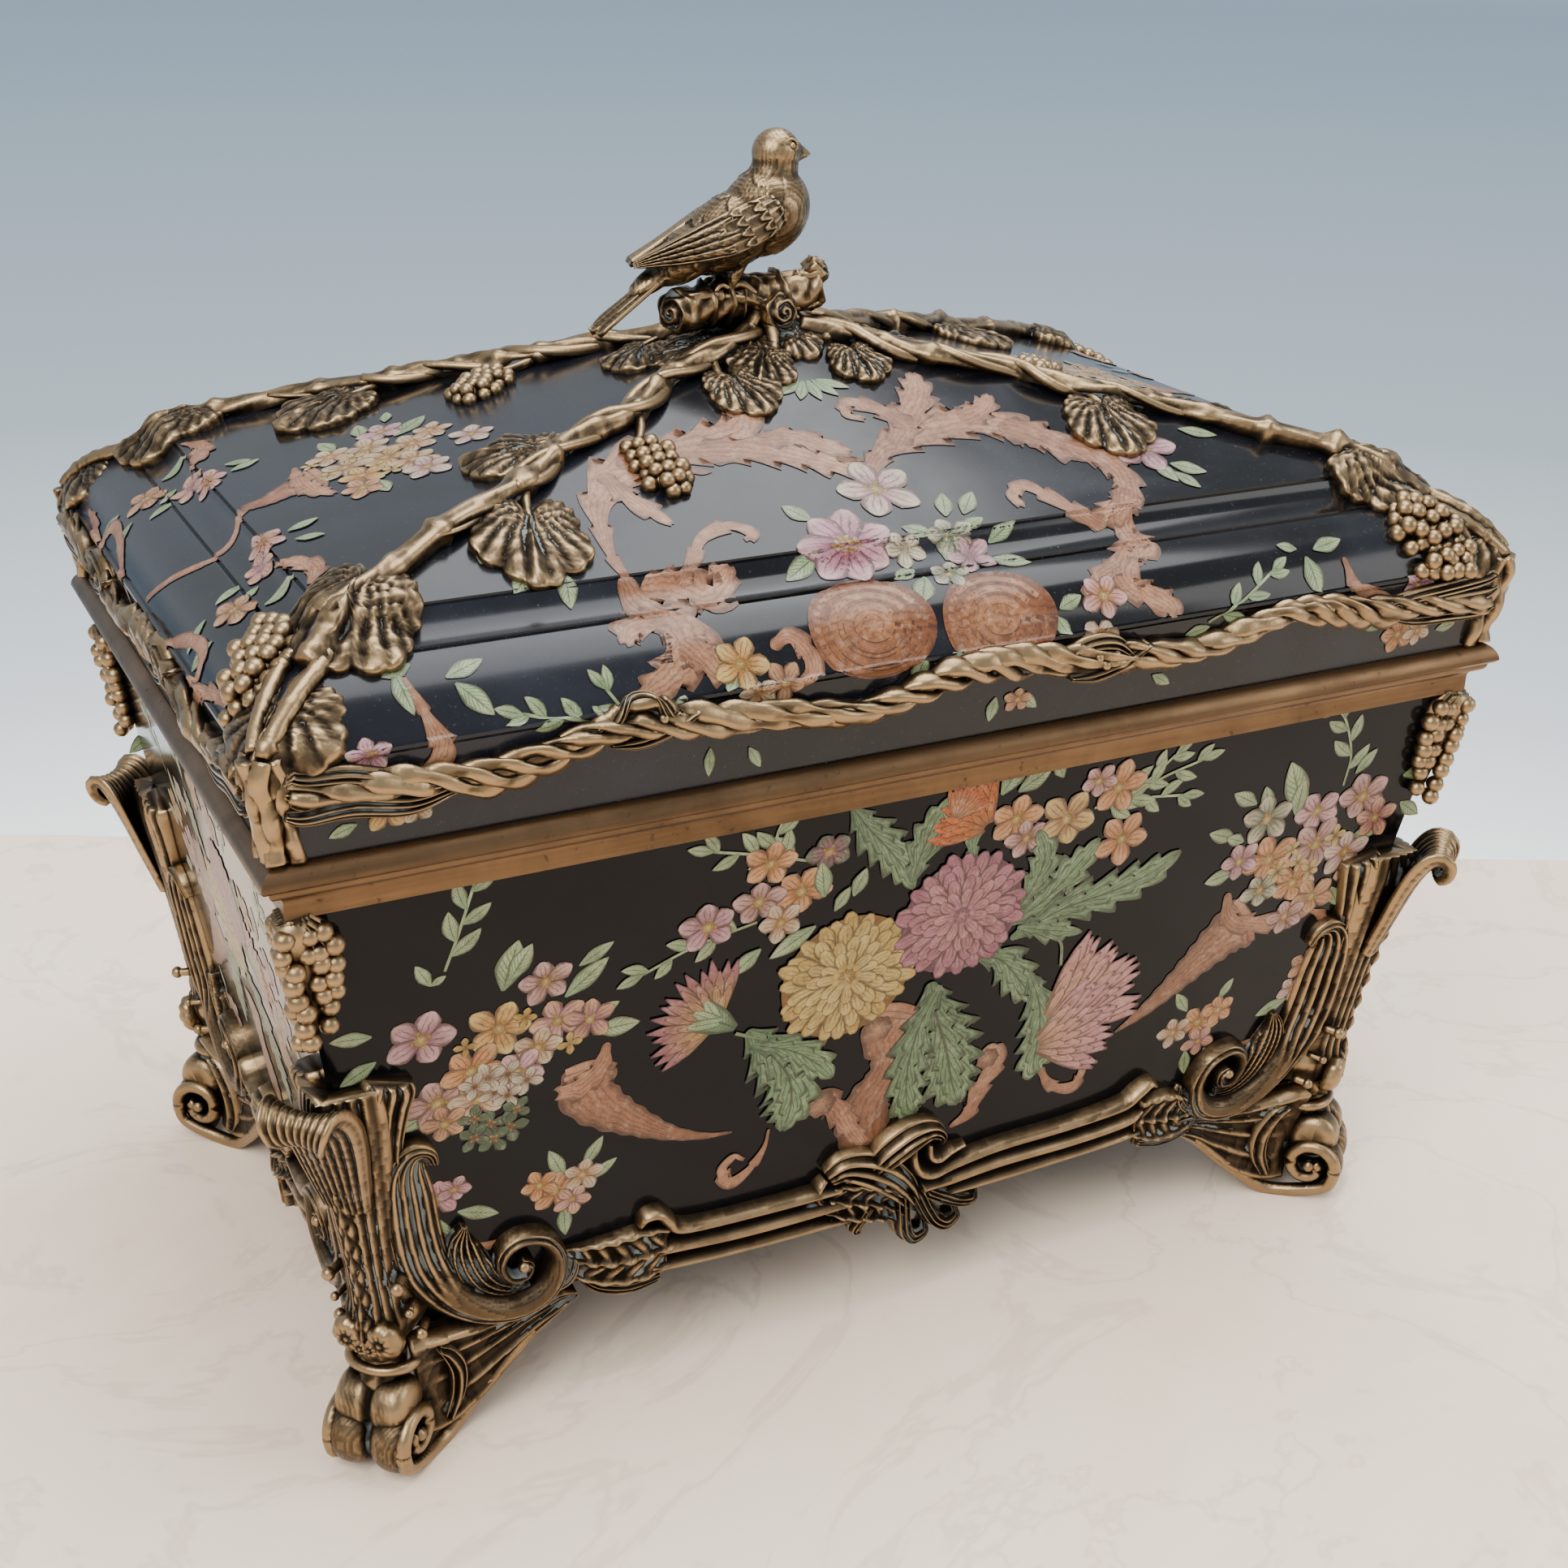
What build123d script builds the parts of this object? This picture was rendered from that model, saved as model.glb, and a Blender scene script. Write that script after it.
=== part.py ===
from build123d import *
import os
from math import atan, cos, hypot, pi, sin, sqrt

os.makedirs("parts", exist_ok=True)

# Table casket: a glazed porcelain box and hipped lid in cast bronze mounts, millimetres.
# Origin under the middle of the box on the table, +X to the right, +Y to the back, +Z up.

# Porcelain body
length = 400.0  # over the bronze band of the body
depth = 254.0
body_bottom = 43.0  # underside of the porcelain above the table
rim_bottom = 201.7  # lower edge of the bronze band
taper = 0.15  # each wall leans out this much for each millimetre of height
wall = 6.0
floor_thick = 7.0
glaze_setback = 1.6  # the glazed wall stands this far inside the band
glaze_corner = 1.25  # chamfer of the upright corners
porcelain_top = 209.0

# Bronze band of the body
band_height = 5.3  # plain part of the band, below the moulding
rim_out = 4.3  # the moulding stands out this far over the band
rim_edge = 0.9  # upright edge on top of the moulding
rim_height = 10.75
mouth_inset = 8.6  # the opening is this far inside the band on each side
seat_gap = 0.15  # between a casting and the glaze that it lies on
fit_gap = 0.1  # round the porcelain edge inside the bronze bands
seam = 0.3  # between the two bronze bands when the lid is shut

# Bronze band of the lid
lid_rim_height = 6.45
lid_rim_out = 6.8
lid_rim_top_out = 2.4
lip_height = 3.6  # lip that keeps the porcelain lid in place
lip_thick = 2.0
lid_edge_gap = 0.1  # porcelain lid over its band

# Porcelain lid
lid_foot_out = 2.2
flare_height = 26.7  # upright band of the lid
flare_out = 5.2
ledge_out = 6.0
ledge_height = 2.0
ledge_width = 1.5
ovolo_in = 13.0  # where the round moulding ends, inside the body band
ovolo_height = 17.2
ovolo_bulge = 3.0
fillet = 1.1  # small step above and below the hollow moulding
cove_width = 9.0
cove_height = 7.3
cove_hollow = 1.5
lid_slope_height = 40.4
slope_bulge = 1.5
lid_wall = 6.0
apex_pad = 4.0  # thickness of the porcelain at the finial

# Hinges
hinge_spacing = 220.0
hinge_width = 30.0
hinge_play = 0.4  # room at each end of a leaf
pin_overhang = 0.2
leaf_thick = 1.5
leaf_gap = 0.05
body_leaf_height = 9.0
lid_leaf_height = 5.6
barrel_radius = 2.8
barrel_out = 7.0  # axis of the barrel behind the band
knuckle_gap = 0.2
pin_radius = 1.2
pin_clearance = 0.05
lid_leaf_inset = 2.3  # where the lid band is cut back for its leaf, out from the body band

# Finial
finial_stud_radius = 2.5
stud_clearance = 0.7
thread_clearance = 0.05
washer_radius = 7.0
washer_thick = 1.2
nut_height = 3.5
nut_radius = 5.0
stud_tail = 1.5  # stud left showing under its nut
perch_rise = 9.5  # middle of the log above the tip of the lid
perch_left = -31.0
perch_right = 18.0

# Feet
foot_radius = 13.8
foot_flat = 0.35  # taken off under the scroll for the resting face
foot_out = 6.5  # scroll centre beyond the porcelain corner, along the diagonal
foot_width = 28.0
foot_bead = 5.0  # width of each raised edge of the scroll
foot_bead_proud = 1.2  # the edges stand out this far past the ends of the scroll
foot_groove = 1.6
flange_size = 27.0
flange_thick = 4.0
flange_inset = 1.0
neck_clear = 14.5  # the corner mount is cut away this far round the neck of the foot
foot_gap = 0.05
foot_stud_radius = 1.5
foot_stud_seat = 3.0  # depth of a stud in its flange, which is closed below
foot_stud_inset = 16.0  # from both walls
foot_nut_height = 2.4
foot_nut_radius = 3.2
foot_washer_radius = 6.0
foot_washer_thick = 1.0
foot_hole_clearance = 0.3
foot_stud_tail = 1.0  # stud left showing over its nut

# Corner mounts
mount_bottom = 44.0
mount_top = 143.0
scroll_thick = 6.5
scroll_reach = 49.0  # from the corner to the far side of the volute
volute_radius = 11.0
volute_height = 20.0  # volute centre above the porcelain bottom
flute_depth = 1.6
flute_count = 3
acanthus_tip_out = 18.0
acanthus_tip_radius = 6.0
acanthus_tip_half = 12.0

# Aprons
apron_gap = 0.6
apron_low = -3.0
apron_high = 12.5
apron_thick = 5.0
apron_ridge = 1.8
apron_leaf = 33.0
short_apron_leaf = 12.0  # on the two ends of the box
cartouche_half = 21.0

# Grape drops and vines
grape_radius = 4.4
grape_end = 0.55  # radius of a grape's flat ends, as a share of its own
drop_top = 194.0
drop_pitch = 6.8
branch_radius = 4.0
branch_end = 0.9
leaf_plate = 3.4
rope_radius = 4.2
rope_height = 22.5  # above the foot of the porcelain lid
rope_wave = 3.0
rope_stations = 13

root_half = sqrt(0.5)
lean_cos, lean_sin = cos(atan(taper)), sin(atan(taper))
seam_low = rim_bottom + rim_height
seam_high = seam_low + seam
lid_band_top = seam_high + lid_rim_height
lid_bottom = lid_band_top + lid_edge_gap
flare_top = lid_bottom + flare_height
ledge_top = flare_top + ledge_height
ovolo_top = ledge_top + ovolo_height
cove_top = ovolo_top + fillet + cove_height
slope_foot = cove_top + fillet
slope_inset = ovolo_in + 2 * fillet + cove_width
apex = slope_foot + lid_slope_height
slope_length = length / 2 - slope_inset
slope_depth = depth / 2 - slope_inset
hinge_y = depth / 2 + barrel_out
hinge_z = seam_low


def save(piece, name):
    piece.label = name
    export_step(piece, f"parts/{name}.step")


def wall_half(full, height, inset=glaze_setback):
    """Half of the porcelain body's outside, at a height."""
    return full / 2 - inset + taper * (height - rim_bottom)


def tapered_block(low, high, inset):
    with BuildPart() as block:
        for height in (low, high):
            with BuildSketch(Plane.XY.offset(height)):
                Rectangle(2 * wall_half(length, height, inset), 2 * wall_half(depth, height, inset))
        loft()
    return block.part


def moulded_block(outline):
    """A block whose four sides have the same outline, mitred at the corners."""
    with BuildPart() as block:
        with BuildSketch(Plane.XZ):
            with BuildLine():
                outline(length / 2)
                mirror(about=Plane.YZ)
            make_face()
        extrude(amount=depth, both=True)
        with BuildSketch(Plane.YZ):
            with BuildLine():
                outline(depth / 2)
                mirror(about=Plane.YZ)
            make_face()
        extrude(amount=length, both=True, mode=Mode.INTERSECT)
    return block.part


def tube(points, sizes, across, sides=8):
    """A carved tapered branch through the points: each size is half its width and half its height."""
    last = len(points) - 1
    rings = []
    for index, (half_wide, half_high) in enumerate(sizes):
        ahead = Vector(*points[min(index + 1, last)]) - Vector(*points[max(index - 1, 0)])
        place = Plane(origin=points[index], x_dir=across, z_dir=ahead)
        turns = [2 * pi * (side + 0.5) / sides for side in range(sides)]
        spots = [Vector(half_wide * cos(turn), half_high * sin(turn)) for turn in turns]
        rings.append([place.from_local_coords(spot) for spot in spots])
    facets = [rings[0], rings[-1]]
    for low, high in zip(rings, rings[1:]):
        for side in range(sides):
            after = (side + 1) % sides
            facets.append([low[side], low[after], high[after]])
            facets.append([low[side], high[after], high[side]])
    with BuildPart() as branch:
        add(Solid(Shell([Face(Wire.make_polygon(facet, close=True)) for facet in facets])))
    return branch.part


def berry(plane):
    """A grape, cut with six sides as a chaser leaves it, on the plane's origin."""
    reach = plane.z_dir * (grape_radius * 0.8)
    end = (grape_radius * grape_end,) * 2
    centres = [tuple(plane.origin - reach), tuple(plane.origin), tuple(plane.origin + reach)]
    return tube(centres, (end, (grape_radius, grape_radius), end), tuple(plane.x_dir), 6)


def rim_outline(half):
    band_top = rim_bottom + band_height
    edge_low = seam_low - rim_edge
    middle = (half + rim_out / 2, (band_top + edge_low) / 2)
    Polyline((0, rim_bottom), (half, rim_bottom), (half, band_top))
    ThreePointArc((half, band_top), (half + rim_out * 0.18, band_top + rim_out * 0.36), middle)
    ThreePointArc(middle, (half + rim_out * 0.82, edge_low - rim_out * 0.36), (half + rim_out, edge_low))
    Polyline((half + rim_out, edge_low), (half + rim_out, seam_low), (0, seam_low))


def lid_rim_outline(half):
    tip = seam_high + 1.0
    Polyline((0, seam_high), (half + lid_rim_out - 1, seam_high), (half + lid_rim_out, tip))
    ThreePointArc(
        (half + lid_rim_out, tip),
        (half + (lid_rim_out + lid_rim_top_out) / 2 + 0.9, (tip + lid_band_top) / 2 + 0.6),
        (half + lid_rim_top_out, lid_band_top),
    )
    Line((half + lid_rim_top_out, lid_band_top), (0, lid_band_top))


def lid_outline(half, grow=0.0):
    """Edge of the porcelain lid, or of the same lid with room round it."""
    out = half + grow
    ovolo_foot = (out + ledge_out - ledge_width, ledge_top + grow)
    ovolo_end = (out - ovolo_in, ovolo_top + grow)
    cove_foot = (out - ovolo_in - fillet, ovolo_top + fillet + grow)
    cove_end = (cove_foot[0] - cove_width, cove_top + grow)
    slope_start = (out - slope_inset, slope_foot + grow)
    middle = (slope_start[0] / 2, (slope_foot + apex) / 2 + slope_bulge + grow)
    Polyline(
        (0, lid_bottom),
        (out + lid_foot_out, lid_bottom),
        (out + flare_out, flare_top),
        (out + ledge_out, flare_top + 1),
        (out + ledge_out, ledge_top + grow),
        ovolo_foot,
    )
    ThreePointArc(
        ovolo_foot,
        (
            (ovolo_foot[0] + ovolo_end[0]) / 2 + ovolo_bulge * root_half,
            (ovolo_foot[1] + ovolo_end[1]) / 2 + ovolo_bulge * root_half,
        ),
        ovolo_end,
    )
    Polyline(ovolo_end, (cove_foot[0], ovolo_end[1]), cove_foot)
    ThreePointArc(
        cove_foot,
        (
            (cove_foot[0] + cove_end[0]) / 2 - cove_hollow * root_half,
            (cove_foot[1] + cove_end[1]) / 2 - cove_hollow * root_half,
        ),
        cove_end,
    )
    Polyline(cove_end, (slope_start[0], cove_end[1]), slope_start)
    ThreePointArc(slope_start, middle, (0, apex + grow))


def lid_hollow_outline(half):
    inside_foot = slope_foot - lid_wall
    inside_half = half - slope_inset - lid_wall
    hollow_peak = apex - lid_wall
    flat_half = inside_half * apex_pad / (hollow_peak - inside_foot)
    Polyline(
        (0, lid_bottom - 1),
        (half + lid_foot_out - lid_wall, lid_bottom - 1),
        (half + lid_foot_out - lid_wall, ledge_top - lid_wall / 2),
        (half - ovolo_in - lid_wall, ovolo_top - lid_wall),
        (inside_half, inside_foot),
        (flat_half, hollow_peak - apex_pad),
        (0, hollow_peak - apex_pad),
    )


def lid_height(share):
    """Height of the slope, from 0 at the apex to 1 at its foot."""
    return apex - lid_slope_height * share + 4 * slope_bulge * share * (1 - share)


def on_lid(side_x, side_y, share, aside):
    """Plane that lies on the lid's slope beside a hip, local X pointing down along the hip."""
    run = hypot(slope_length, slope_depth)
    down = (side_x * slope_length / run, side_y * slope_depth / run)
    x = share * run * down[0] - aside * down[1]
    y = share * run * down[1] + aside * down[0]
    share_x, share_y = abs(x) / slope_length, abs(y) / slope_depth
    reach = max(share_x, share_y)
    fall = lid_slope_height - 4 * slope_bulge * (1 - 2 * reach)
    if abs(share_x - share_y) < 0.01:
        normal = (down[0] * fall / run, down[1] * fall / run, 1)
    elif share_x > share_y:
        normal = (side_x * fall / slope_length, 0, 1)
    else:
        normal = (0, side_y * fall / slope_depth, 1)
    return Plane(origin=(x, y, lid_height(reach)), x_dir=(down[0], down[1], 0), z_dir=normal)


# Room that the castings are cut to
body_envelope = tapered_block(body_bottom - foot_gap, rim_bottom + 1, glaze_setback - seat_gap)
lid_envelope = moulded_block(lambda half: lid_outline(half, seat_gap))

# Porcelain body with a hole over each foot
bolt_x = wall_half(length, body_bottom) - foot_stud_inset
bolt_y = wall_half(depth, body_bottom) - foot_stud_inset
foot_bolts = [(side_x * bolt_x, side_y * bolt_y) for side_x in (-1, 1) for side_y in (-1, 1)]
with BuildPart() as porcelain_body:
    add(tapered_block(body_bottom, porcelain_top, glaze_setback))
    upright = porcelain_body.edges().filter_by(Axis.X, reverse=True).filter_by(Axis.Y, reverse=True)
    chamfer(upright, glaze_corner)
    add(tapered_block(body_bottom + floor_thick, porcelain_top + 1, glaze_setback + wall), mode=Mode.SUBTRACT)
    with BuildSketch(Plane.XY.offset(body_bottom)):
        with Locations(*foot_bolts):
            Circle(foot_stud_radius + foot_hole_clearance)
    extrude(amount=floor_thick, mode=Mode.SUBTRACT)
save(porcelain_body.part, "porcelain_body")

# Bronze band that caps the body, cut back behind for the hinge leaves
hinge_places = [(-hinge_spacing / 2, 0), (hinge_spacing / 2, 0)]
hinge_room = hinge_width + 2 * hinge_play
with BuildPart() as body_rim:
    add(moulded_block(rim_outline))
    add(tapered_block(rim_bottom - 1, porcelain_top + fit_gap, glaze_setback - fit_gap), mode=Mode.SUBTRACT)
    with BuildSketch(Plane.XY.offset(rim_bottom)):
        Rectangle(length - 2 * mouth_inset, depth - 2 * mouth_inset)
    extrude(amount=rim_height, mode=Mode.SUBTRACT)
    with BuildSketch(Plane.XZ.offset(-depth / 2)):
        with Locations(*[(x, rim_bottom + rim_height / 2) for x, _ in hinge_places]):
            Rectangle(hinge_room, rim_height + 1)
    extrude(amount=-2 * rim_out, mode=Mode.SUBTRACT)
save(body_rim.part, "body_rim")

# Bronze band of the lid, with a lip inside the porcelain
lip_inset = lid_wall - lid_foot_out + fit_gap
with BuildPart() as lid_rim:
    add(moulded_block(lid_rim_outline))
    with BuildSketch(Plane.XY.offset(lid_band_top)):
        Rectangle(length - 2 * lip_inset, depth - 2 * lip_inset)
    extrude(amount=lip_height)
    with BuildSketch(Plane.XY.offset(lid_band_top)):
        Rectangle(length - 2 * (lip_inset + lip_thick), depth - 2 * (lip_inset + lip_thick))
    extrude(amount=lip_height, mode=Mode.SUBTRACT)
    with BuildSketch(Plane.XY.offset(seam_high)):
        Rectangle(length - 2 * mouth_inset, depth - 2 * mouth_inset)
    extrude(amount=lid_rim_height, mode=Mode.SUBTRACT)
    with BuildSketch(Plane.XZ.offset(-depth / 2 - lid_leaf_inset)):
        with Locations(*[(x, seam_high + lid_rim_height / 2) for x, _ in hinge_places]):
            Rectangle(hinge_room, lid_rim_height + 1)
    extrude(amount=-2 * lid_rim_out, mode=Mode.SUBTRACT)
save(lid_rim.part, "lid_rim")

# Porcelain lid, hollow, with a hole at its tip for the finial stud
with BuildPart() as porcelain_lid:
    add(moulded_block(lid_outline))
    add(moulded_block(lid_hollow_outline), mode=Mode.SUBTRACT)
    with BuildSketch(Plane.XY.offset(apex + 1)):
        Circle(finial_stud_radius + stud_clearance)
    extrude(amount=-4 * lid_wall, mode=Mode.SUBTRACT)
save(porcelain_lid.part, "porcelain_lid")

# Hinges: two outer knuckles on the body, one between them on the lid
lid_knuckle = hinge_width / 3
body_knuckle = (hinge_width - lid_knuckle) / 2 - knuckle_gap


def barrel(start, span, radius):
    """A round bar along X on the hinge's axis."""
    with BuildPart() as bar:
        with BuildSketch(Plane.YZ.offset(start)):
            with Locations((hinge_y, hinge_z)):
                Circle(radius)
        extrude(amount=span)
    return bar.part


pin_bore = barrel(-hinge_spacing, 2 * hinge_spacing, pin_radius + pin_clearance)

body_leaf_y = depth / 2 + leaf_gap
body_leaf_low = rim_bottom + 0.6
with BuildPart() as body_hinge_leaves:
    for middle, _ in hinge_places:
        with BuildSketch(Plane.YZ.offset(middle - hinge_width / 2)):
            with Locations((body_leaf_y, body_leaf_low)):
                Rectangle(leaf_thick, body_leaf_height, align=(Align.MIN, Align.MIN))
        extrude(amount=hinge_width)
        starts = (middle - hinge_width / 2, middle + lid_knuckle / 2 + knuckle_gap)
        for start in starts:
            with BuildSketch(Plane.YZ.offset(start)):
                with BuildLine():
                    Polyline(
                        (body_leaf_y, hinge_z - 3.6),
                        (hinge_y, hinge_z - barrel_radius),
                        (hinge_y, hinge_z - leaf_thick / 2),
                        (body_leaf_y, hinge_z - leaf_thick / 2),
                        close=True,
                    )
                make_face()
            extrude(amount=body_knuckle)
            add(barrel(start, body_knuckle, barrel_radius))
    add(pin_bore, mode=Mode.SUBTRACT)
save(body_hinge_leaves.part, "body_hinge_leaves")

lid_leaf_y = depth / 2 + lid_leaf_inset + leaf_gap
with BuildPart() as lid_hinge_leaves:
    for middle, _ in hinge_places:
        with BuildSketch(Plane.YZ.offset(middle - hinge_width / 2)):
            with Locations((lid_leaf_y, seam_high + 0.5)):
                Rectangle(leaf_thick, lid_leaf_height, align=(Align.MIN, Align.MIN))
        extrude(amount=hinge_width)
        with BuildSketch(Plane.YZ.offset(middle - lid_knuckle / 2)):
            with BuildLine():
                Polyline(
                    (lid_leaf_y, seam_high + 0.5),
                    (hinge_y, seam_high + 0.5),
                    (hinge_y, hinge_z + barrel_radius),
                    (lid_leaf_y, seam_high + 0.5 + lid_leaf_height),
                    close=True,
                )
            make_face()
        extrude(amount=lid_knuckle)
        add(barrel(middle - lid_knuckle / 2, lid_knuckle, barrel_radius))
    add(pin_bore, mode=Mode.SUBTRACT)
save(lid_hinge_leaves.part, "lid_hinge_leaves")

with BuildPart() as hinge_pins:
    for middle, _ in hinge_places:
        add(barrel(middle - hinge_width / 2 - pin_overhang, hinge_width + 2 * pin_overhang, pin_radius))
save(hinge_pins.part, "hinge_pins")


# Feet: a scroll on each diagonal, wings along both faces, a flange under the porcelain
def corner_point(height, along=0.0, out=0.0):
    """Point at the front right corner, on the front face for a negative run, else on the right face."""
    x, y = wall_half(length, height), -wall_half(depth, height)
    if along < 0:
        return (x + along, y - out, height)
    if along > 0:
        return (x + out, y + along, height)
    return (x + out * root_half, y - out * root_half, height)


corner_x, corner_y, _ = corner_point(body_bottom)
corner_mirror = Plane(origin=(corner_x, corner_y, 0), x_dir=(1, -1, 0), z_dir=(-1, -1, 0))
foot_centre = (foot_out, foot_radius - foot_flat)
foot_core = foot_width - 2 * foot_bead_proud
wing_path = [
    corner_point(10, -6, 3),
    corner_point(12, -24, -4),
    corner_point(23, -43, -6),
    corner_point(33, -57, -6),
]
wing_sizes = ((7.5, 7.5), (6.0, 5.0), (4.2, 3.5), (1.6, 1.6))
neck_sections = (  # height, out from the corner, half width outward and half width across
    (foot_radius * 1.5, foot_out - 3, 9.0, 9.0),
    (35, 3, 6.5, 9.5),
    (mount_bottom - foot_gap, 2, 8.0, 11.0),
)
with BuildPart() as scroll_foot:
    with BuildSketch(corner_mirror.offset(-foot_core / 2)):
        with Locations(foot_centre):
            Circle(foot_radius - foot_groove)
    extrude(amount=foot_core)
    for start in (-foot_width / 2, foot_width / 2 - foot_bead):
        with BuildSketch(corner_mirror.offset(start)):
            with Locations(foot_centre):
                Circle(foot_radius)
                Circle(foot_radius * 0.62, mode=Mode.SUBTRACT)
        extrude(amount=foot_bead)
    with BuildSketch(corner_mirror.offset(-foot_width / 2)):
        with Locations(foot_centre):
            Circle(foot_radius * 0.3)
    extrude(amount=foot_width)
    for height, out, half_out, half_wide in neck_sections:
        centre = (corner_x + out * root_half, corner_y - out * root_half, height)
        with BuildSketch(Plane(origin=centre, x_dir=(1, -1, 0), z_dir=(0, 0, 1))):
            Rectangle(2 * half_out, 2 * half_wide)
    loft(ruled=True)
    wing = tube(wing_path, wing_sizes, (0, 0, 1))
    add(wing)
    mirror(wing, about=corner_mirror)
    with BuildSketch(Plane.XY.offset(body_bottom - foot_gap)):
        with Locations((corner_x - flange_inset, corner_y + flange_inset)):
            Rectangle(flange_size, flange_size, align=(Align.MAX, Align.MIN))
    extrude(amount=-flange_thick)
    with BuildSketch(Plane.XY):
        Rectangle(2 * length, 2 * depth)
    extrude(amount=-foot_radius, mode=Mode.SUBTRACT)
    add(body_envelope, mode=Mode.SUBTRACT)
    with BuildSketch(Plane.XY.offset(body_bottom)):
        with Locations((corner_x - foot_stud_inset, corner_y + foot_stud_inset)):
            Circle(foot_stud_radius + thread_clearance)
    extrude(amount=-foot_gap - foot_stud_seat - thread_clearance, mode=Mode.SUBTRACT)

# Corner mounts: a spine with a rolled acanthus tip, and a fluted C scroll on each face
front_face = Plane(
    origin=(0, -wall_half(depth, body_bottom) - seat_gap, body_bottom),
    x_dir=(1, 0, 0),
    z_dir=(0, -lean_cos, -lean_sin),
)


def inward(height, run):
    """Point on the front face's sketch at a height up the face and a run in from its leaning corner."""
    return (corner_x + taper * height - run, height)


volute_centre = inward(volute_height, scroll_reach - volute_radius)
volute_foot = inward(volute_height - volute_radius, scroll_reach - 9)
spine_sections = (
    (mount_bottom, 3, 9.5),
    (54, 3, 12.0),
    (62, 2, 9.5),
    (90, 0, 10.0),
    (120, -1.5, 12.5),
    (mount_top, -3, 15.5),
)
with BuildPart() as corner_mount:
    with BuildSketch(front_face):
        with BuildLine():
            Line(inward(73, 24), inward(76, 15))
            ThreePointArc(inward(76, 15), inward(38, 4), inward(6, 6))
            ThreePointArc(inward(6, 6), inward(-6, 22), volute_foot)
            Line(volute_foot, inward(volute_height, 30))
            ThreePointArc(inward(volute_height, 30), inward(36, 18), inward(73, 24))
        make_face()
        with Locations(volute_centre):
            Circle(volute_radius)
    extrude(amount=scroll_thick)
    with BuildSketch(front_face.offset(scroll_thick)):
        for step in range(flute_count):
            top = inward(70 - 3 * step, 16 + 2.6 * step)
            foot = inward(1 + 5 * step, 24 + 2 * step)
            with BuildLine():
                ThreePointArc(top, inward(36, 8.5 + 3.4 * step), foot)
                ThreePointArc(foot, inward(36, 10.7 + 3.4 * step), top)
            make_face()
        with Locations(volute_centre):
            Circle(volute_radius * 0.7)
            Circle(volute_radius * 0.34, mode=Mode.SUBTRACT)
    extrude(amount=-flute_depth, mode=Mode.SUBTRACT)
    mirror(corner_mount.part, about=corner_mirror)
    spine_points = [corner_point(height, 0, out) for height, out, _ in spine_sections]
    add(tube(spine_points, [(size, size) for _, _, size in spine_sections], (1, -1, 0)))
    tip = corner_point(mount_top - 2, 0, acanthus_tip_out - acanthus_tip_radius)
    with BuildSketch(Plane(origin=tip, x_dir=(1, -1, 0), z_dir=(-1, -1, 0)).offset(-acanthus_tip_half)):
        RegularPolygon(acanthus_tip_radius, 8)
    extrude(amount=2 * acanthus_tip_half)
    add(body_envelope, mode=Mode.SUBTRACT)
    with BuildSketch(Plane.XY.offset(mount_bottom)):
        with Locations((corner_x, corner_y)):
            Rectangle(2 * neck_clear, 2 * neck_clear)
    extrude(amount=-mount_bottom, mode=Mode.SUBTRACT)

# Grape drops that hang under the band at the corners
drop_rows = ((-8.5, 0, 8.5), (-7.5, 0, 7.5), (-6, 6), (-3.5, 3.5), (0,))
with BuildPart() as grape_drop:
    for row, offsets in enumerate(drop_rows):
        height = drop_top - drop_pitch * row
        for along in offsets:
            facing = (1, -1, 0) if along == 0 else (1, 0, 0) if along > 0 else (0, -1, 0)
            add(berry(Plane(origin=corner_point(height, along, grape_radius * 0.8), z_dir=facing)))
    with BuildSketch(Plane(origin=corner_point(rim_bottom - 0.2), x_dir=(1, -1, 0), z_dir=(0, 0, -1))):
        RegularPolygon(12, 8)
    extrude(amount=8, taper=25)
    stem = [corner_point(rim_bottom - 3, 0, 1), corner_point(drop_top - 4.3 * drop_pitch, 0, 1)]
    add(tube(stem, ((6, 6), (3, 3)), (1, -1, 0)))
    add(body_envelope, mode=Mode.SUBTRACT)

corner_names = {
    "front_right": (),
    "front_left": (Plane.YZ,),
    "back_right": (Plane.XZ,),
    "back_left": (Plane.YZ, Plane.XZ),
}


def at_corners(pattern, name):
    for place, mirrors in corner_names.items():
        piece = pattern
        for plane in mirrors:
            with BuildPart() as turned:
                mirror(piece, about=plane)
            piece = turned.part
        with BuildPart() as copy:
            add(piece)
        save(copy.part, f"{name}_{place}")


at_corners(scroll_foot.part, "scroll_foot")
at_corners(corner_mount.part, "corner_mount")
at_corners(grape_drop.part, "grape_drop")

with BuildPart() as foot_studs:
    with BuildSketch(Plane.XY.offset(body_bottom - foot_gap - foot_stud_seat)):
        with Locations(*foot_bolts):
            Circle(foot_stud_radius)
    extrude(amount=foot_stud_seat + floor_thick + foot_washer_thick + foot_nut_height + foot_stud_tail)
save(foot_studs.part, "foot_studs")

with BuildPart() as foot_nuts:
    with BuildSketch(Plane.XY.offset(body_bottom + floor_thick + foot_gap)):
        with Locations(*foot_bolts):
            Circle(foot_washer_radius)
            Circle(foot_stud_radius + thread_clearance, mode=Mode.SUBTRACT)
    extrude(amount=foot_washer_thick)
    with BuildSketch(Plane.XY.offset(body_bottom + floor_thick + foot_gap + foot_washer_thick)):
        with Locations(*foot_bolts):
            RegularPolygon(foot_nut_radius, 6)
            Circle(foot_stud_radius + thread_clearance, mode=Mode.SUBTRACT)
    extrude(amount=foot_nut_height)
save(foot_nuts.part, "foot_nuts")


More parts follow.
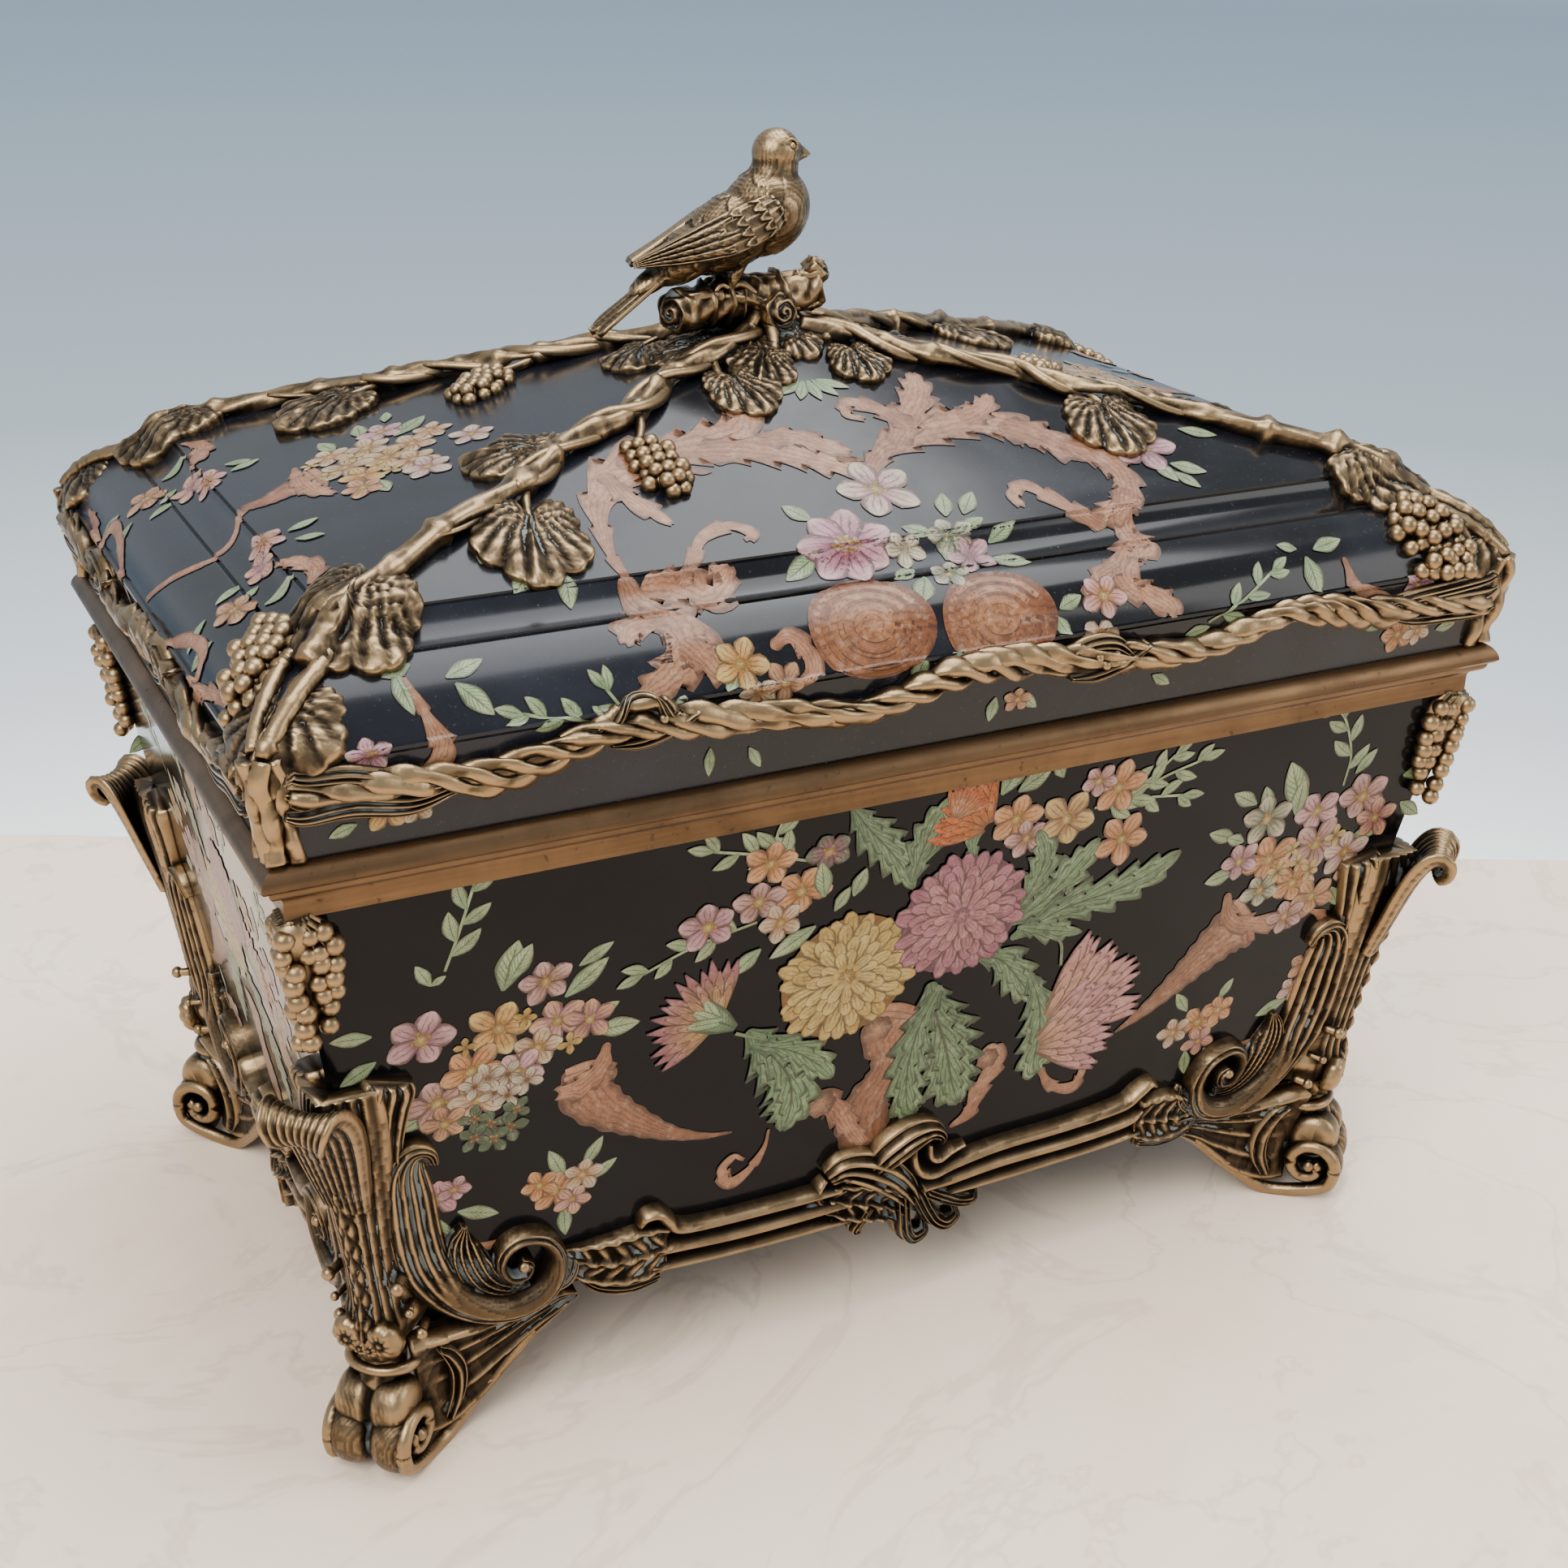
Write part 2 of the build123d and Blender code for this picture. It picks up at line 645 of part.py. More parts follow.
# Aprons: a cartouche between two ribbed rails with leaf ends
def apron(face, reach, leaf_length):
    rail_end = reach - leaf_length
    rail_middle = (cartouche_half + rail_end) / 2
    rail_length = rail_end - cartouche_half + 4
    middle = (apron_low + apron_high) / 2
    with BuildPart() as casting:
        with BuildSketch(face):
            for side in (-1, 1):
                with Locations((side * rail_middle, middle)):
                    Rectangle(rail_length, apron_high - apron_low)
                with BuildLine():
                    Polyline((side * rail_end, apron_low - 2), (side * rail_end, apron_high + 1))
                    ThreePointArc(
                        (side * rail_end, apron_high + 1),
                        (side * (rail_end + leaf_length * 0.6), apron_high + 4),
                        (side * reach, apron_high - 2),
                    )
                    ThreePointArc(
                        (side * reach, apron_high - 2),
                        (side * (rail_end + leaf_length * 0.65), apron_low + 1),
                        (side * rail_end, apron_low - 2),
                    )
                make_face()
        extrude(amount=apron_thick)
        with BuildSketch(face.offset(apron_thick)):
            for side in (-1, 1):
                for share in (0.14, 0.5, 0.86):
                    with Locations((side * rail_middle, apron_low + share * (apron_high - apron_low))):
                        Rectangle(rail_length, 3.0)
        extrude(amount=apron_ridge, taper=20)
        with BuildSketch(face):
            with BuildLine():
                Polyline((-cartouche_half, apron_low), (-cartouche_half + 2, apron_high))
                ThreePointArc((-cartouche_half + 2, apron_high), (0, 34), (cartouche_half - 2, apron_high))
                Line((cartouche_half - 2, apron_high), (cartouche_half, apron_low))
                ThreePointArc((cartouche_half, apron_low), (0, apron_low - 8), (-cartouche_half, apron_low))
            make_face()
        extrude(amount=apron_thick + 3, taper=8)
        with BuildSketch(face.offset(1)):
            with Locations((-8, -11), (1, -13), (10, -10)):
                RegularPolygon(6.5, 8)
        extrude(amount=apron_thick, taper=10)
    return casting.part


side_reach_x = wall_half(length, body_bottom) - scroll_reach - apron_gap
side_reach_y = wall_half(depth, body_bottom) - scroll_reach - apron_gap
right_face = Plane(
    origin=(wall_half(length, body_bottom) + seat_gap, 0, body_bottom),
    x_dir=(0, 1, 0),
    z_dir=(lean_cos, 0, -lean_sin),
)
front_apron = apron(front_face, side_reach_x, apron_leaf)
right_apron = apron(right_face, side_reach_y, short_apron_leaf)
save(front_apron, "apron_front")
save(right_apron, "apron_right")
with BuildPart() as back_apron:
    mirror(front_apron, about=Plane.XZ)
save(back_apron.part, "apron_back")
with BuildPart() as left_apron:
    mirror(right_apron, about=Plane.YZ)
save(left_apron.part, "apron_left")


# Twisted vine along the top of the lid's upright band
def edge_vine(full, other, face_sign, along_x):
    reach = full / 2 - 4
    stand = other / 2 + flare_out + rope_radius
    points, radii = [], []
    for index in range(rope_stations):
        share = index / (rope_stations - 1)
        run = reach * (2 * share - 1)
        height = lid_bottom + rope_height + rope_wave * sin(5 * pi * share)
        across = face_sign * stand
        points.append((run, across, height) if along_x else (across, run, height))
        radii.append((rope_radius * (0.8 + 0.2 * cos(4 * pi * share)),) * 2)
    with BuildPart() as vine:
        add(tube(points, radii, (0, 0, 1)))
        add(lid_envelope, mode=Mode.SUBTRACT)
        for corner in corner_leaves.values():
            add(corner, mode=Mode.SUBTRACT)
    return vine.part


# Corner leaves of the lid, over the ends of the vines
def lid_corner(height, out):
    x = length / 2 + out
    y = -depth / 2 - out
    return (x, y, height)


leaf_stations = (
    (lid_bottom + 0.1, lid_foot_out, 5.0),
    (lid_bottom + 14, lid_foot_out + 2, 6.0),
    (lid_bottom + 22, flare_out, 9.5),
    (ledge_top, ledge_out - 1, 11.5),
    (ledge_top + 9, -2, 10.0),
    (ovolo_top - 1, -10, 5.0),
)
with BuildPart() as corner_leaf:
    leaf_points = [lid_corner(height, out) for height, out, _ in leaf_stations]
    add(tube(leaf_points, [(size, size) for _, _, size in leaf_stations], (1, -1, 0)))
    with BuildSketch(Plane.XY.offset(lid_bottom)):
        Rectangle(2 * length, 2 * depth)
    extrude(amount=-lid_wall, mode=Mode.SUBTRACT)
    add(lid_envelope, mode=Mode.SUBTRACT)
corner_leaves = {}
for place, mirrors in corner_names.items():
    piece = corner_leaf.part
    for plane in mirrors:
        with BuildPart() as turned:
            mirror(piece, about=plane)
        piece = turned.part
    corner_leaves[place] = piece
    with BuildPart() as copy:
        add(piece)
    save(copy.part, f"corner_leaf_{place}")

save(edge_vine(length, depth, -1, True), "edge_vine_front")
save(edge_vine(length, depth, 1, True), "edge_vine_back")
save(edge_vine(depth, length, -1, False), "edge_vine_left")
save(edge_vine(depth, length, 1, False), "edge_vine_right")


# Vines down the four hips: the same branch, leaves and grapes on each
def vine_leaf(plane, size):
    with BuildPart() as leaf:
        with BuildSketch(plane.offset(-leaf_plate)):
            with BuildLine():
                rim = []
                for index in range(20):
                    angle = pi * index / 10
                    reach = size * (0.6 + 0.4 * abs(cos(2.5 * angle)))
                    rim.append((reach * cos(angle), reach * sin(angle)))
                Polyline(*rim, close=True)
            make_face()
        extrude(amount=2 * leaf_plate)
    return leaf.part


def grapes_on(plane, rows):
    cluster = []
    for row, count in enumerate(rows):
        for place in range(count):
            across = (place - (count - 1) / 2) * grape_radius * 1.7
            centre = plane.from_local_coords(Vector(row * grape_radius * 1.5, across, grape_radius * 0.7))
            cluster.append(berry(Plane(origin=centre, z_dir=plane.z_dir)))
    return cluster


branch_steps = ((0.07, 0), (0.2, 2), (0.34, -2), (0.48, 2.5), (0.6, -1.5), (0.74, 1), (branch_end, 0))
for place, (side_x, side_y) in {
    "front_right": (1, -1),
    "front_left": (-1, -1),
    "back_right": (1, 1),
    "back_left": (-1, 1),
}.items():
    points, radii = [], []
    for index, (share, aside) in enumerate(branch_steps):
        seat = on_lid(side_x, side_y, share, 0)
        points.append(tuple(seat.from_local_coords(Vector(0, aside, branch_radius * 0.7))))
        radii.append((branch_radius * (1.1 if index % 2 else 0.85),) * 2)
    with BuildPart() as branch:
        add(tube(points, radii, (0, 0, 1)))
        add(lid_envelope, mode=Mode.SUBTRACT)
    save(branch.part, f"hip_branch_{place}")
    with BuildPart() as leaves:
        for share, aside, size in ((0.16, 15, 11), (0.56, -19, 14), (0.7, 20, 15), (0.985, 0, 15)):
            add(vine_leaf(on_lid(side_x, side_y, share, aside), size))
        add(lid_envelope, mode=Mode.SUBTRACT)
        add(branch.part, mode=Mode.SUBTRACT)
    save(leaves.part, f"vine_leaves_{place}")
    with BuildPart() as grapes:
        for grape in grapes_on(on_lid(side_x, side_y, 0.42, 22), (2, 3, 2, 1)):
            add(grape)
        add(lid_envelope, mode=Mode.SUBTRACT)
    save(grapes.part, f"grapes_{place}")

# Finial stud, washer and nut
pad_face = apex - lid_wall - apex_pad
stud_top = apex + perch_rise - 1
with BuildPart() as finial_washer:
    with BuildSketch(Plane.XY.offset(pad_face - foot_gap)):
        Circle(washer_radius)
        Circle(finial_stud_radius + thread_clearance, mode=Mode.SUBTRACT)
    extrude(amount=-washer_thick)
save(finial_washer.part, "finial_washer")
nut_face = pad_face - foot_gap - washer_thick
with BuildPart() as finial_nut:
    with BuildSketch(Plane.XY.offset(nut_face)):
        RegularPolygon(nut_radius, 6)
        Circle(finial_stud_radius + thread_clearance, mode=Mode.SUBTRACT)
    extrude(amount=-nut_height)
save(finial_nut.part, "finial_nut")
stud_low = nut_face - nut_height - stud_tail
with BuildPart() as finial_stud:
    with BuildSketch(Plane.XY.offset(stud_low)):
        Circle(finial_stud_radius)
    extrude(amount=stud_top - stud_low)
save(finial_stud.part, "finial_stud")

# Perch: a log across the tip of the lid, on a collar of leaves
log_height = apex + perch_rise
log_points = [
    (perch_left, 0, log_height - 2),
    (perch_left + 8, 0, log_height),
    (0, 0, log_height),
    (perch_right - 4, 0, log_height + 1),
    (perch_right, 0, log_height + 2),
]
stub_points = [(perch_right - 3, 0, log_height), (perch_right, 0, log_height + 9)]
with BuildPart() as perch:
    add(tube(log_points, ((5.4, 5.4), (4.2, 4.2), (4.6, 4.6), (4.4, 4.4), (5.4, 5.4)), (0, 1, 0)))
    add(tube(stub_points, ((3.2, 3.2), (2.4, 2.4)), (0, 1, 0)))
    add(tube([(0, 0, apex - 6), (0, 0, log_height - 1)], ((16, 14), (6, 5)), (1, 0, 0)))
    add(lid_envelope, mode=Mode.SUBTRACT)
    with BuildSketch(Plane.XY.offset(stud_top + thread_clearance)):
        Circle(finial_stud_radius + thread_clearance)
    extrude(amount=-4 * perch_rise, mode=Mode.SUBTRACT)
save(perch.part, "perch")

# Bird on the log: tail, back, breast, neck, head and beak
bird_points = [
    (-61, 0, apex + 6),
    (-46, 0, apex + 16),
    (-33, 0, apex + 25),
    (-18, 0, apex + 32),
    (-5, 0, apex + 38),
    (1, 0, apex + 46),
    (2, 0, apex + 54),
    (4, 0, apex + 61),
]
bird_sizes = ((5, 0.8), (8, 2.5), (10, 8), (14, 13.5), (12.5, 13), (8.5, 8.5), (9, 9.5), (4, 4))
beak_points = [(7, 0, apex + 55), (14.7, 0, apex + 53.2)]
with BuildPart() as bird:
    add(tube(bird_points, bird_sizes, (0, 1, 0), 10))
    add(tube(beak_points, ((4, 3.5), (0.6, 0.6)), (0, 1, 0), 6))
    for side in (-1, 1):
        wing_points = [(2, 10.5 * side, apex + 38), (-20, 13 * side, apex + 33), (-47, 5.5 * side, apex + 26)]
        add(tube(wing_points, ((2, 6), (2.6, 9.5), (1, 1.5)), (0, 1, 0), 6))
        leg_points = [(-14, 4 * side, log_height + 2), (-14, 4 * side, apex + 26)]
        add(tube(leg_points, ((1.4, 1.4), (3, 3)), (0, 1, 0), 6))
    add(perch.part, mode=Mode.SUBTRACT)
save(bird.part, "bird")
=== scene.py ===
import math
import random

import bmesh
import bpy
import numpy as np
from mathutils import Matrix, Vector


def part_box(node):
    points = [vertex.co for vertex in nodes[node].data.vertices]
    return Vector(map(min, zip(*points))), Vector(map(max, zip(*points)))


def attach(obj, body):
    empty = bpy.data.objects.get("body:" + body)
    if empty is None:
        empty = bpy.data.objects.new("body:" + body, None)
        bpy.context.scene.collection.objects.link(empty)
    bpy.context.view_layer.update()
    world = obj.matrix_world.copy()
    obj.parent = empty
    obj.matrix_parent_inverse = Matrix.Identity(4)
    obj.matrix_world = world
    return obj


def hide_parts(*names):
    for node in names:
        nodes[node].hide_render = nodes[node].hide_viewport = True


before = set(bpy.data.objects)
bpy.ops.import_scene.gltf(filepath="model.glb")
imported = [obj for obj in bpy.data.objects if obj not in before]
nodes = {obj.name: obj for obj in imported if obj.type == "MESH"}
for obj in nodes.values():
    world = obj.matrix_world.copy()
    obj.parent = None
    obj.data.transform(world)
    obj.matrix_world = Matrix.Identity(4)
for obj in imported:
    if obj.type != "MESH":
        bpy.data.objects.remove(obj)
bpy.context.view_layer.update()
chance = random.Random(11)
mm = 0.001
halfRoot = math.sqrt(0.5)
faceNames = ("front", "right", "back", "left")
cornerSigns = {"front_right": (1, -1), "front_left": (-1, -1), "back_right": (1, 1), "back_left": (-1, 1)}
print("frame loaded,", len(nodes), "nodes")


def deselect():
    bpy.ops.object.select_all(action="DESELECT")


def boxOf(node):
    low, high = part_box(node)
    return np.array(low) / mm, np.array(high) / mm


# the casket's own planes, in millimetres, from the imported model
bodyLow, bodyHigh = boxOf("porcelain_body")
lidLow, lidHigh = boxOf("porcelain_lid")
wallTaper = 0.15  # run of a wall for each millimetre of height
leanCos = math.cos(math.atan(wallTaper))
leanSin = math.sin(math.atan(wallTaper))
lidForm = {  # the lid's moulding, out from the band and up from the lid's foot
    "ledgeOut": 6.0, "footOut": 2.2, "flareOut": 5.2, "flareHeight": 26.7, "ledgeHeight": 2.0,
    "ledgeWidth": 1.5, "ovoloIn": 13.0, "ovoloHeight": 17.2, "ovoloBulge": 3.0, "fillet": 1.1,
    "coveWidth": 9.0, "coveHeight": 7.3, "coveHollow": 1.5, "slopeHeight": 40.4, "slopeBulge": 1.5,
}
bandHalf = {"x": lidHigh[0] - lidForm["ledgeOut"], "y": lidHigh[1] - lidForm["ledgeOut"]}
lidFoot = lidLow[2]


def unit(v):
    v = np.asarray(v, float)
    return v / np.maximum(np.linalg.norm(v, axis=-1, keepdims=True), 1e-9)


def smooth(a, b, x):
    t = np.clip((np.asarray(x, float) - a) / (b - a), 0, 1)
    return t * t * (3 - 2 * t)


def through(points, count):  # a smooth curve through given points, evenly stepped
    p = np.array(points, float)
    p = np.vstack([2 * p[0] - p[1], p, 2 * p[-1] - p[-2]])
    fine = []
    for i in range(1, len(p) - 2):
        t = np.linspace(0, 1, 24, endpoint=False)[:, None]
        a, b, c, d = p[i - 1], p[i], p[i + 1], p[i + 2]
        fine.append(0.5 * (2 * b + (c - a) * t + (2 * a - 5 * b + 4 * c - d) * t ** 2
                           + (3 * b - 3 * c + d - a) * t ** 3))
    fine = np.vstack(fine + [p[-2][None]])
    size = min(3, fine.shape[1])
    run = np.concatenate([[0], np.cumsum(np.linalg.norm(np.diff(fine[:, :size], axis=0), axis=1))])
    at = np.linspace(0, run[-1], count)
    return np.stack([np.interp(at, run, fine[:, k]) for k in range(fine.shape[1])], 1)


def arcThrough(a, b, c, count=12):
    a, b, c = (np.array(p, float) for p in (a, b, c))
    d = 2 * (a[0] * (b[1] - c[1]) + b[0] * (c[1] - a[1]) + c[0] * (a[1] - b[1]))
    squares = [p @ p for p in (a, b, c)]
    cx = (squares[0] * (b[1] - c[1]) + squares[1] * (c[1] - a[1]) + squares[2] * (a[1] - b[1])) / d
    cy = (squares[0] * (c[0] - b[0]) + squares[1] * (a[0] - c[0]) + squares[2] * (b[0] - a[0])) / d
    turns = np.unwrap([math.atan2(p[1] - cy, p[0] - cx) for p in (a, b, c)])
    at = np.linspace(turns[0], turns[2], count)
    radius = math.hypot(a[0] - cx, a[1] - cy)
    return np.stack([cx + radius * np.cos(at), cy + radius * np.sin(at)], 1)


def lidProfile(half):  # reach from the middle and height, from the lid's foot to its tip
    f = lidForm
    z = lidFoot + f["flareHeight"]
    ledge = z + f["ledgeHeight"]
    foot = (half + f["ledgeOut"] - f["ledgeWidth"], ledge)
    end = (half - f["ovoloIn"], ledge + f["ovoloHeight"])
    push = f["ovoloBulge"] * halfRoot
    ovolo = arcThrough(foot, ((foot[0] + end[0]) / 2 + push, (foot[1] + end[1]) / 2 + push), end)
    coveFoot = (end[0] - f["fillet"], end[1] + f["fillet"])
    coveEnd = (coveFoot[0] - f["coveWidth"], coveFoot[1] + f["coveHeight"])
    pull = f["coveHollow"] * halfRoot
    middle = ((coveFoot[0] + coveEnd[0]) / 2 - pull, (coveFoot[1] + coveEnd[1]) / 2 - pull)
    cove = arcThrough(coveFoot, middle, coveEnd)
    start = (coveEnd[0] - f["fillet"], coveEnd[1] + f["fillet"])
    tip = start[1] + f["slopeHeight"]
    slope = arcThrough(start, (start[0] / 2, (start[1] + tip) / 2 + f["slopeBulge"]), (0, tip), 30)
    return np.vstack([
        [(half + f["footOut"], lidFoot), (half + f["flareOut"], z), (half + f["ledgeOut"], z + 1),
         (half + f["ledgeOut"], ledge)], ovolo, [(coveFoot[0], end[1])], cove, [(start[0], coveEnd[1])], slope])


profiles = {axis: lidProfile(bandHalf[axis]) for axis in "xy"}
lidRuns = {axis: np.concatenate([[0], np.cumsum(np.linalg.norm(np.diff(p, axis=0), axis=1))])
           for axis, p in profiles.items()}
lidTip = profiles["x"][-1][1]
slopeStart = {a: bandHalf[a] - lidForm["ovoloIn"] - 2 * lidForm["fillet"] - lidForm["coveWidth"] for a in "xy"}


def turned(side, run, reach, height):  # from a face's own run and reach to the row frame
    run, reach, height = np.broadcast_arrays(*(np.asarray(v, float) for v in (run, reach, height)))
    x, y = {"front": (run, -reach), "right": (reach, run), "back": (-run, reach), "left": (-reach, -run)}[side]
    return np.stack([x, y, height], -1)


def onWall(side, run, height, out=0.0):
    top = bodyHigh[1] if side in ("front", "back") else bodyHigh[0]
    height = np.asarray(height, float)
    return turned(side, run, top - wallTaper * (bodyHigh[2] - height) + out * leanCos, height - out * leanSin)


def onLid(side, run, up, out=0.0):  # up is measured along the lid's moulding from its foot
    axis = "y" if side in ("front", "back") else "x"
    p, s = profiles[axis], lidRuns[axis]
    up = np.asarray(up, float)
    reach, height = np.interp(up, s, p[:, 0]), np.interp(up, s, p[:, 1])
    ahead = np.stack([np.interp(up + 0.6, s, p[:, 0]) - np.interp(up - 0.6, s, p[:, 0]),
                      np.interp(up + 0.6, s, p[:, 1]) - np.interp(up - 0.6, s, p[:, 1])], -1)
    ahead = unit(ahead)
    return turned(side, run, reach + out * ahead[..., 1], height - out * ahead[..., 0])


def lidTop(x, y):  # height of the lid over a plan point, inside its ledge
    x, y = np.abs(np.asarray(x, float)), np.abs(np.asarray(y, float))
    share = np.maximum(x / slopeStart["x"], y / slopeStart["y"])
    f = lidForm
    slope = lidTip - f["slopeHeight"] * share + 4 * f["slopeBulge"] * share * (1 - share)
    out = np.maximum(x - bandHalf["x"], y - bandHalf["y"])
    table = profiles["x"][3:-29]
    moulding = np.interp(out, (table[:, 0] - bandHalf["x"])[::-1], table[::-1, 1])
    return np.where(share < 1, slope, moulding)


def cornerEdge(height):
    height = np.asarray(height, float)
    drop = wallTaper * (bodyHigh[2] - height)
    return bodyHigh[0] - drop, -(bodyHigh[1] - drop)


def onCorner(run, height, out=0.0, face=0):  # the front right corner: run back from the edge along a face
    x, y = cornerEdge(height)
    run, height, out = (np.asarray(v, float) for v in (run, height, out))
    z = height - out * leanSin
    if face == 0:
        return np.stack(np.broadcast_arrays(x - run, y - out * leanCos, z), -1)
    return np.stack(np.broadcast_arrays(x + out * leanCos, y + run, z), -1)


def onDiagonal(out, across, height):  # out from the corner's own edge, across the diagonal
    x, y = cornerEdge(height)
    return np.stack(np.broadcast_arrays(x + (out + across) * halfRoot, y - (out - across) * halfRoot,
                                        np.asarray(height, float)), -1)


class Casting:  # gathers grids of points in millimetres into one mesh
    def __init__(self):
        self.points, self.faces, self.count = [], [], 0

    def add(self, points, faces):
        points = np.asarray(points, float).reshape(-1, 3)
        self.faces.extend([tuple(int(i) + self.count for i in f) for f in faces])
        self.points.append(points)
        self.count += len(points)

    def grid(self, rows, closed=True, caps=True):
        n, m = rows.shape[:2]
        last = m if closed else m - 1
        faces = [(i * m + j, i * m + (j + 1) % m, (i + 1) * m + (j + 1) % m, (i + 1) * m + j)
                 for i in range(n - 1) for j in range(last)]
        if caps and closed:
            faces.append(tuple(range(m - 1, -1, -1)))
            faces.append(tuple((n - 1) * m + j for j in range(m)))
        self.add(rows, faces)

    def merge(self, other, move=None):
        if other.count:
            points = np.vstack(other.points)
            self.add(points if move is None else move(points), other.faces)

    def mesh(self, name):
        data = bpy.data.meshes.new(name)
        data.from_pydata((np.vstack(self.points) * mm).tolist(), [], self.faces)
        b = bmesh.new()
        b.from_mesh(data)
        bmesh.ops.recalc_face_normals(b, faces=b.faces)
        b.to_mesh(data)
        b.free()
        data.shade_smooth()
        return data


def sweep(cast, centres, across, outward, halfWide, high, profile, sink=0.6, steps=17, under=None):
    # a carved strip: its top follows profile(u, s), its underside lies sunk into what carries it
    n = len(centres)
    u = np.linspace(-1, 1, steps)
    s = np.linspace(0, 1, n)
    halfWide, high = np.broadcast_to(halfWide, n), np.broadcast_to(high, n)
    relief = np.array([profile(u, share) for share in s]) * high[:, None]
    flat = centres[:, None] + across[:, None] * (u[None] * halfWide[:, None])[..., None]
    top = flat + outward[:, None] * relief[..., None]
    if under is None:
        foot = [centres + across * (side * halfWide)[:, None] - outward * sink for side in (1, -1)]
        rows = np.concatenate([top, foot[0][:, None], foot[1][:, None]], 1)
    else:
        back = np.array([under(u, share) for share in s]) * high[:, None]
        rows = np.concatenate([top, (flat + outward[:, None] * back[..., None])[:, ::-1]], 1)
    cast.grid(rows)


def fullTurn(count):
    return np.linspace(0, 2 * math.pi, count, endpoint=False)


def ringsAround(centres, reach, turn, upward=(0, 0, 1)):
    ahead = unit(np.gradient(centres, axis=0))
    side = unit(np.cross(ahead, np.broadcast_to(upward, ahead.shape)))
    up = np.cross(side, ahead)
    swing = side[:, None] * (reach * np.cos(turn))[..., None]
    return centres[:, None] + swing + up[:, None] * (reach * np.sin(turn))[..., None]


def tube(cast, centres, radius, sides=10, lumps=0.0, lobes=3, twist=0.0, upward=(0, 0, 1)):
    n = len(centres)
    turn = fullTurn(sides)[None]
    wound = turn + np.linspace(0, twist, n)[:, None]
    reach = np.broadcast_to(radius, n)[:, None] * (1 + lumps * np.cos(lobes * wound))
    cast.grid(ringsAround(centres, reach, turn, upward))


def ridges(count, depth, crown):  # reeds that run along a strip, over a crowned section
    def profile(u, s):
        dome = (1 - crown) + crown * np.sqrt(np.clip(1 - u * u, 0, 1))
        reeds = np.abs(np.cos(np.pi * count * (u + 1) / 2))
        edge = smooth(1.0, 0.86, np.abs(u))
        return (dome - depth * (1 - reeds)) * (0.15 + 0.85 * edge)
    return profile


def faceStrip(cast, surface, path, high, profile, count=60, steps=17, sink=0.5, out=0.0):
    # path holds (run, height, half width), and the relief as a fourth number where high is None
    path = np.array(path, float)
    heights = path[:, 3] if high is None else np.broadcast_to(high, len(path))
    p = through(np.column_stack([path[:, :3], heights]), count)
    flat = unit(np.gradient(p[:, :2], axis=0))
    side = np.stack([-flat[:, 1], flat[:, 0]], 1)
    e = 0.5
    centre = surface(p[:, 0], p[:, 1], out)
    beside = surface(p[:, 0] + side[:, 0] * e, p[:, 1] + side[:, 1] * e, out)
    raised = surface(p[:, 0], p[:, 1], out + 1.0)
    sweep(cast, centre, (beside - centre) / e, raised - centre, p[:, 2], p[:, 3], profile, sink, steps)


def finishPiece(name, data, body, material, replaced=()):
    piece = bpy.data.objects.new(name, data)
    bpy.context.scene.collection.objects.link(piece)
    data.materials.clear()
    data.materials.append(material)
    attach(piece, body)
    if replaced:
        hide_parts(*replaced)
    return piece


castPieces = []


def finishCasting(name, cast, body, node, material=None):
    castPieces.append(finishPiece(name, cast.mesh(name), body, material or bronze, (node,)))


def atCorners(name, cast, body, node):
    for corner, (sx, sy) in cornerSigns.items():  # each is made at the front right, and mirrored
        turnedCast = Casting()
        turnedCast.merge(cast, lambda p: p * np.array([sx, -sy, 1.0]))
        finishCasting(f"{name}_{corner}", turnedCast, body, f"{node}_{corner}")


class Term:  # one shader socket, so that maths on it reads as an expression
    def __init__(self, graph, socket):
        self.graph, self.socket = graph, socket

    def math(self, operation, other=None, swap=False):
        pair = [self] if other is None else [other, self] if swap else [self, other]
        return self.graph.node("ShaderNodeMath", {"operation": operation}, dict(enumerate(pair)))

    def __add__(self, other): return self.math("ADD", other)
    def __radd__(self, other): return self.math("ADD", other)
    def __sub__(self, other): return self.math("SUBTRACT", other)
    def __rsub__(self, other): return self.math("SUBTRACT", other, True)
    def __mul__(self, other): return self.math("MULTIPLY", other)
    def __rmul__(self, other): return self.math("MULTIPLY", other)


